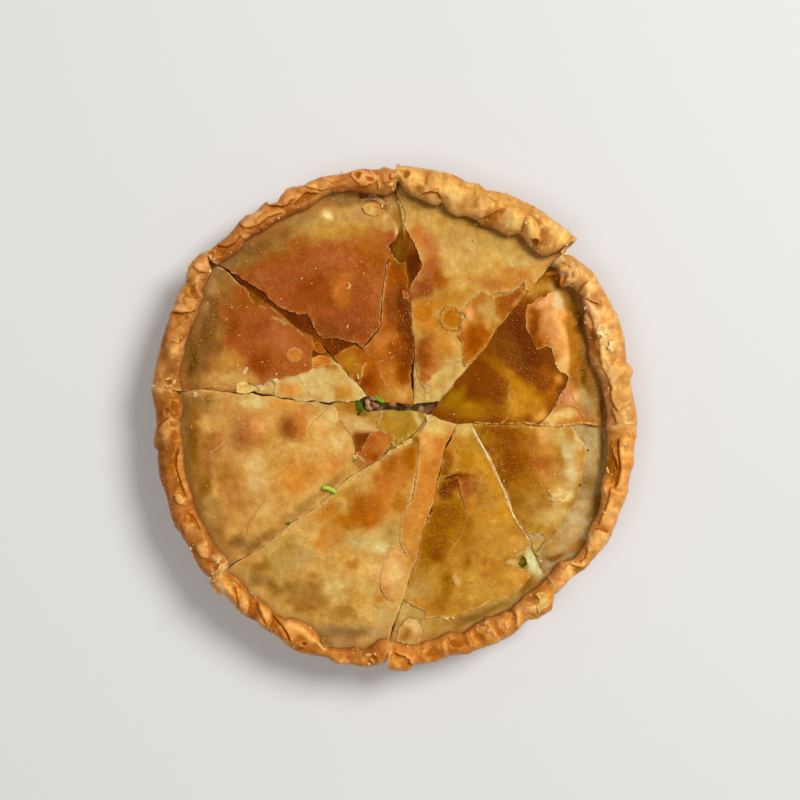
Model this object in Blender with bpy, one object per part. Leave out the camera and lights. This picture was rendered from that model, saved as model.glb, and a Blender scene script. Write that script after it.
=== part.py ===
"""A round lamb pie with a folded rope rim, cut into eight slices that keep the whole's shape.

Each slice is two solids: the pastry (bottom crust, side, rope rim and flaky lid in one piece)
and the lamb filling that runs through it and shows at the cuts. Metres, +Z up, origin under
the middle of the pie, at the height that it rests on.

Outlines are points in the photograph's pixels, read by eye from straight above. One pixel is
PIXEL metres at the lid, so plan() turns an outline into metres round the pie's middle.
"""

import math

import bmesh
import bpy
import numpy as np
from mathutils.geometry import delaunay_2d_cdt

MM = 0.001
PIXEL = 0.5 * MM
MIDDLE_PX = (395.0, 417.5)

# Heights of the lid and the rope rim
LID_EDGE_Z = 21.5 * MM
LID_MIDDLE_Z = 27.0 * MM
LID_EDGE_RADIUS = (105.5 * MM, 111.5 * MM)
LID_FALL_POWER = 3.4
ROPE_TOP_Z = 30.5 * MM
ROPE_UNDER_Z = 19.0 * MM
LEAF = 1.1 * MM
LEAF_ROOT = 2.4 * MM

# Thickness of the case
BOTTOM_CRUST = 3.2 * MM
LID_CRUST = 3.2 * MM
SIDE_CRUST = 6.0 * MM
CLEARANCE = 0.35 * MM
TOP_CLEARANCE = 0.7 * MM

# The side under the rope, as (height, distance in from the rope's outer edge)
SIDE_PROFILE = (
    (0.0, 13.0 * MM),
    (1.6 * MM, 11.2 * MM),
    (7.0 * MM, 9.6 * MM),
    (15.0 * MM, 7.4 * MM),
    (21.5 * MM, 5.5 * MM),
)

# Resolution of the facets
LID_GRID = 12.0 * MM
LEAF_GRID = 15.0 * MM
FILLING_GRID = 18.0 * MM
ROPE_STEP = 3.5 * MM
ROPE_SIDES = 10
SIDE_STEP = 8.0 * MM
BEYOND_MIDDLE = 150 * MM
KNIFE_REACH = 1.2
KNIFE_LOW_Z = -5 * MM
KNIFE_HIGH_Z = 50 * MM

# The knife's cuts, each from outside the rim to where it ends at the middle, with half of
# the gap that it leaves along its length and half of the gap at the rim
HOLE_LEFT = (374, 405)
HOLE_TOP = (413, 407)
HOLE_RIGHT = (429, 413)
TIP_LOWER = (457, 424)
TIP_RIGHT = (471, 423)
NARROW = 0.4 * MM
CUTS = {
    "top": (
        [(396, 158), (397, 195), (401, 220), (404, 245), (408, 285), (411, 315), (415, 345),
         (414, 372), HOLE_TOP],
        0.45 * MM,
    ),
    "upper_right": (
        [(577, 240), (563, 254), (551, 266), (541, 277), (527, 292), (505, 320), (491, 339),
         (485, 349), (470, 365), (456, 381), (444, 396), HOLE_RIGHT],
        2.6 * MM,
    ),
    "right": (
        [(642, 424), (612, 426), (600, 427), (580, 424), (562, 426), (545, 425), (505, 424),
         (488, 423), TIP_RIGHT],
        0.4 * MM,
    ),
    "lower_right": (
        [(562, 600), (549, 579), (541, 568), (535, 554), (531, 541), (517, 519), (510, 502),
         (500, 480), (487, 452), TIP_RIGHT],
        0.5 * MM,
    ),
    "bottom": (
        [(387, 677), (388, 655), (390, 638), (397, 618), (404, 598), (413, 570), (419, 545),
         (428, 515), (435, 497), (438, 474), (445, 450), TIP_LOWER],
        0.6 * MM,
    ),
    "lower_left": (
        [(203, 587), (221, 573), (232, 565), (247, 556), (270, 541), (300, 517), (333, 493),
         (355, 473), (370, 465), (385, 454), (402, 443), (416, 434), (422, 426), HOLE_RIGHT],
        0.45 * MM,
    ),
    "left": (
        [(146, 388), (180, 391), (205, 389), (237, 393), (253, 392), (262, 396), (306, 402),
         (328, 404), (357, 402), HOLE_LEFT],
        0.4 * MM,
    ),
    "upper_left": (
        [(199, 247), (214, 264), (228, 271), (243, 284), (262, 299), (280, 312), (303, 331),
         (318, 338), (333, 356), (347, 372), HOLE_LEFT],
        0.6 * MM,
    ),
}

# The hole at the middle, where the lid's tips have broken off and the filling shows
HOLE = [(356, 402), (366, 396), (380, 402), (413, 404), (440, 401), (434, 409), (429, 415),
        (415, 411), (383, 410), (368, 412)]

# A torn corner of the fifth slice's lid, which is open down to the filling
TORN_CORNER = [(531, 549), (543, 567), (532, 571), (519, 567), (515, 561), (521, 554)]

# The slices clockwise from the one at eleven o'clock: the cut it starts at, the points that
# its tip passes at the middle, the cut it ends at, and the rope's outer and inner edges
SLICES = [
    dict(
        cuts=("upper_left", "top"), tip=[(394, 408)],
        outer=[(204, 254), (216, 246), (228, 236), (240, 221), (252, 214), (266, 205),
               (277, 202), (286, 191), (298, 187), (312, 181), (330, 176), (348, 173),
               (363, 169), (380, 170), (396, 170)],
        inner=[(210, 268), (220, 264), (236, 254), (244, 243), (258, 234), (270, 226),
               (283, 219), (297, 213), (312, 206), (319, 200), (332, 193), (348, 191),
               (364, 194), (380, 195), (397, 191)],
    ),
    dict(
        cuts=("top", "upper_right"), tip=[],
        outer=[(396, 165), (410, 167), (430, 170), (450, 174), (458, 177), (466, 182),
               (480, 185), (486, 190), (503, 193), (515, 199), (530, 205), (550, 218),
               (568, 231), (576, 239)],
        inner=[(398, 183), (404, 190), (418, 199), (430, 205), (436, 206), (441, 203),
               (448, 213), (456, 217), (470, 219), (479, 225), (494, 229), (508, 237),
               (519, 234), (529, 247), (543, 257), (557, 253), (566, 251)],
    ),
    dict(
        cuts=("upper_right", "right"), tip=[(440, 419), TIP_LOWER],
        outer=[(560, 251), (572, 256), (588, 268), (598, 281), (608, 298), (618, 318),
               (624, 338), (626, 362), (633, 371), (630, 384), (634, 402), (637, 426)],
        inner=[(551, 264), (560, 278), (570, 286), (581, 298), (584, 314), (585, 332),
               (588, 352), (596, 370), (602, 390), (606, 410), (606, 430)],
    ),
    dict(
        cuts=("right", "lower_right"), tip=[],
        outer=[(636, 420), (636, 436), (633, 456), (634, 464), (629, 480), (625, 500),
               (617, 520), (610, 538), (598, 552), (586, 567), (570, 579), (557, 592)],
        inner=[(606, 420), (607, 440), (606, 460), (600, 482), (601, 497), (597, 515),
               (589, 530), (583, 541), (573, 555), (558, 563), (543, 572)],
    ),
    dict(
        cuts=("lower_right", "bottom"), tip=[TIP_LOWER],
        outer=[(558, 586), (554, 606), (539, 617), (528, 619), (516, 632), (496, 643),
               (469, 653), (451, 655), (437, 661), (416, 664), (411, 670), (398, 671),
               (384, 668)],
        inner=[(544, 580), (523, 596), (513, 605), (509, 612), (494, 616), (484, 619),
               (466, 631), (455, 633), (443, 634), (425, 641), (413, 645), (392, 641)],
    ),
    dict(
        cuts=("bottom", "lower_left"), tip=[(440, 419)],
        outer=[(392, 656), (386, 662), (373, 665), (352, 664), (338, 663), (328, 657),
               (303, 653), (289, 646), (277, 635), (262, 627), (246, 616), (230, 600),
               (219, 590), (209, 580)],
        inner=[(396, 639), (378, 639), (366, 649), (350, 647), (335, 648), (322, 641),
               (312, 627), (297, 619), (284, 618), (273, 611), (262, 601), (250, 595),
               (240, 580), (224, 570)],
    ),
    dict(
        cuts=("lower_left", "left"), tip=[HOLE_TOP, (394, 408)],
        outer=[(212, 582), (203, 572), (190, 548), (181, 533), (173, 520), (168, 500),
               (161, 480), (159, 460), (154, 445), (156, 420), (152, 384)],
        inner=[(230, 570), (227, 556), (215, 545), (206, 528), (194, 503), (187, 478),
               (184, 455), (181, 428), (184, 408), (180, 384)],
    ),
    dict(
        cuts=("left", "upper_left"), tip=[],
        outer=[(152, 392), (154, 378), (158, 356), (163, 337), (170, 315), (177, 296),
               (186, 281), (188, 268), (200, 255), (207, 247)],
        inner=[(182, 392), (179, 378), (184, 358), (188, 338), (195, 322), (199, 309),
               (203, 296), (206, 284), (212, 268), (216, 260)],
    ),
]

# Leaves of the lid's flaky upper layer, as (slice, outline, rise above the layer below).
# An outline that passes a cut is trimmed there by the knife.
LEAVES = [
    (1, [(212, 268), (243, 279), (256, 287), (273, 301), (283, 309), (301, 315), (308, 314),
         (318, 334), (323, 339), (336, 337), (352, 343), (364, 349), (379, 330), (382, 300),
         (388, 262), (391, 247), (398, 236), (392, 216), (384, 209), (380, 195), (360, 186),
         (320, 190), (280, 208), (235, 246)], LEAF),
    (1, [(334, 357), (343, 350), (353, 344), (366, 350), (379, 331), (384, 300), (393, 252),
         (399, 263), (408, 263), (420, 345), (420, 410), (385, 403), (368, 396), (340, 366)],
     0.4 * LEAF),
    (2, [(394, 190), (404, 215), (404, 226), (411, 238), (423, 266), (416, 280), (403, 296),
         (412, 305), (411, 320), (416, 345), (417, 375), (424, 387), (441, 370), (462, 361),
         (461, 345), (456, 336), (470, 304), (480, 293), (493, 297), (519, 287), (526, 277),
         (535, 296), (560, 270), (565, 248), (520, 226), (480, 206), (440, 190)], LEAF),
    (2, [(463, 363), (462, 345), (457, 336), (459, 326), (471, 305), (481, 294), (493, 298),
         (520, 288), (527, 279), (540, 290), (520, 315), (490, 350), (466, 367)], 1.4 * LEAF),
    (3, [(527, 305), (537, 297), (549, 290), (575, 290), (594, 330), (602, 370), (614, 432),
         (535, 432), (543, 421), (560, 399), (568, 384), (567, 375), (557, 371), (553, 352),
         (533, 348), (525, 322)], LEAF),
    (4, [(465, 416), (520, 416), (567, 420), (580, 439), (588, 451), (581, 475), (579, 495),
         (562, 520), (548, 538), (537, 536), (528, 545), (505, 505), (480, 455)], LEAF),
    (5, [(450, 418), (474, 418), (489, 452), (505, 486), (516, 514), (528, 530), (534, 544),
         (519, 553), (509, 561), (517, 568), (531, 576), (519, 589), (494, 602), (468, 612),
         (450, 618), (424, 617), (413, 605), (398, 604), (410, 550), (430, 480)], LEAF),
    (5, [(399, 628), (409, 618), (418, 621), (423, 635), (416, 645), (397, 641)], 0.9 * LEAF),
    (6, [(421, 433), (419, 455), (413, 496), (402, 514), (400, 540), (408, 553), (388, 552),
         (381, 582), (389, 598), (402, 600), (392, 640), (372, 650), (330, 652), (285, 625),
         (245, 592), (222, 568), (260, 540), (330, 488), (390, 440)], LEAF),
    (6, [(424, 431), (429, 417), (440, 413), (465, 424), (448, 480), (425, 560), (404, 604),
         (390, 597), (382, 582), (389, 552), (410, 554), (401, 540), (403, 514), (414, 497),
         (420, 455)], 0.75 * LEAF),
    (7, [(165, 380), (205, 380), (262, 386), (311, 395), (318, 408), (333, 406), (340, 420),
         (352, 438), (353, 461), (366, 475), (330, 503), (270, 548), (225, 575), (200, 550),
         (178, 500), (172, 450)], LEAF),
    (7, [(383, 405), (424, 405), (422, 430), (397, 450), (390, 441), (394, 437), (377, 427)],
     0.5 * LEAF),
    (7, [(370, 432), (382, 431), (395, 438), (390, 447), (368, 466), (355, 453), (365, 444)],
     1.3 * LEAF),
    (8, [(172, 398), (236, 400), (237, 386), (262, 386), (295, 375), (313, 369), (311, 357),
         (314, 350), (312, 340), (287, 326), (270, 312), (253, 301), (238, 286), (220, 260),
         (205, 258), (190, 300), (176, 350)], LEAF),
    (8, [(276, 382), (300, 379), (335, 362), (352, 370), (375, 400), (345, 410), (270, 402)],
     0.4 * LEAF),
]

# Broad rises and hollows of the lid, as (x, y, half length, half width, direction in degrees,
# height), with the place and the half sizes in pixels
SWELLS = [
    (566, 348, 55, 16, -72, 3.0 * MM),
    (518, 340, 34, 18, -60, -1.6 * MM),
    (578, 470, 40, 14, -80, 2.2 * MM),
    (520, 440, 34, 24, 0, 0.8 * MM),
    (330, 275, 60, 46, 20, 1.6 * MM),
    (270, 345, 42, 30, 40, 1.3 * MM),
    (248, 430, 13, 13, 0, 2.0 * MM),
    (290, 431, 13, 12, 0, 1.2 * MM),
    (262, 480, 50, 34, -60, 1.1 * MM),
    (385, 505, 26, 40, -50, 1.4 * MM),
    (312, 600, 30, 16, 10, -0.9 * MM),
    (345, 588, 36, 18, 10, 1.0 * MM),
    (480, 540, 42, 30, -50, 1.1 * MM),
    (460, 255, 50, 30, -25, 1.0 * MM),
    (425, 345, 14, 44, 80, 0.9 * MM),
    (405, 420, 40, 14, 0, -1.6 * MM),
    (440, 610, 60, 14, -10, -0.9 * MM),
]

# Small blisters of the lid and knobs of the rope: place and radius in pixels, and height
BLISTERS = [
    (372, 209, 8, 1.6 * MM),
    (450, 317, 10, 1.3 * MM),
    (455, 579, 7, 1.2 * MM),
    (295, 356, 8, 1.0 * MM),
    (556, 492, 9, 1.2 * MM),
]

# Folds of the rope: a groove from its inner to its outer end in pixels, with its depth
ROPE_FOLDS = [
    ((243, 246), (233, 230), 1.8 * MM),
    ((266, 230), (244, 219), 1.6 * MM),
    ((292, 215), (268, 206), 1.8 * MM),
    ((322, 199), (303, 187), 2.0 * MM),
    ((352, 191), (346, 175), 1.4 * MM),
    ((381, 195), (380, 172), 1.2 * MM),
    ((420, 199), (418, 169), 1.8 * MM),
    ((441, 204), (436, 172), 2.2 * MM),
    ((478, 222), (466, 183), 1.6 * MM),
    ((500, 230), (487, 191), 1.8 * MM),
    ((522, 236), (512, 199), 2.2 * MM),
    ((543, 255), (532, 208), 1.6 * MM),
    ((566, 284), (574, 258), 1.8 * MM),
    ((582, 296), (600, 287), 2.2 * MM),
    ((584, 330), (620, 328), 1.8 * MM),
    ((590, 360), (626, 366), 1.6 * MM),
    ((603, 395), (633, 392), 1.6 * MM),
    ((607, 440), (634, 445), 1.2 * MM),
    ((604, 470), (631, 472), 1.8 * MM),
    ((600, 495), (625, 500), 1.4 * MM),
    ((592, 523), (612, 533), 2.0 * MM),
    ((582, 545), (598, 552), 1.6 * MM),
    ((561, 562), (578, 573), 1.8 * MM),
    ((523, 597), (532, 618), 1.8 * MM),
    ((508, 613), (518, 630), 2.0 * MM),
    ((484, 620), (498, 642), 1.8 * MM),
    ((464, 633), (476, 650), 1.6 * MM),
    ((443, 635), (450, 655), 1.6 * MM),
    ((420, 643), (428, 661), 1.4 * MM),
    ((400, 643), (411, 668), 2.0 * MM),
    ((366, 649), (362, 665), 1.6 * MM),
    ((330, 645), (322, 657), 1.8 * MM),
    ((300, 620), (285, 643), 1.6 * MM),
    ((272, 610), (258, 624), 2.0 * MM),
    ((250, 595), (238, 610), 1.8 * MM),
    ((240, 582), (222, 592), 1.4 * MM),
    ((222, 551), (196, 556), 1.4 * MM),
    ((204, 525), (180, 532), 1.4 * MM),
    ((193, 496), (168, 500), 1.4 * MM),
    ((185, 462), (160, 470), 1.6 * MM),
    ((181, 428), (156, 432), 2.0 * MM),
    ((182, 398), (155, 402), 1.2 * MM),
    ((182, 366), (158, 362), 1.2 * MM),
    ((190, 336), (163, 340), 1.4 * MM),
    ((199, 312), (171, 314), 2.2 * MM),
    ((203, 288), (184, 284), 2.0 * MM),
    ((211, 272), (191, 263), 1.4 * MM),
]
ROPE_FOLD_WIDTH = 2.6 * MM

# A chopped spring onion that lies on the seventh slice, in pixels
ONION_PX = (330, 488)
ONION_LENGTH = 6.0 * MM
ONION_RADIUS = 1.3 * MM
ONION_TURN = math.radians(-22)

PASTRY_COLOUR = (0.60, 0.32, 0.10, 1.0)
FILLING_COLOUR = (0.25, 0.15, 0.08, 1.0)
PASTRY_ROUGHNESS = 0.5
FILLING_ROUGHNESS = 0.6


def plan(points):
    """Pixels of the photograph as metres round the pie's middle, as an array of (x, y)."""
    p = np.array(points, float)
    return np.column_stack([p[:, 0] - MIDDLE_PX[0], MIDDLE_PX[1] - p[:, 1]]) * PIXEL


def clockwise_angle(xy):
    """Angles clockwise from the top of the photograph, in radians."""
    return np.arctan2(xy[:, 0], xy[:, 1])


def polar_curve(points):
    """(angles, radii) of an outline that runs round the pie, with the angles rising."""
    xy = plan(points)
    angle = np.unwrap(clockwise_angle(xy))
    angle -= 2 * math.pi * math.floor(angle.mean() / (2 * math.pi))
    order = np.argsort(angle)
    return angle[order], np.hypot(*xy.T)[order]


def dome_height(xy):
    """Height of the even dome that the lid's lower layer follows."""
    reach = np.clip(np.hypot(xy[:, 0] / LID_EDGE_RADIUS[0], xy[:, 1] / LID_EDGE_RADIUS[1]), 0, 1)
    return LID_EDGE_Z + (LID_MIDDLE_Z - LID_EDGE_Z) * (1 - reach**LID_FALL_POWER)


def lid_height(xy):
    """Height of the lid's lower layer over each (x, y)."""
    z = dome_height(xy)
    for x, y, long, wide, turn, height in SWELLS:
        away = xy - plan([(x, y)])
        c, s = math.cos(math.radians(turn)), math.sin(math.radians(turn))
        along = (away[:, 0] * c + away[:, 1] * s) / (long * PIXEL)
        across = (away[:, 1] * c - away[:, 0] * s) / (wide * PIXEL)
        z = z + height * np.exp(-(along**2) - across**2)
    return z


def leaf_relief(xy):
    """What the blisters add to a leaf of the lid."""
    z = np.zeros(len(xy))
    for x, y, radius, height in BLISTERS:
        away = np.linalg.norm(xy - plan([(x, y)]), axis=1) / (radius * PIXEL)
        z += height * np.clip(1 - away**2, 0, 1)
    return z


def rope_relief(xy):
    """What the folds take from the rope's top."""
    z = np.zeros(len(xy))
    for inner, outer, depth in ROPE_FOLDS:
        a, b = plan([inner, outer])
        along = np.clip(((xy - a) @ (b - a)) / ((b - a) @ (b - a)), 0, 1)
        away = np.linalg.norm(xy - a - along[:, None] * (b - a), axis=1)
        z -= depth * np.exp(-((away / ROPE_FOLD_WIDTH) ** 2))
    return z


def inside(polygon, xy):
    """Which of the points lie in the polygon."""
    x, y = xy[:, :1], xy[:, 1:]
    ax, ay = polygon[:, 0], polygon[:, 1]
    bx, by = np.roll(ax, -1), np.roll(ay, -1)
    crosses = (ay > y) != (by > y)
    with np.errstate(divide="ignore", invalid="ignore"):
        at = (bx - ax) * (y - ay) / (by - ay) + ax
    return (crosses & (x < at)).sum(axis=1) % 2 == 1


def evened(points, step):
    """The closed outline with its long sides divided."""
    out = []
    for a, b in zip(points, np.roll(points, -1, axis=0)):
        parts = max(1, round(float(np.linalg.norm(b - a)) / step))
        out += [a + (b - a) * i / parts for i in range(parts)]
    return np.array(out)


def inset(polygon, distances):
    """The counter-clockwise polygon with each corner moved inwards by its distance."""
    to_next = np.roll(polygon, -1, axis=0) - polygon
    to_next /= np.linalg.norm(to_next, axis=1)[:, None]
    from_last = np.roll(to_next, 1, axis=0)
    normal = np.column_stack([-to_next[:, 1], to_next[:, 0]])
    normal_last = np.column_stack([-from_last[:, 1], from_last[:, 0]])
    bisector = normal + normal_last
    length = np.maximum((bisector * bisector).sum(axis=1), 0.5)
    return polygon + 2 * bisector / length[:, None] * np.array(distances)[:, None]


def triangulated(outline, grid):
    """(points, triangles) that fill a closed outline, with grid points well inside it."""
    low, high = outline.min(0), outline.max(0)
    rows = np.arange(low[1] + grid / 2, high[1], grid * 0.87)
    found = [
        (x, y)
        for i, y in enumerate(rows)
        for x in np.arange(low[0] + grid * (0.25 + 0.5 * (i % 2)), high[0], grid)
    ]
    inner = np.array(found).reshape(-1, 2)
    inner = inner[inside(outline, inner)]
    edge = evened(outline, grid / 6)
    far = np.array([np.linalg.norm(edge - p, axis=1).min() > 0.55 * grid for p in inner], bool)
    points = np.vstack([outline, inner[far]]) if len(inner) else outline
    ring = [list(range(len(outline)))]
    made = delaunay_2d_cdt([tuple(p) for p in points], [], ring, 1, 1e-7)
    return np.array([tuple(v) for v in made[0]]), [tuple(f) for f in made[2]]


def slab(name, outline, grid, top, bottom):
    """A closed object over an outline: top and bottom are functions that give heights."""
    points, triangles = triangulated(outline, grid)
    mesh = bmesh.new()
    upper = [mesh.verts.new((*p, z)) for p, z in zip(points, top(points))]
    lower = [mesh.verts.new((*p, z)) for p, z in zip(points, bottom(points))]
    sides = {}
    for tri in triangles:
        mesh.faces.new([upper[i] for i in tri])
        mesh.faces.new([lower[i] for i in reversed(tri)])
        for a, b in zip(tri, tri[1:] + tri[:1]):
            sides[(a, b)] = sides.pop((b, a), None) is None
    for (a, b), alone in sides.items():
        if alone and (b, a) not in sides:
            mesh.faces.new([upper[b], upper[a], lower[a], lower[b]])
    return object_of(name, mesh)


def object_of(name, mesh):
    """A mesh object from a bmesh, with its faces pointing out."""
    bmesh.ops.recalc_face_normals(mesh, faces=mesh.faces)
    data = bpy.data.meshes.new(name)
    mesh.to_mesh(data)
    mesh.free()
    made = bpy.data.objects.new(name, data)
    bpy.context.scene.collection.objects.link(made)
    return made


def cut_path(cut, gap_at_rim):
    """(points, half gaps) of a cut, whose gap narrows over its first points."""
    widening = [max(0.0, 1 - i / 3) for i in range(len(cut))]
    return plan(cut), [NARROW + (gap_at_rim - NARROW) * w for w in widening]


def slice_spec(number):
    """The wedge between a slice's cuts, and the outer and inner edges of its rope."""
    spec = SLICES[number - 1]
    (first, first_gaps), (last, last_gaps) = (cut_path(*CUTS[name]) for name in spec["cuts"])
    middle = list(plan(spec["tip"])) if spec["tip"] else []
    path = list(first) + middle + list(last[::-1])
    gaps = first_gaps + [NARROW] * len(middle) + last_gaps[::-1]
    keep = [i for i in range(len(path)) if i == 0 or math.dist(path[i], path[i - 1]) > 1e-6]
    path, gaps = [path[i] for i in keep], [gaps[i] for i in keep]
    start, end = path[0], path[-1]
    beyond = [end * KNIFE_REACH, (start + end) * KNIFE_REACH * 0.6, start * KNIFE_REACH]
    wedge = inset(np.array(path + beyond), gaps + [0.0] * 3)
    return wedge, polar_curve(spec["outer"]), polar_curve(spec["inner"])


def smooth_radius(curve):
    """A gentle curve through the rope's outer edge, which the side under it follows."""
    angle, radius = curve
    return np.poly1d(np.polyfit(angle, radius, 2))


def side_body(name, outer, levels, top, grid=LID_GRID):
    """A sector of the pie that passes both cuts, with its side turned to the given profile."""
    angle = outer[0]
    spare = math.radians(6)
    count = max(4, math.ceil((angle[-1] - angle[0]) * 0.115 / SIDE_STEP)) + 2
    turn = np.linspace(angle[0] - spare, angle[-1] + spare, count)
    radius = smooth_radius(outer)(np.clip(turn, angle[0], angle[-1]))
    middle_turn = (angle[0] + angle[-1]) / 2
    back = np.array([math.sin(middle_turn), math.cos(middle_turn)]) * -BEYOND_MIDDLE
    rim = np.column_stack([np.sin(turn), np.cos(turn)])

    def ring(inset_by):
        arc = rim * (radius - inset_by)[:, None]
        return np.vstack([arc, [arc[-1] + back, arc[0] + back]])[::-1]

    outline = ring(levels[-1][1])
    points, triangles = triangulated(outline, grid)
    mesh = bmesh.new()
    upper = [mesh.verts.new((*p, z)) for p, z in zip(points, top(points))]
    count = len(outline)
    below = upper[:count]
    for height, inset_by in reversed(levels[:-1]):
        low = [mesh.verts.new((*p, height)) for p in ring(inset_by)]
        for i in range(count):
            j = (i + 1) % count
            mesh.faces.new([below[i], below[j], low[j], low[i]])
        below = low
    for tri in triangles:
        mesh.faces.new([upper[i] for i in tri])
    mesh.faces.new(below)
    bmesh.ops.triangulate(mesh, faces=[f for f in mesh.faces if len(f.verts) > 4])
    return object_of(name, mesh)


def rope(name, outer, inner):
    """The folded rope along a slice's rim, past both of its cuts."""
    first = min(outer[0][0], inner[0][0])
    last = max(outer[0][-1], inner[0][-1])
    count = math.ceil((last - first) * 0.115 / ROPE_STEP) + 1
    mesh = bmesh.new()
    loops = []
    for turn in np.linspace(first, last, count):
        r_out, r_in = np.interp(turn, *outer), np.interp(turn, *inner)
        centre, half = (r_out + r_in) / 2, (r_out - r_in) / 2
        round_it = np.arange(ROPE_SIDES) / ROPE_SIDES * 2 * math.pi
        across = np.sign(np.cos(round_it)) * np.abs(np.cos(round_it)) ** 0.85
        up = np.sign(np.sin(round_it)) * np.abs(np.sin(round_it)) ** 0.85
        across[(across < 0) & (up < 0)] = -1.0
        radius = centre + half * across
        xy = np.column_stack([math.sin(turn) * radius, math.cos(turn) * radius])
        middle_z = (ROPE_TOP_Z + ROPE_UNDER_Z) / 2
        z = middle_z + (ROPE_TOP_Z - ROPE_UNDER_Z) / 2 * up
        z += rope_relief(xy) * np.clip(up, 0, 1)
        loops.append([mesh.verts.new((*p, h)) for p, h in zip(xy, z)])
    for a, b in zip(loops, loops[1:]):
        for i in range(ROPE_SIDES):
            j = (i + 1) % ROPE_SIDES
            mesh.faces.new([a[i], a[j], b[j], b[i]])
    mesh.faces.new(loops[0])
    mesh.faces.new(loops[-1])
    bmesh.ops.triangulate(mesh, faces=mesh.faces)
    return object_of(name, mesh)


def boolean(target, operation, other, solver="EXACT"):
    """Applies a Boolean with an object or a collection, and removes what it used."""
    modifier = target.modifiers.new("cut", "BOOLEAN")
    modifier.operation = operation
    modifier.solver = solver
    if isinstance(other, bpy.types.Collection):
        modifier.operand_type = "COLLECTION"
        modifier.collection = other
        used = list(other.objects)
    else:
        modifier.object = other
        used = [other]
    bpy.context.view_layer.update()
    graph = bpy.context.evaluated_depsgraph_get()
    done = bpy.data.meshes.new_from_object(target.evaluated_get(graph))
    target.modifiers.clear()
    old = target.data
    target.data = done
    bpy.data.meshes.remove(old)
    for each in used:
        bpy.data.objects.remove(each)
    if isinstance(other, bpy.types.Collection):
        bpy.data.collections.remove(other)


def flat(height):
    """A height function that is the same everywhere."""
    return lambda xy: np.full(len(xy), height)


def knife(name, wedge):
    """The prism between two cuts, which trims a slice."""
    return slab(name, wedge, 1.0, flat(KNIFE_HIGH_Z), flat(KNIFE_LOW_Z))


def space_top(xy):
    """Height of the lid's underside over the filling."""
    return dome_height(xy) - LID_CRUST


def filling_top(xy):
    """Height of the filling, which has settled a little below the lid."""
    return space_top(xy) - TOP_CLEARANCE


def filling_levels(inwards, low):
    """The side profile of the space for the filling, from its floor up."""
    heights = [h for h, _ in SIDE_PROFILE]
    insets = [d for _, d in SIDE_PROFILE]
    at = [low, 10 * MM, LID_EDGE_Z - LID_CRUST]
    return [(h, float(np.interp(h, heights, insets)) + inwards) for h in at]


def onion():
    """The chopped spring onion, a short rounded cylinder pressed a little into the lid."""
    xy = plan([ONION_PX])
    z = float(lid_height(xy)[0]) + LEAF + 0.45 * ONION_RADIUS
    mesh = bmesh.new()
    bmesh.ops.create_cone(
        mesh, cap_ends=True, cap_tris=True, segments=8, radius1=ONION_RADIUS,
        radius2=ONION_RADIUS * 0.85, depth=ONION_LENGTH,
    )
    made = object_of("onion", mesh)
    made.location = (*xy[0], z)
    made.rotation_euler = (math.pi / 2, 0, ONION_TURN + math.pi / 2)
    return made


def pastry(number):
    """One slice's pastry, built past its cuts and then trimmed by the knife."""
    wedge, outer, inner = slice_spec(number)
    body = side_body(f"slice_{number}_pastry", outer, SIDE_PROFILE, lid_height)
    added = bpy.data.collections.new(f"added_{number}")
    pieces = [rope(f"rope_{number}", outer, inner)]
    for i, (owner, outline, rise) in enumerate(LEAVES):
        if owner == number:
            pieces.append(
                slab(
                    f"leaf_{i}", plan(outline), LEAF_GRID,
                    lambda xy, up=rise: lid_height(xy) + up + leaf_relief(xy),
                    lambda xy: lid_height(xy) - LEAF_ROOT,
                )
            )
    if number == 7:
        pieces.append(onion())
    for piece in pieces:
        bpy.context.scene.collection.objects.unlink(piece)
        added.objects.link(piece)
    bpy.context.scene.collection.children.link(added)
    boolean(body, "UNION", added)
    floor = filling_levels(SIDE_CRUST, BOTTOM_CRUST)
    boolean(body, "DIFFERENCE", side_body("space", outer, floor, space_top, FILLING_GRID))
    if number in (1, 2, 3, 7, 8):
        hole = slab("hole", plan(HOLE), 1.0, flat(KNIFE_HIGH_Z), flat(LID_EDGE_Z - LID_CRUST))
        boolean(body, "DIFFERENCE", hole)
    if number == 5:
        hole = slab("hole", plan(TORN_CORNER), 1.0, flat(KNIFE_HIGH_Z), flat(LID_EDGE_Z - 6 * MM))
        boolean(body, "DIFFERENCE", hole)
    boolean(body, "INTERSECT", knife("knife", wedge))
    return body


def filling(number):
    """One slice's filling, in the space that its pastry leaves."""
    wedge, outer, _ = slice_spec(number)
    levels = filling_levels(SIDE_CRUST + CLEARANCE, BOTTOM_CRUST + CLEARANCE)
    body = side_body(f"slice_{number}_filling", outer, levels, filling_top, FILLING_GRID)
    boolean(body, "INTERSECT", knife("knife", wedge))
    return body


def material(name, colour, roughness):
    made = bpy.data.materials.new(name)
    made.use_nodes = True
    shader = made.node_tree.nodes["Principled BSDF"]
    shader.inputs["Base Color"].default_value = colour
    shader.inputs["Roughness"].default_value = roughness
    shader.inputs["Metallic"].default_value = 0.0
    return made


def main():
    for old in list(bpy.data.objects):
        bpy.data.objects.remove(old)
    crust = material("baked_pastry", PASTRY_COLOUR, PASTRY_ROUGHNESS)
    lamb = material("lamb_filling", FILLING_COLOUR, FILLING_ROUGHNESS)
    for number in range(1, len(SLICES) + 1):
        for made, finish in ((pastry(number), crust), (filling(number), lamb)):
            made.data.materials.clear()
            made.data.materials.append(finish)


main()
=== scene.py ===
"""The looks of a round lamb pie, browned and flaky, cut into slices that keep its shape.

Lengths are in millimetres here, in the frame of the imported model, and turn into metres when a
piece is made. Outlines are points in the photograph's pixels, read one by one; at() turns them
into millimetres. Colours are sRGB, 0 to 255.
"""

import math

import bmesh
import bpy
import numpy as np
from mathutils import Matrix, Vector
from mathutils.geometry import delaunay_2d_cdt

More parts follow.
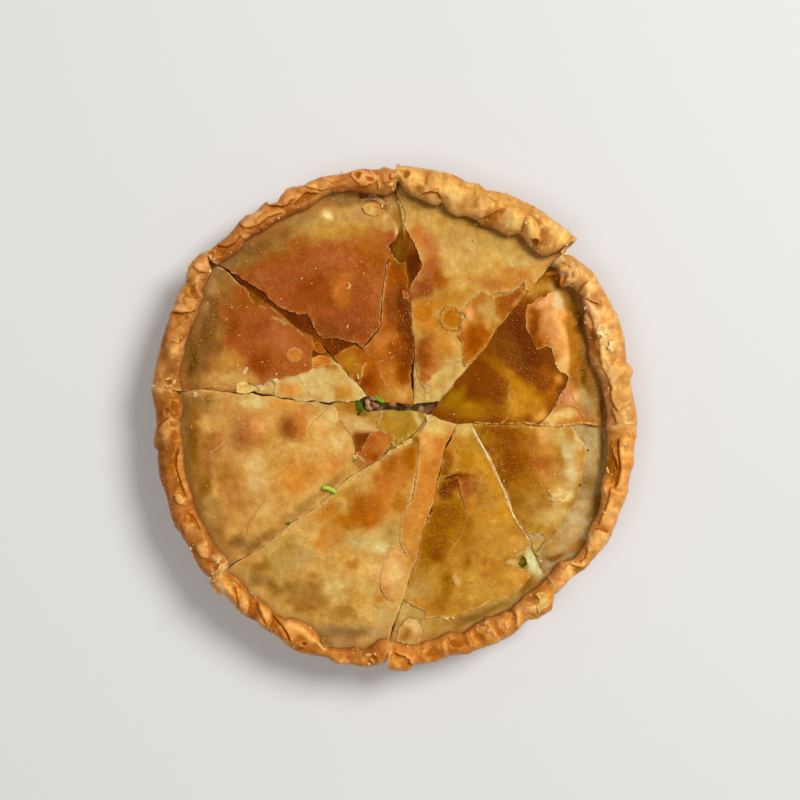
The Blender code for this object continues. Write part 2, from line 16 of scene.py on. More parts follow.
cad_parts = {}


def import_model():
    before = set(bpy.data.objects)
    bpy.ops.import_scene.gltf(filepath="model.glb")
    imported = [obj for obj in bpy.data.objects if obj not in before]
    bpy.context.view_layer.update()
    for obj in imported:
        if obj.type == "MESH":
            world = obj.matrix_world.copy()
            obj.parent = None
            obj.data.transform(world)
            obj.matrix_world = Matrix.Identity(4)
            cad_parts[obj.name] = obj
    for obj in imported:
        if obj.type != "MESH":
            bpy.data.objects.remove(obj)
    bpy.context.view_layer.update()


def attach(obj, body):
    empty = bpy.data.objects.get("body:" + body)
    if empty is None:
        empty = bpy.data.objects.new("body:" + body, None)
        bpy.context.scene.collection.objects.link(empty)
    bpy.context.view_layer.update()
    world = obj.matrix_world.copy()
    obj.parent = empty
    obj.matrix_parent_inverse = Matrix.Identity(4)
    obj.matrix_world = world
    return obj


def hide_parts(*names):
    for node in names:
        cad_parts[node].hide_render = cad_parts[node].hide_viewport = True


MM = 0.001
PIXEL = 0.5
PHOTO_SIDE = 800
MIDDLE_PX = (395.0, 417.5)

# Heights and thicknesses of the case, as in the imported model
LID_EDGE_Z = 21.5
LID_MIDDLE_Z = 27.0
LID_EDGE_RADIUS = (105.5, 111.5)
LID_FALL_POWER = 3.4
LID_UNDER_ROPE = 3.0
ROPE_TOP_Z = 30.3
ROPE_UNDER_Z = 19.0
LID_CRUST = 3.2
BOTTOM_CRUST = 3.2
SIDE_CRUST = 6.0
FILLING_GAP = 0.35
FILLING_DROP = 0.7

# The side: heights with distances in from the rope's outer edge, the rows of points up its
# outer face, and the heights of those on its inner face
SIDE_PROFILE = ((0.0, 13.0), (1.6, 11.2), (7.0, 9.6), (15.0, 7.4), (21.5, 5.5))
SIDE_ROWS = 22
SIDE_INNER_HEIGHTS = (21.5, 16.0, 10.0, 3.0, 0.7)

# How far in from the rope's outer edge the bottom crust and the filling end
BOTTOM_INSET = 13.6
FILLING_INSET = 13.0

# Radii that lengths round the pie are reckoned at
ROPE_OUTER_RADIUS = 115
ROPE_HALF_WIDTH = 7
RIM_RADIUS = 110
SIDE_RADIUS = 100.0

# Mesh spacing, the points round the rope and the share of them above, and the least angle of an
# edge that is seen as sharp
SHEET_GRID = 1.25
LEAF_GRID = 0.85
FILLING_GRID = 1.6
BOTTOM_GRID = 2.4
CHIP_GRID = 0.5
HERB_GRID = 0.4
ROPE_STEP = 0.42
ROPE_SIDES = 76
ROPE_UPPER_SHARE = 0.72
SIDE_STEP = 1.3
EDGE_STEP = 0.9
BOTTOM_EDGE_STEP = 2.0
FILLING_EDGE_STEP = 1.2
SHARP_ANGLE = 62

# A mesh's inner points, as shares of their spacing: the rows' distance, how far each point is
# moved at random, and how far all stay from borders
ROW_SPACING = 0.87
GRID_SHAKE = 0.16
BORDER_CLEARANCE = 0.45

# Where the mesh follows a drawn line: how far at its left
GUIDE_OFFSETS = (-0.5, -0.1, 0.3, 0.75)

# Noise: the number of its directions, where it is cut for flat points, how far each octave is
# shifted, and its strength
NOISE_CELLS = 256
NOISE_LEVEL = 0.37
NOISE_SHIFT = 31.7
NOISE_GAIN = 1.6

# How steeply spots fall at their edges, where that isn't 2
PATCH_POWER = 3.0
BLISTER_POWER = 3.0
KNOB_POWER = 2.6

# A slice's outline past the rim: its points, as shares of the cuts' ends and of their sum
PAST_RIM = 1.2
PAST_RIM_MIDDLE = 0.72
PAST_RIM_POINTS = 3

# How far behind its arc a sector's outline is closed
SECTOR_LENGTH = 150

# How much of the cuts' gaps is left in the bottom crust and the filling
CLOSED_UP = 0.3

# Ends of cuts that the tips of other slices pass, and half of the gap at a tip
HOLE_TOP = (413, 407)
TIP_LOWER = (457, 424)
NARROW = 0.04

# The knife's cuts, from outside the rim to the middle: points, and half of the gap at each
CUTS = {
    "top": [
        (396, 158, 0.02), (397, 180, 0.02), (396, 188, 0.04), (397, 195, 0.08), (399, 205, 0.08),
        (401, 215, 0.04), (403, 232, 0.04), (405, 250, 0.04), (406, 262, 0.04), (408, 275, 0.02),
        (410, 300, 0.08), (411, 312, 0.04), (412, 325, 0.02), (415, 345, 0.02), (414, 358, 0.08),
        (413, 366, 0.45), (412, 375, 0.6), (413, 386, 0.5), (413, 393, 0.14), (413, 407, 0.04),
    ],
    "upper_right": [
        (577, 240, 0.04), (563, 254, 0.04), (553, 263, 0.04), (548, 268, 0.04), (541, 277, 0.02),
        (533, 286, 0.04), (527, 292, 0.02), (520, 301, 0.02), (513, 309, 0.02), (505, 320, 0.02),
        (497, 328, 0.02), (490, 340, 0.02), (486, 348, 0.04), (478, 356, 0.02), (470, 365, 0.04),
        (464, 373, 0.08), (456, 381, 0.08), (451, 389, 0.04), (444, 396, 0.02), (438, 404, 0.04),
        (429, 413, 0.04),
    ],
    "right": [
        (642, 424, 0.02), (628, 424, 0.02), (620, 424, 0.02), (612, 426, 0.04), (606, 425, 0.08),
        (600, 427, 0.04), (592, 426, 0.2), (585, 425, 0.08), (578, 424, 0.04), (565, 426, 0.02),
        (558, 427, 0.04), (545, 426, 0.02), (535, 426, 0.04), (520, 424, 0.02), (505, 425, 0.02),
        (490, 425, 0.02), (480, 424, 0.04), (471, 423, 0.04),
    ],
    "lower_right": [
        (562, 600, 0.02), (555, 588, 0.02), (548, 578, 0.02), (541, 567, 0.04), (537, 559, 0.14),
        (533, 551, 0.08), (531, 545, 0.04), (529, 538, 0.02), (523, 529, 0.02), (517, 519, 0.02),
        (513, 512, 0.02), (510, 502, 0.02), (505, 490, 0.02), (500, 480, 0.02), (493, 463, 0.02),
        (488, 454, 0.02), (480, 440, 0.02), (475, 430, 0.02), (471, 423, 0.04),
    ],
    "bottom": [
        (387, 677, 0.02), (388, 655, 0.02), (390, 645, 0.08), (390, 638, 0.14), (393, 628, 0.4),
        (396, 620, 0.08), (400, 608, 0.02), (404, 598, 0.02), (407, 588, 0.02), (410, 577, 0.02),
        (412, 571, 0.14), (415, 566, 0.02), (417, 558, 0.02), (419, 550, 0.02), (419, 545, 0.02),
        (421, 535, 0.02), (425, 525, 0.02), (427, 518, 0.02), (431, 510, 0.35), (433, 504, 0.04),
        (434, 500, 0.02), (436, 490, 0.02), (437, 480, 0.04), (439, 474, 0.2), (442, 462, 0.02),
        (444, 452, 0.08), (447, 444, 0.45), (451, 438, 0.4), (452, 434, 0.08), (457, 424, 0.04),
    ],
    "lower_left": [
        (203, 587, 0.02), (212, 580, 0.02), (218, 575, 0.02), (225, 571, 0.04), (229, 568, 0.2),
        (232, 565, 0.35), (238, 561, 0.2), (246, 557, 0.08), (249, 555, 0.02), (258, 551, 0.02),
        (270, 541, 0.02), (280, 533, 0.02), (288, 526, 0.04), (293, 521, 0.14), (300, 518, 0.04),
        (310, 511, 0.04), (320, 504, 0.02), (330, 495, 0.04), (335, 490, 0.08), (340, 485, 0.04),
        (349, 477, 0.08), (355, 473, 0.02), (362, 470, 0.02), (370, 465, 0.04), (380, 459, 0.08),
        (386, 453, 0.04), (393, 449, 0.04), (402, 443, 0.14), (410, 438, 0.2), (416, 432, 0.08),
        (420, 427, 0.04), (429, 413, 0.04),
    ],
    "left": [
        (146, 388, 0.02), (160, 390, 0.02), (170, 389, 0.02), (180, 391, 0.04), (185, 392, 0.14),
        (192, 390, 0.04), (200, 389, 0.04), (206, 389, 0.2), (212, 390, 0.04), (220, 391, 0.04),
        (228, 392, 0.08), (235, 393, 0.35), (239, 394, 0.04), (242, 394, 0.2), (248, 393, 0.45),
        (253, 392, 0.5), (257, 394, 0.45), (262, 395, 0.45), (270, 395, 0.4), (275, 396, 0.08),
        (281, 398, 0.2), (290, 399, 0.35), (297, 401, 0.04), (306, 402, 0.02), (311, 401, 0.35),
        (317, 401, 0.02), (323, 403, 0.45), (330, 404, 0.45), (336, 402, 0.14), (345, 402, 0.04),
        (355, 401, 0.08), (374, 405, 0.04),
    ],
    "upper_left": [
        (199, 247, 0.35), (207, 255, 0.2), (211, 260, 0.14), (215, 264, 0.14), (219, 266, 0.4),
        (224, 268, 0.35), (228, 271, 0.5), (232, 275, 0.4), (235, 278, 0.35), (240, 283, 0.4),
        (245, 287, 0.04), (252, 291, 0.02), (262, 299, 0.02), (272, 307, 0.02), (280, 312, 0.02),
        (287, 319, 0.02), (295, 326, 0.04), (303, 331, 0.02), (312, 336, 0.02), (318, 341, 0.04),
        (324, 347, 0.2), (328, 352, 0.4), (332, 356, 0.08), (336, 361, 0.2), (340, 365, 0.02),
        (345, 371, 0.04), (349, 376, 0.2), (353, 380, 0.04), (359, 385, 0.04), (364, 391, 0.2),
        (374, 405, 0.04),
    ],
}

# The hole at the middle, and the torn corner of a slice
HOLE = [(356, 402), (366, 396), (380, 402), (413, 404), (440, 401), (434, 409), (429, 415),
        (415, 411), (383, 410), (368, 412)]
TORN_CORNER = [(519, 560), (523, 556), (527, 559), (528, 565), (523, 568), (518, 565)]

# The slices clockwise from eleven o'clock: the cuts either side, the points that the tip
# passes, and the rope's outer and inner edges
SLICES = [
    dict(cuts=("upper_left", "top"), tip=[(394, 408)], outer=[
        (204, 254), (216, 246), (228, 236), (240, 221), (252, 214), (266, 205), (277, 202),
        (286, 191), (298, 187), (312, 181), (330, 176), (348, 173), (363, 169), (380, 170),
        (396, 170),
    ], inner=[
        (210, 268), (220, 264), (236, 254), (244, 243), (258, 234), (270, 226), (283, 219),
        (297, 213), (312, 206), (319, 200), (332, 193), (348, 191), (364, 194), (380, 195),
        (397, 191),
    ]),
    dict(cuts=("top", "upper_right"), tip=[], outer=[
        (396, 165), (410, 167), (430, 170), (450, 174), (458, 177), (466, 182), (480, 185),
        (486, 190), (503, 193), (515, 199), (530, 205), (550, 218), (568, 231), (576, 239),
    ], inner=[
        (398, 183), (404, 190), (418, 199), (430, 205), (436, 206), (441, 203), (448, 213),
        (456, 217), (470, 219), (479, 225), (494, 229), (508, 237), (519, 234), (529, 247),
        (543, 257), (557, 253), (566, 251),
    ]),
    dict(cuts=("upper_right", "right"), tip=[(440, 419), TIP_LOWER], outer=[
        (560, 251), (572, 256), (588, 268), (598, 281), (608, 298), (618, 318), (624, 338),
        (626, 362), (633, 371), (630, 384), (634, 402), (637, 426),
    ], inner=[
        (551, 264), (560, 278), (570, 286), (581, 298), (584, 314), (585, 332), (588, 352),
        (596, 370), (602, 390), (606, 410), (606, 430),
    ]),
    dict(cuts=("right", "lower_right"), tip=[], outer=[
        (636, 420), (636, 436), (633, 456), (634, 464), (629, 480), (625, 500), (617, 520),
        (610, 538), (598, 552), (586, 567), (570, 579), (557, 592),
    ], inner=[
        (606, 420), (607, 440), (606, 460), (600, 482), (601, 497), (597, 515), (589, 530),
        (583, 541), (573, 555), (558, 563), (543, 572),
    ]),
    dict(cuts=("lower_right", "bottom"), tip=[TIP_LOWER], outer=[
        (558, 586), (554, 606), (539, 617), (528, 619), (516, 632), (496, 643), (469, 653),
        (451, 655), (437, 661), (416, 664), (411, 670), (398, 671), (384, 668),
    ], inner=[
        (544, 580), (523, 596), (513, 605), (509, 612), (494, 616), (484, 619), (466, 631),
        (455, 633), (443, 634), (425, 641), (413, 645), (392, 641),
    ]),
    dict(cuts=("bottom", "lower_left"), tip=[(440, 419)], outer=[
        (392, 656), (386, 662), (373, 665), (352, 664), (338, 663), (328, 657), (303, 653),
        (289, 646), (277, 635), (262, 627), (246, 616), (230, 600), (219, 590), (209, 580),
    ], inner=[
        (396, 639), (378, 639), (366, 649), (350, 647), (335, 648), (322, 641), (312, 627),
        (297, 619), (284, 618), (273, 611), (262, 601), (250, 595), (240, 580), (224, 570),
    ]),
    dict(cuts=("lower_left", "left"), tip=[HOLE_TOP, (394, 408)], outer=[
        (212, 582), (203, 572), (190, 548), (181, 533), (173, 520), (168, 500), (161, 480),
        (159, 460), (154, 445), (156, 420), (152, 384),
    ], inner=[
        (230, 570), (227, 556), (215, 545), (206, 528), (194, 503), (187, 478), (184, 455),
        (181, 428), (184, 408), (180, 384),
    ]),
    dict(cuts=("left", "upper_left"), tip=[], outer=[
        (152, 392), (154, 378), (158, 356), (163, 337), (170, 315), (177, 296), (186, 281),
        (188, 268), (200, 255), (207, 247),
    ], inner=[
        (182, 392), (179, 378), (184, 358), (188, 338), (195, 322), (199, 309), (203, 296),
        (206, 284), (212, 268), (216, 260),
    ]),
]

# Broad rises and hollows of the lid: place and half sizes in pixels, direction in degrees,
# and height in millimetres
SWELLS = [
    (566, 348, 55, 16, -72, 3.0), (518, 340, 34, 18, -60, -1.6), (578, 470, 40, 14, -80, 2.2),
    (520, 440, 34, 24, 0, 0.8), (330, 275, 60, 46, 20, 1.6), (270, 345, 42, 30, 40, 1.3),
    (251, 431, 17, 17, 0, 2.5), (292, 428, 14, 13, 0, 1.4), (262, 480, 50, 34, -60, 1.1),
    (385, 505, 26, 40, -50, 1.4), (312, 600, 30, 16, 10, -0.9), (345, 588, 36, 18, 10, 1.0),
    (480, 540, 42, 30, -50, 1.1), (460, 255, 50, 30, -25, 1.0), (425, 345, 14, 44, 80, 0.9),
    (405, 420, 40, 14, 0, -1.6), (440, 610, 60, 14, -10, -0.9),
]

# Colours of the pastry: edges, the painted shade in cracks and cuts, and crumbs
PALE_EDGE = (238, 205, 146)
LEAF_EDGE = (230, 172, 96)
CRUMB = (226, 184, 118)
PALE_CRUMB = (252, 224, 168)
BROWN_CRUMB = (206, 138, 66)
# The crack colour is painted shade at the foot of a step in the lid
CRACK_SHADE = (132, 74, 20)
CUT_SHADE = (118, 68, 20)
CUT_PASTRY = (214, 170, 104)
SHEET_EDGE = (168, 112, 52)
SHEET_UNDER = (188, 140, 78)
FLOUR = (0.86, 0.60, 0.26)

# Burst bubbles of the lid and the rope: the pale rim, and the painted shade in the hollow
LID_BUBBLE = (236, 190, 112)
LID_HOLLOW_SHADE = (176, 100, 28)
ROPE_BUBBLE = (246, 208, 130)
ROPE_PIT_SHADE = (168, 92, 20)

# The rope's crests (painted highlight), hollows and creases (painted shade), and foot
ROPE_CREST_HIGHLIGHT = (250, 208, 134)
ROPE_HOLLOW_SHADE = (174, 94, 34)
ROPE_CREASE_SHADE = (168, 88, 18)
# The foot's colour is partly the rope's deeper browning low down, partly painted shade under it
ROPE_FOOT_BROWN_AND_SHADE = (132, 84, 38)

# The side and the bottom
SIDE = (196, 128, 62)
SIDE_PALE = (224, 172, 102)
SIDE_BROWN = (164, 96, 42)
FOOT_BROWN = (150, 88, 40)
BOTTOM = (196, 132, 68)
BOTTOM_PALE = (222, 172, 104)
BOTTOM_BROWN = (160, 94, 42)
BOTTOM_EDGE = (206, 158, 92)

# The filling
MINCE = (128, 84, 50)
MINCE_PALE = (196, 152, 108)
MINCE_HERB = (66, 56, 16)
MINCE_DARK = (52, 32, 10)
CORNER_HERB = (158, 132, 30)

# Where the filling swells, at the hole and the torn corner: place and half sizes in pixels, and
# direction
HOLE_SPOT = (398, 405, 52, 12, 0)
CORNER_SPOT = (528, 560, 16, 14, 0)

# What the gloss adds to a colour that is seen in the soft light, and the darkest tint
GLOSS_VEIL = (0.006, 0.007, 0.006)
DARKEST = 0.001

# What the warm light is made up for by, and slices whose colours are scaled more or less than the
# rest
TONE = (1.0, 0.95, 0.90)
SLICE_TONE = {2: (0.90, 0.86, 0.76), 3: (1.02, 1.04, 1.12), 5: (1.03, 1.05, 1.10)}

# The crust's middling colour, how far painted colours are drawn away from it, and the least
# value that they keep
MIDDLING = np.array((185.0, 124.0, 52.0))
CONTRAST = 1.3
LEAST_PAINT = 3

# How wide the pale or dark band of a broken edge is
RAGGED_WIDTH = 0.4

# The trough beside the rope: its colour, which is partly duller browning and partly painted
# shade under the rope; its width; and how strong it is on each slice
TROUGH_TONE_AND_SHADE = (148, 111, 61)
TROUGH_WIDTH = 4.2
TROUGH_SHARE = {1: 0.5, 2: 0.5, 3: 0.6, 4: 0.12, 5: 0.2, 6: 0.35, 7: 0.75, 8: 0.6}

# The lower layer of the lid: a base colour for each slice, and its patches as
# (x, y, half length, half width, direction, colour, strength)
LOWER = {
    # Slice 1's dark base and first two patches are partly painted shade under the leaf above
    1: ((122, 54, 6), [
        (320, 345, 14, 8, -45, (158, 78, 12), 0.9), (330, 345, 8, 5, 0, (124, 56, 6), 0.8),
        (400, 250, 5, 16, 0, (124, 86, 22), 0.9), (390, 206, 10, 18, 10, (190, 146, 80), 1.0),
        (397, 222, 5, 9, 0, (176, 128, 54), 0.9),
    ]),
    2: ((216, 176, 104), [
        (414, 266, 12, 28, 0, (108, 38, 2), 1.0), (408, 240, 4, 10, 0, (140, 70, 6), 0.9),
        (404, 292, 5, 14, 0, (112, 44, 2), 1.0), (458, 368, 16, 5, 38, (216, 180, 106), 0.7),
        (440, 382, 14, 6, 45, (206, 166, 84), 0.7), (424, 394, 7, 6, 0, (200, 160, 78), 0.7),
    ]),
    # Slice 3's dark base and its patches at (512, 336), (526, 362) and (536, 378) are partly
    # painted shade from slice 2's raised edge
    3: ((140, 72, 8), [
        (512, 336, 30, 26, 60, (120, 54, 2), 1.0), (526, 362, 14, 22, 30, (118, 54, 4), 1.0),
        (528, 288, 12, 8, -10, (206, 146, 76), 0.9), (548, 287, 14, 7, -10, (180, 128, 50), 0.9),
        (521, 301, 6, 6, 0, (176, 98, 34), 0.9), (555, 291, 6, 5, 0, (222, 188, 124), 0.85),
        (498, 368, 32, 7, -44, (160, 98, 16), 0.9), (524, 395, 20, 12, -44, (196, 130, 38), 0.95),
        (512, 384, 16, 8, -44, (182, 118, 28), 0.8), (480, 378, 14, 14, 0, (138, 72, 12), 0.8),
        (494, 388, 13, 9, 0, (138, 70, 0), 0.9), (470, 390, 9, 8, 45, (130, 64, 6), 0.9),
        (454, 398, 16, 8, 45, (166, 116, 30), 0.95), (474, 410, 24, 10, 0, (170, 116, 28), 0.95),
        (494, 412, 12, 9, 0, (156, 92, 2), 0.9), (463, 411, 8, 5, 0, (174, 112, 16), 0.7),
        (516, 408, 12, 14, 0, (202, 140, 46), 0.95), (536, 404, 10, 12, 30, (192, 126, 36), 0.9),
        (536, 378, 14, 9, -46, (134, 64, 4), 0.95), (552, 392, 12, 8, 56, (174, 98, 16), 0.9),
        (549, 372, 10, 8, 0, (160, 86, 14), 0.85), (559, 378, 6, 8, 0, (222, 152, 70), 0.9),
        (540, 416, 10, 6, 40, (228, 170, 78), 0.85),
    ]),
    4: ((184, 150, 92), [
        (588, 436, 7, 12, 0, (172, 142, 94), 0.8), (602, 452, 3, 24, 0, (140, 98, 36), 0.8),
        (590, 482, 7, 9, 0, (152, 110, 50), 0.8), (595, 506, 5, 14, -20, (132, 82, 24), 0.8),
        (578, 512, 12, 12, 0, (204, 168, 110), 0.9), (572, 532, 18, 12, 20, (200, 160, 96), 0.9),
        (566, 545, 10, 6, 0, (192, 146, 80), 0.7), (550, 545, 8, 9, 0, (192, 142, 68), 0.9),
        (532, 545, 7, 10, -60, (202, 158, 80), 1.0), (555, 557, 12, 5, 10, (132, 74, 14), 0.95),
    ]),
    5: ((190, 146, 72), [
        (495, 608, 22, 4, 28, (156, 108, 40), 0.8), (470, 620, 14, 5, 15, (140, 94, 36), 0.8),
        (455, 626, 12, 5, 0, (156, 104, 36), 0.9), (438, 629, 14, 8, 0, (184, 132, 52), 0.8),
        (424, 630, 6, 10, 0, (202, 160, 84), 0.7), (402, 612, 8, 8, 0, (204, 162, 84), 0.8),
        (530, 586, 14, 5, 48, (150, 96, 24), 0.8), (534, 562, 7, 15, 20, (224, 214, 152), 1.0),
        (523, 563, 6, 8, 0, (160, 142, 34), 1.0), (512, 562, 6, 5, 0, (226, 186, 110), 0.9),
    ]),
    6: ((186, 144, 84), [
        (340, 634, 30, 6, -12, (164, 124, 72), 0.8), (300, 610, 20, 6, -30, (160, 116, 54), 0.7),
    ]),
    7: ((206, 160, 88), [
        # The patches at (360, 442), (366, 436) and (357, 450) are painted shadow under the folded
        # flake
        (360, 442, 7, 10, 0, (136, 68, 10), 1.0), (366, 436, 8, 5, 0, (124, 56, 4), 0.9),
        (357, 450, 4, 5, 0, (152, 82, 14), 0.8), (358, 408, 22, 9, -10, (176, 114, 34), 0.9),
        (372, 420, 12, 5, 0, (184, 136, 62), 0.8), (365, 412, 8, 4, 0, (140, 96, 30), 0.9),
        (362, 424, 14, 5, 0, (206, 164, 96), 0.8), (386, 445, 9, 8, 30, (158, 112, 44), 0.9),
        (405, 438, 14, 6, 20, (150, 96, 26), 0.9),
    ]),
    8: ((210, 170, 98), [
        (268, 306, 36, 5, -38, (166, 86, 24), 1.0), (252, 296, 10, 5, -38, (140, 86, 20), 0.9),
        (322, 347, 14, 10, -40, (150, 72, 6), 1.0), (318, 356, 9, 8, 0, (122, 50, 0), 1.0),
        (325, 365, 9, 3, 15, (206, 134, 44), 0.9), (300, 331, 14, 5, -36, (152, 76, 14), 0.9),
        (330, 382, 24, 12, -30, (210, 174, 104), 0.9), (346, 390, 14, 8, -40, (186, 120, 36), 0.9),
    ]),
}

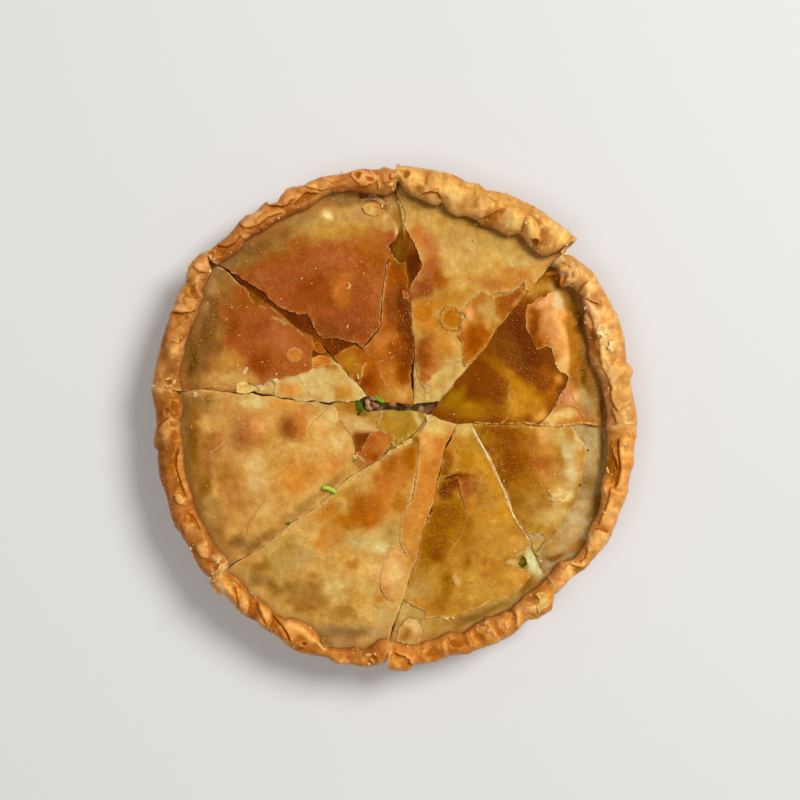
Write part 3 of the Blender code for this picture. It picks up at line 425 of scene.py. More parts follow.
# The leaves of the upper layer: slice, height above the layer below, thickness, curl of the
# broken edge, base colour, outline and patches
LEAVES = [
    dict(slice=1, rise=1.0, thick=0.6, curl=0.4, base=(172, 94, 42), outline=[
        (212, 268), (236, 274), (243, 279), (256, 287), (264, 292), (273, 302), (283, 309),
        (301, 315), (308, 314), (313, 324), (318, 334), (323, 339), (336, 338), (345, 341),
        (355, 343), (363, 348), (369, 340), (376, 332), (380, 324), (381, 302), (385, 288),
        (387, 272), (388, 262), (392, 252), (388, 246), (396, 240), (398, 230), (396, 222),
        (388, 214), (382, 209), (381, 200), (372, 198), (360, 198), (358, 180), (320, 185),
        (280, 200), (230, 240),
    ], patches=[
        (335, 218, 62, 22, 10, (202, 152, 74), 1.0), (345, 232, 34, 9, 5, (196, 142, 58), 0.8),
        (350, 218, 20, 8, 0, (208, 160, 88), 0.7), (303, 222, 16, 12, 30, (182, 138, 72), 0.8),
        (276, 240, 24, 9, 38, (150, 102, 42), 0.9), (244, 252, 24, 11, 38, (136, 94, 44), 1.0),
        (230, 264, 10, 6, 30, (150, 112, 66), 0.8), (246, 264, 14, 6, 38, (160, 112, 48), 0.9),
        (256, 262, 20, 5, 38, (164, 112, 46), 0.6), (290, 250, 30, 9, 25, (164, 96, 32), 0.8),
        (306, 262, 30, 10, 15, (178, 98, 42), 0.7), (262, 276, 10, 6, 0, (190, 118, 64), 0.7),
        (338, 330, 30, 12, 0, (146, 74, 36), 0.85), (350, 315, 20, 12, 10, (160, 80, 40), 0.7),
        (318, 292, 22, 16, -20, (152, 76, 30), 0.8), (300, 304, 14, 8, -20, (166, 86, 36), 0.7),
        (342, 292, 10, 18, 0, (194, 114, 44), 0.9), (342, 258, 26, 8, 0, (184, 106, 56), 0.6),
        (374, 262, 12, 12, 0, (162, 86, 26), 0.7), (366, 250, 14, 6, 0, (180, 104, 30), 0.7),
        (374, 242, 12, 6, 20, (184, 112, 44), 0.8), (365, 300, 12, 16, 0, (164, 84, 40), 0.6),
        (386, 220, 10, 9, 0, (210, 162, 90), 0.9), (396, 230, 2.5, 8, 0, (232, 190, 130), 0.8),
        # The patch at (328, 213) is a painted highlight on a small bump
        (328, 213, 4, 7, 0, (242, 206, 132), 1.0), (346, 200, 18, 6, 0, (148, 110, 60), 0.8),
        (366, 199, 8, 4, 0, (160, 112, 54), 0.8), (375, 285, 5, 14, 0, (186, 104, 52), 0.6),
        (281, 244, 12, 7, -35, (172, 128, 64), 0.7), (360, 215, 9, 7, 0, (186, 140, 76), 0.6),
    ]),
    dict(slice=1, rise=0.5, thick=0.45, curl=0.2, base=(178, 98, 32), outline=[
        (334, 357), (343, 350), (355, 345), (363, 350), (370, 341), (377, 333), (381, 324),
        (382, 300), (387, 276), (391, 254), (399, 263), (408, 263), (420, 345), (420, 410),
        (385, 403), (368, 396), (345, 372),
    ], patches=[
        (394, 268, 9, 16, 0, (158, 78, 14), 0.9), (400, 252, 5, 14, 0, (126, 86, 22), 1.0),
        (391, 305, 9, 22, 0, (148, 78, 36), 0.9), (403, 314, 7, 34, 0, (120, 54, 4), 0.95),
        (411, 330, 5, 34, 0, (118, 52, 2), 1.0), (384, 342, 12, 11, 30, (204, 126, 56), 0.9),
        (398, 348, 10, 8, 0, (158, 82, 22), 0.9), (404, 366, 9, 16, 0, (138, 64, 8), 0.95),
        (390, 372, 8, 12, 0, (196, 122, 48), 0.8), (402, 392, 14, 10, 0, (212, 158, 80), 1.0),
        (384, 396, 9, 8, 0, (190, 138, 56), 0.9), (350, 358, 14, 9, -35, (176, 116, 34), 0.95),
        (354, 368, 10, 9, -40, (186, 120, 38), 0.9), (372, 366, 8, 5, 0, (190, 112, 36), 0.7),
        (370, 380, 7, 13, -10, (160, 78, 22), 1.0), (361, 383, 8, 9, -45, (140, 66, 8), 0.95),
    ]),
    dict(slice=2, rise=0.8, thick=0.55, curl=0.35, base=(210, 164, 88), outline=[
        (394, 190), (402, 203), (406, 214), (404, 226), (411, 238), (417, 250), (420, 258),
        (423, 266), (416, 278), (410, 288), (406, 292), (402, 297), (407, 302), (412, 305),
        (411, 320), (414, 340), (416, 360), (418, 377), (424, 387), (433, 376), (438, 371),
        (449, 364), (462, 361), (461, 345), (456, 337), (459, 328), (458, 323), (466, 320),
        (460, 312), (466, 306), (471, 300), (480, 293), (488, 294), (493, 298), (503, 294),
        (512, 293), (519, 288), (526, 281), (535, 296), (560, 270), (565, 240), (520, 215),
        (480, 200), (440, 185),
    ], patches=[
        (416, 203, 16, 8, -15, (168, 128, 60), 0.8), (410, 214, 8, 8, 0, (200, 158, 84), 0.7),
        (416, 238, 9, 14, 0, (206, 132, 60), 0.95), (428, 250, 12, 18, 20, (204, 128, 66), 0.9),
        (434, 268, 14, 12, 30, (180, 100, 48), 0.95), (424, 286, 15, 13, 30, (162, 86, 42), 1.0),
        (411, 298, 7, 6, 0, (172, 90, 44), 0.9), (442, 282, 9, 10, 0, (178, 96, 22), 0.8),
        # The patch at (446, 273) is a painted highlight on a small bump, and the one at (437, 275)
        # its painted shade
        (446, 273, 3, 4, 0, (222, 156, 76), 0.9), (437, 275, 3, 6, 0, (168, 88, 24), 0.8),
        (452, 262, 14, 14, 0, (220, 172, 98), 0.8), (466, 284, 12, 14, 30, (214, 162, 80), 0.8),
        (460, 238, 16, 12, 0, (206, 162, 92), 0.85), (472, 248, 10, 14, 0, (200, 154, 84), 0.6),
        # The patch at (480, 224) is painted shade under the rope
        (480, 224, 34, 6, -18, (150, 100, 34), 0.75), (500, 244, 22, 10, -20, (184, 144, 76), 0.8),
        (516, 262, 14, 9, -10, (214, 176, 106), 0.9), (534, 256, 8, 7, 0, (200, 158, 90), 0.8),
        (504, 272, 18, 7, 0, (206, 144, 70), 0.85), (498, 284, 20, 8, -5, (192, 120, 54), 0.9),
        (524, 276, 12, 8, 30, (206, 136, 66), 0.9), (545, 264, 10, 8, 30, (212, 150, 80), 0.8),
        (447, 300, 26, 9, 15, (194, 132, 44), 0.85), (424, 312, 11, 12, 0, (202, 120, 36), 0.9),
        (432, 328, 16, 10, -20, (210, 134, 46), 0.8), (444, 345, 14, 10, 0, (214, 142, 54), 0.85),
        (423, 345, 9, 12, 0, (156, 80, 30), 0.95), (440, 230, 14, 10, 0, (198, 146, 70), 0.6),
        (430, 360, 13, 15, 0, (188, 110, 50), 0.95), (422, 361, 8, 10, 0, (150, 78, 28), 0.8),
        (446, 352, 8, 6, 0, (204, 136, 52), 0.7), (424, 379, 7, 7, 0, (178, 94, 38), 0.9),
        (451, 319, 11, 11, 0, (188, 112, 28), 1.0), (456, 344, 5, 12, 0, (218, 168, 88), 0.8),
    ]),
    dict(slice=2, rise=1.1, thick=0.45, curl=0.3, base=(190, 118, 46), outline=[
        (466, 366), (463, 363), (461, 350), (462, 343), (457, 336), (460, 328), (458, 323),
        (467, 320), (461, 312), (466, 307), (471, 301), (475, 297), (481, 294), (488, 295),
        (493, 299), (503, 295), (512, 294), (520, 288), (530, 280), (536, 286), (528, 300),
        (540, 300), (520, 325), (490, 355),
    ], patches=[
        # The patch at (470, 314) is a painted highlight on the flap's curled edge
        (476, 300, 8, 7, 30, (192, 116, 32), 0.9), (470, 314, 6, 9, 0, (242, 172, 102), 0.95),
        (464, 326, 5, 5, 0, (226, 158, 88), 0.8), (488, 312, 9, 14, 0, (204, 164, 92), 0.95),
        (486, 324, 12, 5, 20, (214, 160, 80), 0.8), (472, 342, 10, 15, -20, (164, 82, 22), 0.95),
        (482, 336, 10, 9, 30, (176, 92, 26), 0.8), (503, 308, 9, 15, 0, (172, 94, 32), 0.9),
        (514, 298, 14, 7, 35, (168, 88, 40), 0.9), (527, 288, 6, 5, 30, (200, 128, 64), 0.8),
    ]),
    dict(slice=3, rise=0.5, thick=0.5, curl=0.15, base=(190, 118, 46), outline=[
        (527, 305), (531, 304), (537, 298), (545, 297), (549, 293), (556, 290), (562, 286),
        (575, 280), (600, 320), (608, 370), (618, 432), (600, 436), (580, 432), (535, 432),
        (543, 421), (550, 413), (555, 405), (560, 394), (566, 386), (568, 380), (567, 374),
        (560, 372), (556, 366), (553, 358), (551, 348), (546, 346), (538, 350), (534, 346),
        (532, 338), (528, 332), (526, 326), (525, 315),
    ], patches=[
        (534, 328, 5, 22, 0, (140, 70, 10), 0.9), (540, 344, 9, 8, 0, (148, 74, 12), 0.9),
        (549, 322, 8, 26, 0, (214, 142, 76), 0.9), (548, 344, 5, 10, 0, (184, 106, 34), 0.8),
        # The patches at (541, 302), (556, 298), (561, 338) and (562, 370) are painted highlight on
        # the raised edge and the swell's ridge
        (541, 302, 10, 6, 10, (234, 170, 108), 0.9), (561, 338, 8, 40, 8, (236, 168, 92), 1.0),
        (562, 370, 9, 14, 0, (244, 178, 98), 0.95), (556, 298, 7, 7, -30, (232, 186, 122), 0.9),
        (559, 301, 4, 11, 12, (206, 180, 132), 1.0), (568, 300, 4, 14, 10, (148, 106, 56), 0.9),
        # The patches at (576, 316), (585, 372), (602, 402) and (593, 390) are painted shade in the
        # trough under the rope
        (576, 316, 5, 24, 12, (108, 60, 6), 0.9), (571, 335, 4, 22, 8, (164, 102, 34), 0.95),
        (575, 362, 5, 24, 4, (170, 104, 30), 0.95), (585, 372, 5, 30, 8, (118, 72, 14), 0.95),
        (582, 396, 9, 12, 10, (184, 144, 84), 0.9), (592, 408, 6, 14, 0, (172, 138, 82), 0.9),
        (602, 402, 4, 24, 0, (104, 62, 12), 0.8), (566, 396, 9, 9, 0, (212, 140, 86), 0.9),
        (576, 396, 5, 7, 0, (230, 168, 92), 0.8), (562, 415, 16, 7, 0, (220, 172, 94), 0.95),
        (548, 420, 8, 6, 0, (226, 182, 104), 0.9), (593, 390, 4, 14, 0, (134, 94, 44), 0.7),
    ]),
    dict(slice=4, rise=0.6, thick=0.45, curl=0.25, base=(186, 128, 48), outline=[
        (462, 416), (520, 416), (567, 420), (570, 426), (575, 431), (578, 438), (583, 442),
        (587, 450), (585, 458), (583, 466), (581, 475), (580, 486), (578, 497), (572, 508),
        (566, 516), (559, 526), (556, 532), (548, 540), (545, 538), (541, 533), (538, 536),
        (533, 534), (528, 533), (524, 530), (520, 535), (505, 505), (480, 455),
    ], patches=[
        (480, 432, 9, 9, 0, (156, 110, 22), 0.9), (490, 446, 8, 9, 0, (160, 100, 22), 0.85),
        (500, 430, 16, 7, 0, (152, 84, 8), 0.9), (508, 442, 17, 12, 10, (146, 76, 8), 0.85),
        (516, 456, 12, 8, 0, (162, 88, 22), 0.8), (510, 468, 20, 19, -30, (146, 78, 14), 0.95),
        (502, 482, 9, 9, 0, (142, 86, 30), 0.9), (530, 444, 9, 9, 0, (178, 104, 44), 0.85),
        (545, 436, 10, 8, 0, (222, 166, 88), 0.9), (549, 452, 8, 9, 0, (208, 138, 62), 0.8),
        (540, 464, 12, 8, 0, (176, 100, 40), 0.85), (532, 480, 14, 8, 0, (176, 112, 34), 0.7),
        (550, 476, 12, 9, 0, (202, 142, 68), 0.8), (560, 436, 9, 8, 0, (206, 162, 88), 0.9),
        (570, 450, 8, 12, 0, (212, 182, 122), 0.95), (577, 440, 4, 8, 0, (224, 190, 126), 0.9),
        (572, 473, 9, 15, 0, (228, 194, 130), 0.95), (562, 494, 12, 9, 30, (238, 200, 124), 1.0),
        (546, 498, 4, 5, 0, (172, 122, 42), 0.8), (517, 498, 11, 9, -40, (152, 98, 28), 0.8),
        (534, 503, 13, 14, -40, (172, 122, 52), 0.8), (548, 520, 10, 10, 0, (220, 178, 100), 0.9),
        (560, 513, 8, 10, 30, (216, 172, 98), 0.85), (534, 526, 9, 6, -30, (170, 122, 40), 0.8),
        (540, 519, 7, 6, 0, (184, 138, 62), 0.7),
    ]),
    dict(slice=5, rise=1.0, thick=0.7, curl=0.35, base=(194, 136, 50), outline=[
        (450, 418), (474, 418), (489, 452), (505, 486), (516, 514), (528, 530), (534, 544),
        (529, 547), (524, 551), (518, 555), (511, 557), (507, 562), (513, 566), (519, 568),
        (526, 571), (530, 577), (526, 583), (519, 589), (510, 596), (500, 600), (487, 603),
        (480, 608), (468, 612), (456, 616), (450, 618), (438, 617), (425, 618), (427, 614),
        (421, 609), (413, 605), (404, 600), (400, 590), (410, 550), (430, 480),
    ], patches=[
        (462, 430, 12, 8, -20, (208, 168, 88), 0.95), (478, 438, 6, 12, 25, (174, 126, 42), 0.8),
        (453, 448, 8, 9, 0, (184, 118, 40), 0.8), (447, 458, 5, 9, 0, (160, 86, 18), 0.9),
        (468, 458, 11, 12, 0, (184, 118, 28), 0.8), (443, 468, 5, 6, 0, (150, 80, 16), 0.8),
        (490, 474, 6, 26, 26, (206, 142, 40), 0.8), (480, 496, 12, 16, 20, (184, 124, 48), 0.8),
        (470, 488, 7, 9, -20, (176, 90, 42), 0.9), (464, 476, 9, 4, 0, (150, 78, 14), 0.9),
        (450, 484, 10, 6, 0, (122, 56, 8), 0.95), (446, 491, 6, 7, 0, (120, 56, 6), 0.95),
        # The patch at (451, 476) is painted shadow in the slit under the flap
        (451, 476, 9, 2.5, 12, (84, 42, 6), 0.95), (450, 522, 22, 28, 0, (166, 102, 26), 0.7),
        (448, 510, 15, 11, 0, (148, 84, 14), 0.7), (440, 520, 12, 16, 0, (152, 88, 16), 0.6),
        (437, 541, 15, 18, 0, (156, 88, 12), 0.75), (436, 556, 9, 9, 0, (142, 70, 4), 0.75),
        (424, 562, 7, 12, 0, (166, 106, 30), 0.8), (457, 520, 15, 15, 0, (156, 92, 18), 0.65),
        (458, 540, 8, 12, 30, (176, 112, 30), 0.7), (502, 514, 9, 12, 0, (204, 138, 38), 0.8),
        (494, 536, 16, 14, 0, (194, 136, 54), 0.8), (516, 541, 10, 9, 0, (212, 152, 70), 0.8),
        (470, 550, 12, 9, 0, (186, 120, 44), 0.7), (466, 562, 6, 6, 0, (164, 94, 22), 0.75),
        (484, 562, 6, 6, 0, (174, 106, 30), 0.7), (495, 566, 14, 8, 0, (196, 134, 52), 0.6),
        # The patch at (446, 583) is painted shade on the blister's left side, and the one at (456,
        # 579) its painted highlight
        (446, 583, 7, 13, 0, (156, 98, 12), 0.8), (456, 579, 4, 8, 20, (216, 176, 112), 0.8),
        (442, 602, 9, 11, 0, (170, 108, 30), 0.8), (456, 602, 12, 7, 0, (194, 134, 52), 0.8),
        (484, 588, 14, 10, 0, (198, 144, 62), 0.8), (504, 588, 14, 8, 30, (204, 148, 62), 0.7),
        (518, 576, 9, 8, 0, (212, 146, 60), 0.9), (424, 588, 10, 12, 0, (188, 142, 70), 0.8),
        (410, 590, 7, 10, 0, (194, 148, 78), 0.8), (420, 572, 7, 8, 0, (178, 128, 54), 0.7),
        (446, 470, 7, 9, 0, (140, 74, 10), 0.6), (461, 482, 8, 6, 0, (138, 70, 22), 0.6),
        (426, 545, 7, 10, 0, (148, 84, 6), 0.6), (430, 521, 7, 9, 0, (160, 98, 22), 0.6),
    ]),
    dict(slice=5, rise=1.3, thick=0.4, curl=0.1, base=(230, 192, 124), outline=[
        (470, 420), (476, 420), (486, 434), (496, 458), (508, 484), (515, 502), (526, 522),
        (535, 540), (532, 547), (529, 542), (525, 535), (519, 525.5), (512, 514.5), (508.5, 507),
        (505.5, 499), (501.5, 488), (496, 476), (490, 463), (485.5, 454), (478, 441), (473, 432),
    ], patches=[
        (484, 449, 4, 8, 0, (238, 210, 152), 0.9), (480, 441, 3, 4, 0, (208, 152, 70), 0.8),
        (491, 466, 4, 5, 0, (206, 148, 66), 0.8), (499, 483, 4, 4, 0, (204, 142, 60), 0.8),
        (507, 500, 4, 4, 0, (210, 150, 70), 0.8), (518, 523, 4, 5, 0, (206, 150, 70), 0.8),
        (503, 492, 4, 8, 0, (222, 168, 88), 0.8), (511, 508, 4, 7, 0, (236, 204, 140), 0.8),
        (522, 529, 4, 6, 0, (224, 176, 100), 0.7),
    ]),
    dict(slice=5, rise=0.7, thick=0.4, curl=0.4, base=(204, 152, 78), outline=[
        (399, 628), (404, 622), (409, 618), (418, 621), (421, 628), (423, 635), (419, 644),
        (412, 646), (403, 644), (396, 641),
    ], patches=[
        # The patch at (405, 634) is painted shade on the flake's left side
        (411, 622, 8, 4, 0, (232, 190, 116), 0.8), (405, 634, 6, 8, 0, (176, 116, 42), 0.9),
        (416, 628, 5, 7, 0, (222, 176, 102), 0.9),
    ]),
    dict(slice=6, rise=0.7, thick=0.5, curl=0.2, base=(208, 158, 80), outline=[
        (421, 432), (420, 445), (418, 462), (415, 480), (413, 492), (410, 501), (405, 508),
        (401, 518), (400, 526), (401, 540), (406, 552), (400, 553), (391, 546), (387, 553),
        (384, 566), (381, 582), (385, 592), (392, 598), (402, 600), (396, 620), (392, 645),
        (372, 655), (330, 655), (285, 630), (240, 595), (215, 568), (260, 540), (330, 488),
        (390, 440),
    ], patches=[
        (410, 460, 8, 16, 0, (168, 94, 14), 0.9), (392, 464, 13, 11, 30, (176, 98, 34), 0.95),
        (384, 482, 12, 13, 0, (186, 108, 42), 0.95), (370, 504, 20, 15, 35, (182, 104, 36), 1.0),
        (366, 519, 15, 8, 0, (186, 106, 32), 0.9), (386, 502, 6, 14, 0, (206, 128, 44), 0.9),
        (401, 478, 10, 14, 0, (192, 118, 42), 0.85), (400, 502, 8, 12, 0, (180, 108, 26), 0.8),
        (358, 506, 9, 12, 0, (170, 96, 24), 0.8), (350, 490, 10, 7, 32, (184, 124, 44), 0.8),
        (346, 520, 12, 10, 0, (178, 102, 22), 0.85), (328, 512, 14, 8, 35, (196, 120, 36), 0.8),
        (325, 535, 12, 6, 68, (202, 124, 42), 0.85), (320, 546, 6, 6, 0, (214, 138, 58), 0.7),
        (338, 532, 7, 10, 0, (206, 140, 58), 0.8), (362, 542, 18, 8, 10, (212, 176, 104), 0.95),
        (380, 546, 9, 7, 0, (222, 194, 124), 0.9), (391, 533, 7, 11, 0, (180, 138, 66), 0.8),
        (345, 556, 9, 9, 0, (214, 156, 68), 0.8), (352, 563, 6, 5, 0, (184, 120, 42), 0.8),
        (372, 570, 12, 9, 0, (222, 170, 92), 0.8), (300, 556, 14, 9, 0, (198, 160, 94), 0.8),
        (313, 574, 5, 4, 0, (190, 128, 44), 0.7), (316, 592, 12, 13, 0, (156, 104, 40), 0.75),
        (334, 590, 12, 10, 0, (226, 182, 104), 0.9), (343, 613, 16, 9, 0, (168, 118, 44), 0.75),
        (356, 600, 8, 7, 0, (210, 150, 62), 0.7), (366, 612, 9, 8, 0, (226, 178, 98), 0.85),
        (380, 600, 6, 5, 0, (196, 128, 38), 0.8), (304, 607, 9, 5, 0, (172, 118, 40), 0.8),
        (338, 634, 34, 8, 6, (158, 116, 66), 0.9), (345, 643, 14, 5, 0, (188, 150, 96), 0.8),
        (376, 633, 10, 6, 0, (200, 164, 110), 0.8), (386, 618, 8, 9, 0, (198, 158, 88), 0.8),
        (264, 566, 13, 8, 20, (152, 94, 24), 0.8), (288, 545, 10, 7, 30, (186, 136, 62), 0.8),
        (284, 572, 10, 9, 0, (198, 156, 86), 0.7), (274, 588, 14, 9, -30, (162, 118, 48), 0.85),
        (291, 590, 10, 8, 0, (164, 120, 54), 0.8), (300, 600, 14, 7, 0, (170, 122, 58), 0.85),
        (240, 572, 12, 8, 20, (188, 142, 70), 0.8), (256, 580, 9, 8, 0, (156, 114, 56), 0.8),
        # The patch at (415, 441) is painted shadow beside the raised strip
        (415, 441, 5, 7, 0, (144, 92, 26), 0.85), (384, 466, 6, 8, 20, (174, 98, 28), 0.8),
        (281, 560, 15, 10, 35, (182, 140, 70), 0.7),
    ]),
    dict(slice=6, rise=0.95, thick=0.4, curl=0.1, base=(206, 132, 54), outline=[
        (421, 431), (428, 420), (440, 413), (465, 424), (448, 480), (425, 560), (404, 604),
        (393, 603), (384, 595), (380, 582), (383, 564), (389, 546), (399, 552), (406, 553),
        (400, 541), (399, 526), (401, 516), (405, 507), (411, 500), (414, 490), (417, 470),
        (419, 450),
    ], patches=[
        (437, 425, 18, 10, 0, (222, 184, 102), 0.95), (427, 446, 8, 11, 0, (224, 166, 84), 0.85),
        (431, 468, 8, 11, 0, (200, 124, 46), 0.9), (426, 490, 9, 12, 0, (212, 140, 60), 0.8),
        (415, 512, 9, 14, 15, (206, 140, 60), 0.8), (410, 538, 8, 12, 10, (196, 136, 56), 0.8),
        (396, 574, 14, 28, 0, (228, 182, 106), 1.0), (405, 584, 4, 6, 0, (224, 170, 84), 0.9),
        (414, 558, 5, 8, 0, (194, 140, 58), 0.8),
    ]),
    dict(slice=7, rise=0.7, thick=0.5, curl=0.25, base=(212, 156, 78), outline=[
        (165, 380), (205, 380), (262, 386), (311, 395), (314, 402), (318, 408), (326, 411),
        (333, 406), (338, 412), (340, 420), (346, 428), (350, 433), (353, 440), (355, 450),
        (353, 461), (358, 467), (366, 475), (330, 503), (270, 548), (225, 575), (195, 550),
        (172, 500), (165, 450),
    ], patches=[
        # The patches at (186, 430) and (194, 440) are partly painted shade in the trough under the
        # rope
        (186, 430, 6, 60, 4, (118, 70, 20), 0.9), (194, 440, 7, 46, 3, (146, 94, 30), 0.9),
        (205, 484, 8, 14, 0, (144, 90, 22), 0.9), (198, 505, 8, 14, -20, (140, 92, 34), 0.85),
        (209, 446, 10, 14, 0, (164, 104, 44), 0.9), (219, 440, 8, 9, 0, (188, 120, 56), 0.8),
        (207, 464, 8, 9, 0, (168, 106, 44), 0.8), (226, 472, 12, 14, 0, (190, 126, 56), 0.9),
        (232, 490, 11, 8, 0, (196, 126, 62), 0.8), (202, 402, 13, 8, 0, (154, 110, 48), 0.9),
        (214, 397, 9, 4, 0, (178, 132, 60), 0.8), (214, 414, 10, 9, 0, (190, 136, 70), 0.7),
        (232, 405, 8, 7, 0, (216, 152, 74), 0.8), (254, 402, 18, 6, 0, (220, 182, 114), 0.9),
        (240, 456, 16, 6, -45, (218, 168, 94), 0.85), (258, 474, 10, 16, 0, (224, 184, 118), 0.95),
        (272, 458, 9, 9, 0, (200, 146, 66), 0.7), (268, 440, 7, 9, 0, (194, 140, 58), 0.7),
        (214, 506, 9, 9, 0, (184, 138, 70), 0.85), (238, 504, 12, 9, 0, (188, 124, 58), 0.85),
        (222, 520, 10, 8, 0, (178, 128, 64), 0.6), (268, 514, 14, 10, 30, (216, 168, 88), 0.85),
        (296, 482, 15, 12, 0, (214, 138, 54), 0.9), (312, 470, 12, 10, 0, (208, 136, 58), 0.8),
        (238, 543, 12, 7, 0, (142, 98, 44), 0.9), (216, 533, 9, 9, 0, (162, 110, 50), 0.85),
        (252, 545, 12, 5, 30, (164, 122, 60), 0.8), (285, 406, 12, 6, 0, (214, 146, 62), 0.8),
        (300, 416, 9, 7, 0, (202, 122, 56), 0.8), (320, 430, 9, 9, 0, (226, 168, 88), 0.85),
        (331, 418, 7, 9, 0, (226, 188, 118), 0.9), (338, 440, 8, 9, 0, (226, 182, 108), 0.9),
        (350, 461, 6, 7, 0, (210, 162, 92), 0.8), (333, 466, 8, 8, 0, (214, 138, 60), 0.8),
        (316, 452, 12, 9, 0, (212, 152, 74), 0.6), (290, 461, 7, 6, 0, (200, 130, 48), 0.7),
        (292, 474, 9, 6, 0, (208, 140, 54), 0.8), (250, 432, 19, 18, 0, (192, 122, 58), 0.95),
        # The patch at (240, 434) is painted shade on the dome's left side, and the one at (257,
        # 426) its painted highlight
        (240, 434, 8, 13, 0, (172, 106, 46), 0.5), (257, 426, 8, 9, 0, (216, 148, 80), 0.7),
        (290, 427, 11, 12, 0, (162, 86, 34), 1.0), (302, 430, 5, 11, 0, (198, 120, 50), 0.8),
        (292, 443, 8, 2, -10, (222, 170, 96), 0.7), (262, 500, 7, 8, 0, (204, 150, 78), 0.6),
        # The patches at (330, 486), (300, 510) and (262, 540) are painted shade where the lid
        # slopes down to the cut
        (330, 486, 22, 5, 38, (164, 112, 48), 0.7), (300, 510, 24, 5, 38, (170, 118, 54), 0.7),
        (262, 540, 22, 5, 38, (160, 110, 50), 0.7),
    ]),
    dict(slice=7, rise=0.6, thick=0.45, curl=0.15, base=(180, 134, 48), outline=[
        (383, 405), (424, 405), (424, 428), (410, 440), (397, 450), (390, 441), (394, 437),
        (385, 433), (377, 427), (380, 418),
    ], patches=[
        (402, 430, 14, 7, 20, (172, 122, 40), 0.8), (394, 420, 9, 7, 0, (188, 142, 58), 0.7),
        (418, 418, 4, 10, 20, (222, 186, 118), 0.9), (384, 421, 3, 3, 0, (206, 118, 36), 0.9),
    ]),
    dict(slice=7, rise=1.4, thick=0.4, curl=0.5, base=(182, 106, 46), outline=[
        (370, 433), (380, 430), (389, 433), (395, 438), (390, 443), (389, 448), (383, 453),
        (375, 462), (367, 466), (360, 457), (356, 453), (361, 451), (365, 443), (367, 438),
    ], patches=[
        (384, 442, 8, 7, 0, (198, 124, 50), 0.9), (370, 440, 6, 6, 0, (174, 92, 38), 0.7),
        (372, 458, 8, 5, 0, (160, 84, 24), 0.8),
    ]),
    dict(slice=7, rise=1.0, thick=0.4, curl=0.4, base=(176, 120, 48), outline=[
        (353, 454), (357, 453), (362, 459), (366, 466), (361, 468), (355, 463),
    ], patches=[]),
    dict(slice=7, rise=0.9, thick=0.4, curl=0.4, base=(196, 156, 86), outline=[
        (311, 403), (320, 400), (330, 402), (336, 405), (330, 410), (324, 411), (316, 407),
    ], patches=[]),
    dict(slice=8, rise=0.9, thick=0.6, curl=0.35, base=(176, 96, 42), outline=[
        (172, 398), (236, 400), (238, 386), (250, 383), (262, 386), (272, 380), (281, 379),
        (290, 377), (300, 374), (308, 372), (313, 369), (311, 357), (314, 350), (313, 341),
        (308, 338), (300, 332), (293, 325), (285, 325), (278, 320), (273, 318), (275, 315),
        (270, 309), (262, 307), (252, 300), (248, 292), (243, 286), (238, 284), (220, 262),
        (205, 255), (185, 300), (170, 350),
    ], patches=[
        # The patches at (189, 350), (202, 352), (208, 312) and (216, 334) are partly painted shade
        # in the trough under the rope
        (189, 350, 8, 56, 8, (118, 78, 26), 1.0), (202, 352, 8, 34, 6, (144, 106, 52), 0.8),
        (208, 312, 9, 40, 8, (130, 84, 34), 0.95), (216, 334, 7, 40, 4, (146, 98, 46), 0.85),
        (224, 292, 9, 20, 25, (160, 114, 50), 0.9), (211, 286, 8, 11, 15, (184, 136, 80), 0.95),
        (203, 302, 5, 11, 15, (194, 144, 84), 0.9), (220, 332, 6, 12, 0, (172, 122, 50), 0.6),
        (215, 270, 12, 12, 0, (150, 112, 62), 0.95), (232, 276, 11, 9, -30, (168, 118, 58), 0.9),
        (222, 366, 14, 16, 0, (188, 132, 62), 0.95), (234, 360, 13, 9, -30, (204, 142, 58), 0.95),
        (228, 380, 34, 9, 0, (208, 158, 82), 0.95), (244, 376, 14, 9, 0, (200, 146, 70), 0.8),
        (238, 324, 9, 28, 0, (178, 98, 42), 0.7), (234, 324, 8, 12, 0, (146, 78, 24), 0.7),
        (263, 364, 14, 14, 0, (156, 78, 28), 0.95), (276, 332, 18, 16, -30, (182, 104, 52), 0.85),
        (258, 330, 12, 14, 0, (168, 88, 38), 0.6), (245, 302, 10, 11, -40, (168, 96, 34), 0.8),
        (290, 344, 14, 10, -30, (192, 112, 62), 0.8), (272, 378, 12, 6, 10, (170, 100, 46), 0.7),
        (300, 362, 9, 9, 0, (178, 96, 42), 0.7), (295, 355, 7, 7, 0, (208, 132, 56), 0.9),
        (304, 346, 8, 7, -40, (170, 92, 42), 0.6),
    ]),
    dict(slice=8, rise=0.7, thick=0.5, curl=0.3, base=(214, 176, 106), outline=[
        (276, 382), (288, 380), (300, 379), (312, 374), (324, 368), (335, 362), (352, 370),
        (375, 400), (345, 410), (270, 402), (275, 395),
    ], patches=[
        (288, 391, 13, 9, 0, (216, 146, 66), 0.95), (301, 392, 3, 6, 0, (216, 158, 76), 0.8),
        (344, 394, 11, 8, -30, (190, 124, 40), 0.9), (318, 396, 12, 5, 0, (200, 150, 80), 0.6),
        (335, 372, 10, 7, -40, (204, 158, 84), 0.7), (328, 364, 9, 5, -30, (180, 110, 36), 0.9),
    ]),
]

# Blisters of the lid: place and half sizes in pixels, direction, and height
BLISTERS = [
    (372, 208, 8, 6, 0, 0.9), (295, 356, 8, 8, 0, 0.8), (556, 493, 8, 7, 0, 0.45),
    (470, 584, 6, 6, 0, 0.4),
]

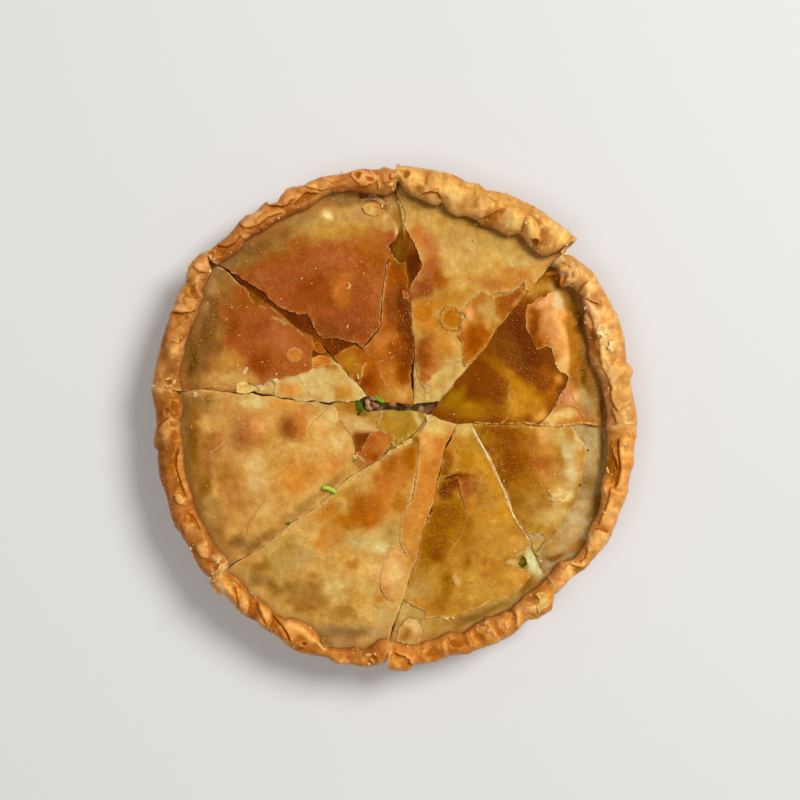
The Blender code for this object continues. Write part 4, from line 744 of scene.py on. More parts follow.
# Knobs and hollows of the rope, given the same way
KNOBS = [
    (229, 251, 11, 5, 25, -1.2), (222, 256, 5, 5, 0, -0.7), (251, 231, 2, 2, 0, -0.7),
    (255, 220, 11, 6, 30, 0.7), (285, 192, 6, 5, 0, 0.8), (283, 200, 5, 4, 0, 0.5),
    (306, 200, 10, 3, 30, -0.7), (318, 187, 10, 4, -10, -0.7), (330, 181, 12, 4, 15, 0.7),
    (362, 178, 14, 8, 0, 1.3), (358, 177, 3, 3, 0, -1.3), (369, 181, 4, 2, -15, -1.1),
    (388, 178, 6, 7, 0, 0.6), (410, 178, 9, 12, 0, 0.9), (405, 176, 4, 4, 0, -1.3),
    (427, 181, 6, 11, 0, -0.9), (431, 199, 9, 6, 0, 0.3), (452, 192, 10, 14, 0, 1.1),
    (462, 205, 4, 10, 0, -0.4), (488, 221, 10, 6, -20, -0.7), (512, 219, 9, 12, 0, 0.9),
    (529, 228, 17, 5, -68, 1.3), (533.5, 243.5, 3.5, 3.5, 0, -1.4), (543, 238, 4, 10, 0, -0.5),
    (560, 236, 9, 12, 0, 0.8), (571, 272, 7, 10, 0, 0.5), (564, 277, 2, 4, 0, -0.9),
    (588, 288, 7, 6, 0, 0.8), (594, 301, 7, 4, -40, -0.7), (588, 308, 13, 4, -52, 0.9),
    (590, 338, 4, 9, 0, -1.3), (592, 351, 4, 9, 0, -0.7), (602, 332, 6, 6, 0, 0.7),
    (600, 333, 2, 3, 0, -0.6), (608, 346, 5, 7, 0, 0.8), (606, 348, 3, 4, 0, -0.8),
    (626, 371, 7, 7, 0, 0.8), (604, 388, 3, 12, -75, -0.6), (612, 420, 6, 8, 0, -0.5),
    (613, 476, 4, 10, 0, -1.2), (605, 482, 4, 10, 0, 0.5), (598, 540, 8, 12, 20, 0.8),
    (574, 568, 5, 3, 0, -0.6), (563, 576, 7, 9, 0, 0.9), (542, 600, 8, 11, 0, 1.0),
    (528, 597, 9, 5, 15, -0.9), (513, 616, 2.5, 5, 0, -1.0), (526, 612, 8, 4, -30, -0.5),
    (502, 623, 6, 5, 0, 1.4), (456, 642, 9, 6, -10, -1.2), (478, 636, 5, 5, 0, -1.0),
    (434, 652, 7, 5, 10, -1.0), (398, 662, 12, 7, 0, 0.7), (374, 656, 3, 2, -45, -0.9),
    (353, 657, 7, 4, 0, -0.5), (344, 661, 4, 3, 0, 0.7), (300, 647, 4, 3, 20, -1.1),
    (304.5, 642.5, 3, 1.8, 0, -1.0), (300, 637, 10, 5, -30, -0.4), (255, 608, 4, 9, -10, -0.9),
    (246, 602, 4, 11, 0, 0.9), (262, 621, 4, 4, 0, 0.6), (235, 582, 3, 3, 0, 0.7),
    (236, 595, 3, 3, 0, 0.7), (229, 590, 6, 12, 35, 0.6), (177, 409, 5, 7, 0, -1.0),
    (167, 436, 6, 12, 0, 0.9), (176, 423, 2.5, 2.5, 0, 0.9), (175, 466, 4, 14, 0, -0.5),
    (182, 497, 5, 7, 30, 1.2), (191, 525, 6, 7, 0, 1.0), (205, 549, 6, 10, 30, 1.4),
    (216, 562, 4, 2, 0, -1.0), (222, 566, 5, 4, 30, 0.7), (202, 264, 9, 8, 0, 0.6),
    (208, 281, 4, 6, 0, -0.7), (193, 291, 5, 7, 0, -1.0), (188, 318, 3, 3, 0, -0.7),
    (176, 351, 6, 6, 0, 1.0), (169, 382, 3, 3, 0, -0.8),
]

# Creases of the rope: depth; the side that laps over, 1 at the left of the path's direction
# and -1 at its right; and the path
CREASES = [
    (1.2, 1, (216, 245), (222, 247), (229, 248), (236, 244), (242, 236)),
    (0.9, 1, (240, 221), (241, 226), (245, 229), (251, 229), (257, 228), (262, 224)),
    (0.6, 1, (256, 224), (259, 220), (263, 216), (268, 213), (273, 212)),
    (1.1, 1, (259, 227), (265, 222), (270, 218), (276, 216), (284, 214)),
    (0.8, 1, (261, 231), (266, 227), (272, 223), (280, 219), (287, 215)),
    (1.2, 1, (268, 207), (274, 207), (281, 208), (287, 207), (292, 202), (296, 200)),
    (1.2, 1, (292, 207), (298, 203), (302, 198), (307, 194), (313, 195), (319, 195)),
    (0.7, 1, (304, 187), (310, 190), (316, 191), (324, 192), (333, 189)),
    (0.4, 1, (332, 186), (338, 183), (343, 181), (348, 180)),
    (0.4, 1, (334, 190), (340, 188), (346, 188)),
    (1.0, 1, (358, 189), (366, 188), (374, 185), (379, 181)),
    (0.5, 1, (349, 173), (351, 178), (356, 184), (362, 187)),
    (0.5, 1, (381, 185), (388, 184), (394, 185)),
    (0.5, 1, (430, 192), (434, 190), (438, 191), (438, 195)),
    (1.0, 1, (420, 197), (425, 194), (432, 193), (438, 195), (442, 201)),
    (0.4, 1, (442, 206), (446, 211), (451, 214)),
    (0.5, 0, (478, 198), (475, 203), (474, 210)),
    (0.4, 1, (450, 176), (457, 178), (463, 181), (469, 183)),
    (0.8, 1, (474, 221), (480, 220), (487, 218), (494, 214), (503, 209)),
    (0.5, -1, (499, 218), (503, 213), (507, 208)),
    (0.5, 1, (485, 197), (490, 200), (496, 203)),
    (1.4, -1, (525, 217), (523, 224), (521, 229), (519, 236)),
    (0.7, 0, (541, 228), (541, 234), (539, 241), (541, 248)),
    (0.4, 1, (518, 209), (526, 213), (533, 218), (541, 225)),
    (0.5, 0, (549, 234), (549, 240), (547, 247), (547, 253)),
    (0.4, 0, (552, 236), (553, 244), (552, 252)),
    (0.7, 0, (559, 265), (563, 265), (567, 268), (569, 273)),
    (0.4, 0, (575, 262), (577, 270), (578, 280)),
    (1.0, -1, (577, 295), (580, 289), (583, 285), (587, 281)),
    (1.0, 1, (577, 294), (582, 297), (587, 300), (592, 303), (598, 305)),
    (0.6, 1, (583, 307), (587, 312), (590, 318), (592, 325), (592, 331), (592, 338)),
    (0.6, 1, (597, 332), (598, 345), (598, 356), (600, 366), (605, 375), (609, 384)),
    (0.4, 1, (603, 358), (605, 364), (608, 370)),
    (0.9, 1, (607, 380), (610, 388), (609, 397), (612, 405), (617, 412)),
    (0.5, 0, (613, 385), (616, 391), (617, 398)),
    (0.4, 0, (619, 376), (621, 383), (619, 391)),
    (0.5, -1, (616, 402), (622, 402), (628, 399)),
    (0.5, 0, (619, 407), (625, 407), (632, 404)),
    (0.8, 1, (609, 408), (613, 416), (615, 424)),
    (1.2, 1, (617, 438), (617, 450), (618, 459), (619, 468), (617, 479), (613, 488)),
    (0.4, 0, (627, 431), (627, 439), (625, 447), (621, 455)),
    (0.5, 0, (611, 487), (616, 491), (621, 494)),
    (0.5, 0, (616, 501), (614, 505), (612, 509)),
    (0.8, 1, (609, 486), (608, 496), (605, 506), (600, 517), (597, 524)),
    (1.1, -1, (591, 529), (597, 528), (602, 530), (608, 533)),
    (0.5, -1, (601, 533), (604, 535), (608, 535)),
    (0.4, 0, (589, 550), (593, 553), (598, 555)),
    (0.9, 1, (587, 536), (585, 544), (586, 551), (583, 558), (577, 562)),
    (1.0, 1, (568, 563), (574, 565), (580, 566), (587, 563)),
    (0.5, 0, (557, 568), (562, 567), (566, 564)),
    (0.7, -1, (522, 604), (529, 604), (536, 602)),
    (0.6, 0, (529, 612), (534, 615), (538, 618)),
    (0.9, -1, (487, 619), (491, 624), (495, 630), (501, 637)),
    (0.4, 0, (503, 618), (503, 623), (504, 628)),
    (0.5, 0, (447, 637), (448, 644), (450, 651)),
    (0.5, 1, (468, 628), (470, 636), (474, 643)),
    (1.0, 1, (393, 650), (399, 653), (405, 655), (409, 658), (411, 664)),
    (0.4, 0, (400, 650), (402, 646), (405, 643)),
    (0.3, 0, (402, 658), (403, 664), (403, 669)),
    (0.8, 0, (370, 653), (374, 657), (378, 662)),
    (0.6, 0, (365, 661), (370, 662)),
    (0.6, 0, (377, 642), (380, 650), (380, 659)),
    (0.5, -1, (382, 655), (384, 650), (388, 646)),
    (0.5, 1, (315, 640), (319, 645), (323, 649)),
    (1.4, 1, (272, 612), (278, 618), (284, 625), (289, 632), (292, 641)),
    (0.6, 1, (275, 621), (280, 629), (285, 638)),
    (1.0, -1, (271, 609), (274, 616), (273, 621), (270, 627)),
    (0.9, 1, (257, 599), (260, 607), (263, 614), (268, 623)),
    (1.0, -1, (250, 596), (251, 605), (248, 614)),
    (0.8, 1, (236, 584), (238, 592), (240, 600), (241, 608)),
    (0.4, 0, (247, 617), (252, 617), (256, 614)),
    (0.5, 1, (229, 577), (235, 580), (240, 584), (244, 590)),
    (0.9, -1, (175, 401), (172, 408), (173, 415), (179, 420)),
    (0.4, 0, (159, 400), (163, 403), (166, 408)),
    (0.7, 0, (168, 407), (168, 411), (169, 415)),
    (1.1, -1, (158, 432), (162, 426), (166, 421), (172, 417)),
    (0.7, 0, (175, 427), (176, 437), (173, 447), (171, 458)),
    (1.1, 1, (181, 448), (178, 457), (178, 467), (181, 477), (184, 487), (188, 497)),
    (0.4, 0, (163, 449), (167, 452), (169, 455)),
    (0.5, 1, (176, 490), (177, 498), (181, 504), (187, 505)),
    (0.4, 0, (175, 513), (180, 515), (184, 518)),
    (0.8, 1, (188, 511), (196, 517), (199, 523), (202, 531)),
    (0.5, 1, (183, 521), (184, 528), (188, 533)),
    (0.6, 1, (197, 542), (198, 550), (203, 556), (211, 558)),
    (0.5, 1, (211, 540), (214, 547), (215, 555)),
    (0.6, 0, (205, 566), (208, 562), (212, 560)),
    (0.7, 0, (213, 569), (218, 566), (222, 561), (227, 560)),
    (0.8, 1, (194, 266), (198, 270), (201, 273), (210, 274)),
    (0.4, 0, (187, 279), (191, 282), (194, 286)),
    (0.9, -1, (185, 297), (191, 298), (197, 299), (203, 298)),
    (0.5, -1, (184, 301), (186, 307), (191, 310), (196, 311)),
    (1.3, 1, (172, 313), (178, 313), (184, 314), (190, 313), (199, 310)),
    (0.5, 0, (177, 317), (179, 322), (184, 327)),
    (0.8, -1, (180, 345), (184, 339), (187, 336), (192, 333)),
    (0.5, 1, (171, 340), (176, 343), (181, 344)),
    (0.6, 0, (177, 368), (177, 374), (180, 378)),
]

# Ridges of the rope: height, half width in millimetres, and the path
RIDGES = [
    (0.9, 1.2, (224, 257), (231, 251), (239, 243), (247, 237)),
    (0.7, 0.9, (262, 231), (270, 226), (279, 220), (287, 214)),
    (0.7, 0.9, (298, 210), (306, 206), (314, 201), (321, 197)),
    (0.7, 1.6, (300, 192), (308, 188), (316, 184)),
    (0.7, 0.8, (371, 173), (376, 178), (378, 184), (381, 190)),
    (0.6, 2.0, (512, 212), (513, 222), (511, 232)),
    (1.1, 0.8, (583, 313), (586, 321), (589, 331)),
    (0.9, 1.6, (581, 298), (587, 304), (593, 311)),
    (0.8, 1.2, (600, 345), (601, 356), (604, 366)),
    (1.6, 0.6, (612, 446), (613, 453), (616, 461), (616, 468)),
    (0.8, 1.3, (565, 565), (568, 572), (569, 580)),
    (1.0, 1.1, (514, 607), (517, 613), (517, 621), (518, 628)),
    (0.8, 0.9, (513, 607), (509, 611), (503, 613)),
    (0.9, 1.2, (487, 618), (491, 626), (496, 634)),
    (0.9, 1.4, (467, 629), (469, 637), (471, 646)),
    (1.0, 1.5, (441, 637), (445, 645), (446, 655)),
    (0.8, 1.5, (424, 643), (423, 650), (422, 657)),
    (1.3, 2.6, (286, 620), (295, 624), (303, 629), (311, 636), (319, 643), (329, 648)),
    (0.7, 1.4, (329, 648), (338, 650), (347, 649)),
    (0.7, 0.8, (280, 622), (284, 629), (288, 638)),
    (1.0, 1.3, (260, 602), (266, 610), (270, 619)),
    (0.8, 1.5, (224, 581), (230, 587), (235, 594)),
    (1.1, 1.2, (178, 426), (182, 436), (183, 450), (184, 463), (187, 478), (190, 490),
     (193, 501)),
    (0.9, 0.9, (179, 441), (176, 451), (173, 460)),
    (0.9, 1.1, (194, 509), (199, 517), (203, 526)),
    (0.8, 1.3, (203, 530), (206, 538), (210, 546)),
    (1.1, 1.2, (200, 275), (198, 284), (199, 291), (203, 297)),
    (0.9, 1.3, (187, 285), (182, 294), (181, 304)),
    (0.8, 1.0, (182, 350), (186, 343), (190, 337)),
]

# Lines on the lid's leaves: the slice; the step up at the left of the path's direction; how
# dark the painted shade in the crack at its foot is; how pale its lip is; and the path
LID_LINES = [
    (1, 0.5, 0.6, 0.8, (393, 247), (388, 258), (385, 275), (383, 290), (382, 300), (381, 328),
     (374, 337), (367, 345), (362, 350)),
    (1, -0.4, 0.9, 0.2, (362, 206), (366, 202), (373, 200), (380, 202), (384, 208)),
    (1, -0.2, 0.0, 0.9, (368, 362), (364, 368), (362, 378), (360, 385)),
    (1, 0.3, 0.2, 0.8, (364, 350), (372, 356), (378, 362), (380, 375), (385, 385), (391, 394)),
    (1, 0.3, 0.2, 0.8, (378, 362), (388, 361), (395, 356)),
    (2, 0.4, 0.6, 0.8, (490, 296), (500, 293), (512, 292), (519, 288), (528, 279)),
    (2, -0.35, 0.9, 0.5, (461, 327), (457, 330), (451, 331), (445, 329), (441, 325),
     (440, 319), (441, 313), (445, 309), (450, 308), (455, 309)),
    (2, 0.5, 0.3, 1.0, (462, 322), (465, 317), (462, 312), (458, 309)),
    (3, 0.3, 0.2, 0.9, (508, 382), (508, 400), (509, 417)),
    (3, 0.2, 0.8, 0.3, (511, 417), (515, 417), (519, 420)),
    (3, 0.2, 0.2, 0.9, (498, 425), (504, 422), (509, 417)),
    (3, 0.6, 0.2, 1.0, (568, 385), (563, 392), (559, 400), (554, 408), (550, 413), (545, 419),
     (540, 423), (532, 425)),
    (3, 0.3, 0.4, 0.7, (553, 408), (562, 406), (570, 406), (577, 409), (581, 415), (584, 423)),
    (3, 0.3, 0.3, 0.8, (570, 392), (575, 402), (579, 399), (586, 396), (588, 392)),
    (4, 0.15, 0.15, 0.4, (476, 432), (483, 440), (487, 432), (491, 428)),
    (4, 0.15, 0.15, 0.4, (488, 444), (495, 455), (500, 460), (504, 476)),
    (4, 0.3, 0.3, 1.0, (524, 529), (530, 533), (534, 533), (538, 536), (542, 533), (546, 539)),
    (4, 0.3, 0.9, 0.2, (558, 528), (555, 533), (549, 540), (543, 544), (539, 549), (536, 554)),
    (4, 0.4, 0.2, 1.0, (589, 450), (587, 447), (580, 440), (576, 432), (570, 424)),
    (4, 0.3, 0.4, 0.8, (548, 493), (552, 499), (560, 502), (566, 496), (566, 488)),
    (5, 0.4, 0.8, 0.2, (443, 478), (449, 475.5), (456, 475), (463, 476.5)),
    (5, 0.3, 0.7, 0.4, (458, 480), (458, 488), (461, 496), (464, 502)),
    (5, -0.4, 0.6, 1.0, (398, 630), (403, 623), (409, 618), (418, 621), (421, 628), (423, 635)),
    (5, 0.3, 0.5, 0.7, (453, 442), (457, 452), (459, 460)),
    (5, 0.3, 0.3, 0.8, (479, 481), (484, 476), (489, 471)),
    (5, 0.3, 0.7, 0.6, (462, 500), (465, 508), (466, 522)),
    (5, 0.3, 0.4, 0.7, (462, 528), (461, 534), (455, 541), (450, 548), (448, 555)),
    (5, 0.2, 0.3, 0.6, (487, 560), (486, 570)),
    (5, 0.2, 0.4, 0.6, (470, 590), (474, 597)),
    (5, 0.2, 0.8, 0.5, (452, 583), (456, 585)),
    (5, 0.2, 0.8, 0.5, (467, 583), (471, 582)),
    (5, 0.2, 0.6, 0.5, (443, 464), (446, 468), (448, 470)),
    (6, 0.4, 0.25, 1.0, (419, 441), (418, 460), (416, 480), (414, 490), (412, 500), (408, 503),
     (405, 510), (402, 517), (400, 525), (400, 540), (402, 548), (407, 553)),
    (6, 0.3, 0.25, 1.0, (392, 543), (388, 552), (386, 560), (383, 568), (381, 575), (380, 582),
     (382, 590), (386, 596), (392, 600), (397, 600)),
    (6, 0.2, 0.3, 0.7, (268, 558), (275, 550), (280, 547), (281, 541)),
    (6, 0.2, 0.3, 0.6, (375, 612), (373, 620)),
    (6, 0.2, 0.2, 0.7, (355, 628), (366, 625), (375, 622)),
    (6, 0.2, 0.8, 0.8, (373, 608), (376, 605), (379, 608), (376, 611)),
    (7, 0.3, 0.5, 0.6, (210, 454), (216, 450), (222, 446), (227, 441)),
    (7, 0.3, 0.2, 0.9, (196, 393), (200, 397), (205, 405)),
    (7, 0.2, 0.2, 0.8, (205, 400), (215, 399), (225, 398)),
    (7, 0.2, 0.5, 0.7, (266, 500), (262, 505), (258, 510), (256, 515), (251, 520), (248, 525),
     (247, 533), (245, 540), (241, 550)),
    (7, 0.2, 0.3, 0.6, (245, 540), (254, 539), (262, 537)),
    (7, -0.4, 0.6, 0.8, (324, 411), (315, 420), (310, 425), (308, 432), (311, 438)),
    (7, 0.2, 0.3, 0.6, (340, 450), (339, 458), (338, 465)),
    (7, 0.3, 0.2, 0.9, (338, 418), (337, 411), (335, 405)),
    (7, 0.2, 0.6, 0.5, (340, 420), (349, 433), (353, 440), (353, 450)),
    (7, 0.3, 0.2, 0.9, (286, 437), (292, 441), (299, 440)),
    (8, 0.3, 0.4, 0.9, (252, 291), (262, 299), (274, 311), (288, 324)),
    (8, -0.3, 0.6, 0.7, (302, 359), (299, 362), (295, 363), (291, 362), (288, 359),
     (287, 355), (288, 351), (291, 348), (295, 347), (299, 348), (302, 351), (303, 355)),
    (8, -0.2, 0.4, 0.6, (287, 369), (284, 368), (283, 365), (284, 362), (287, 362),
     (289, 365)),
    (8, 0.2, 0.3, 0.7, (300, 380), (306, 388), (312, 398)),
    (5, 0.3, 0.1, 1.0, (533, 544), (528, 531), (522, 521), (516, 512), (510, 500), (505, 489),
     (499, 477), (493, 464), (487, 452), (480, 440), (474, 428)),
    (5, 0.1, 0.0, 0.9, (531, 545), (526, 531), (520, 521), (514, 511), (508, 499), (503, 488),
     (497, 476), (491, 463), (485, 452), (478, 441), (472, 429)),
    (3, 0.2, 0.0, 1.0, (600, 424), (584, 422), (570, 424), (556, 425), (540, 424), (524, 422),
     (505, 423), (488, 423), (474, 421)),
    (2, 0.2, 0.0, 0.9, (444, 392), (452, 385), (461, 374), (470, 362), (480, 352), (489, 343)),
    (2, 0.2, 0.0, 0.8, (511, 307), (520, 298), (528, 289), (540, 276), (550, 265)),
    (6, 0.3, 0.0, 0.8, (249, 557), (262, 550), (276, 538), (290, 527), (302, 519)),
    (6, 0.3, 0.0, 0.9, (316, 509), (328, 499), (340, 487), (352, 477), (364, 471), (378, 462),
     (390, 453)),
    (8, 0.2, 0.0, 0.8, (206, 386), (220, 387), (232, 389), (244, 390)),
    (4, 0.2, 0.3, 0.5, (556, 428), (540, 428), (522, 426), (506, 427))
]

# Loose bits on the crust: slice, thickness, how far they are lifted, colour, the colour of
# their edge, and outline
CHIPS = [
    (8, 0.35, 0.15, (232, 184, 98), (250, 224, 156), [(237, 384), (243, 382), (250, 384),
     (258, 388), (252, 392), (246, 394), (237, 392)]),
    (8, 0.3, 0.1, (232, 196, 130), (250, 226, 170), [(243, 373), (247, 367), (249, 368),
     (246, 374)]),
    (8, 0.3, 0.1, (236, 206, 146), (248, 226, 170), [(273, 380), (277, 378), (280, 381),
     (277, 384)]),
    (8, 0.3, 0.1, (236, 206, 150), (250, 230, 184), [(257, 386), (261, 385), (266, 388),
     (262, 391)]),
    (1, 0.3, 0.2, (176, 100, 46), (214, 146, 84), [(402, 291), (407, 292), (410, 296),
     (407, 300), (403, 299)]),
    (1, 0.2, 0.2, (220, 160, 88), (240, 202, 138), [(347, 282.5), (350, 283), (351.5, 286),
     (350, 289), (347, 289.5), (349, 287), (349, 285)]),
    (1, 0.35, 0.25, (214, 160, 84), (238, 196, 124), [(362, 207), (366, 204), (372, 203),
     (378, 205), (382, 210), (380, 214), (374, 216), (366, 213)]),
    (1, 0.3, 0.2, (190, 146, 88), (216, 178, 120), [(367, 196), (374, 195), (381, 198),
     (386, 204), (383, 206), (378, 201), (371, 199)]),
    (1, 0.2, 0.1, (232, 186, 116), (244, 216, 160), [(357.5, 374), (359, 374), (359.5, 379),
     (358, 379)]),
    (2, 0.25, 0.1, (236, 194, 90), (246, 214, 120), [(473, 239), (475, 240), (475, 243),
     (473, 243)]),
    (2, 0.3, 0.3, (206, 146, 66), (236, 196, 130), [(524, 281), (531, 279), (534, 285),
     (530, 291), (525, 290)]),
    (2, 0.25, 0.1, (236, 204, 146), (248, 226, 180), [(424, 385), (428, 386), (429, 392),
     (426, 393)]),
    (2, 0.25, 0.1, (236, 204, 146), (248, 226, 180), [(425, 395), (429, 394), (429, 400),
     (426, 401)]),
    (3, 0.35, 0.35, (236, 190, 116), (252, 228, 168), [(595, 329), (598, 327), (601, 330),
     (604, 329), (607, 331), (607, 335), (603, 334), (601, 337), (598, 335), (597, 339),
     (595, 335)]),
    (2, 0.5, 0.1, (236, 190, 116), (248, 218, 156), [(560, 251), (564, 247), (568, 242),
     (572, 239), (575, 239), (575, 242), (573, 243), (571, 246), (569, 247), (567, 250),
     (564, 251), (562, 254)]),
    (4, 0.3, 0.25, (224, 178, 104), (246, 214, 156), [(550, 498), (553, 494), (557, 493),
     (558, 490), (562, 489), (565, 486), (567, 489), (570, 490), (567, 494), (566, 497),
     (561, 497), (558, 500), (553, 502)]),
    (3, 0.35, 0.35, (236, 188, 112), (252, 228, 168), [(607, 341), (610, 342), (613, 341),
     (614, 346), (612, 351), (609, 352), (606, 348), (608, 345)]),
    (8, 0.3, 0.3, (204, 126, 48), (236, 178, 102), [(313, 358), (320, 355), (328, 357),
     (333, 361), (328, 365), (318, 368), (312, 367)]),
    (8, 0.25, 0.2, (168, 82, 22), (206, 130, 60), [(313, 344), (318, 341), (323, 346),
     (327, 352), (321, 354), (315, 351)]),
    (5, 0.3, 0.35, (164, 86, 36), (198, 128, 62), [(458, 479), (468, 480), (479, 483),
     (476, 490), (470, 496), (464, 500), (460, 491)]),
    (6, 0.3, 0.2, (226, 190, 124), (246, 222, 170), [(426, 415), (432, 415), (434, 419),
     (429, 422), (426, 420)]),
    (6, 0.2, 0.1, (214, 170, 98), (240, 208, 146), [(358, 473), (363, 471), (365, 473),
     (360, 476)]),
    (6, 0.2, 0.1, (214, 170, 98), (240, 208, 146), [(298, 518), (303, 515), (305, 518),
     (300, 521)]),
    (6, 0.2, 0.1, (214, 170, 98), (236, 200, 136), [(322, 502), (327, 499), (329, 502),
     (324, 505)]),
    (6, 0.2, 0.1, (214, 170, 98), (240, 208, 146), [(387, 452), (391, 449), (392, 453),
     (388, 455)]),
    (6, 0.2, 0.1, (214, 170, 98), (240, 208, 146), [(403, 442), (410, 438), (412, 442),
     (405, 446)]),
    (6, 0.2, 0.05, (172, 130, 74), (188, 148, 90), [(321, 638), (329, 637), (336, 641),
     (333, 646), (325, 645)]),
    (7, 0.25, 0.1, (226, 188, 124), (246, 222, 170), [(193, 392), (197, 392), (198, 396),
     (194, 397)]),
    (5, 0.35, 0.3, (224, 166, 82), (248, 218, 146), [(535, 593), (538, 591), (543, 591),
     (547, 595), (548, 600), (546, 605), (542, 606), (538, 611), (536, 605), (539, 598)]),
    (6, 0.35, 0.2, (210, 162, 98), (240, 206, 150), [(212, 584), (218, 582), (223, 588),
     (222, 594), (217, 592)]),
    (7, 0.25, 0.1, (222, 180, 112), (244, 218, 164), [(353, 455), (358, 454), (357, 458),
     (354, 458)]),
]

# Burst bubbles: place and half sizes in pixels, direction, and the heights of the rim and depth
# of the hollow
RINGS = [
    (358, 177, 4.5, 4, 0, 0.5, 0.8), (370, 181, 6, 3, -15, 0.5, 0.6),
    (406, 176, 4, 5.5, 0, 0.6, 0.7), (533.5, 243.5, 4.5, 4.5, 0, 0.7, 0.7),
    (601, 332, 4, 6, 10, 0.7, 0.15), (609.5, 346, 4.5, 6, 0, 0.7, 0.2),
    (175.5, 424, 4.5, 4.5, 0, 0.6, 0.4), (168.5, 411, 3, 4.5, 0, 0.3, 0.8),
    (299, 648, 5.5, 4, 20, 0.5, 0.6), (304.5, 642.5, 3.5, 2.2, 0, 0.4, 0.5),
    (344.5, 661, 4, 3.5, 0, 0.4, 0.2), (502, 623, 5, 4, 0, 0.4, 0.3),
    (170, 382, 4, 4, 0, 0.6, 0.6), (193, 291, 4, 6, 0, 0.3, 0.6), (188, 318, 3, 3, 0, 0.3, 0.4),
    (212, 256, 4.5, 5.5, 20, 0.7, 0.5), (217, 566, 5, 3.5, 30, 0.7, 0.6),
    (224, 560, 4, 3, 30, 0.6, 0.5), (456, 642, 8, 5, -10, 0.3, 0.3),
    (182, 496, 5, 6, 20, 0.4, 0.0), (451, 319, 10.5, 11, 0, 0.9, -0.8),
    (454, 579, 4.5, 9, 10, 0.4, -0.7), (470, 584, 4, 4, 0, 0.5, 0.3),
    (556, 492, 6, 4.5, 0, 0.3, 0.1),
]

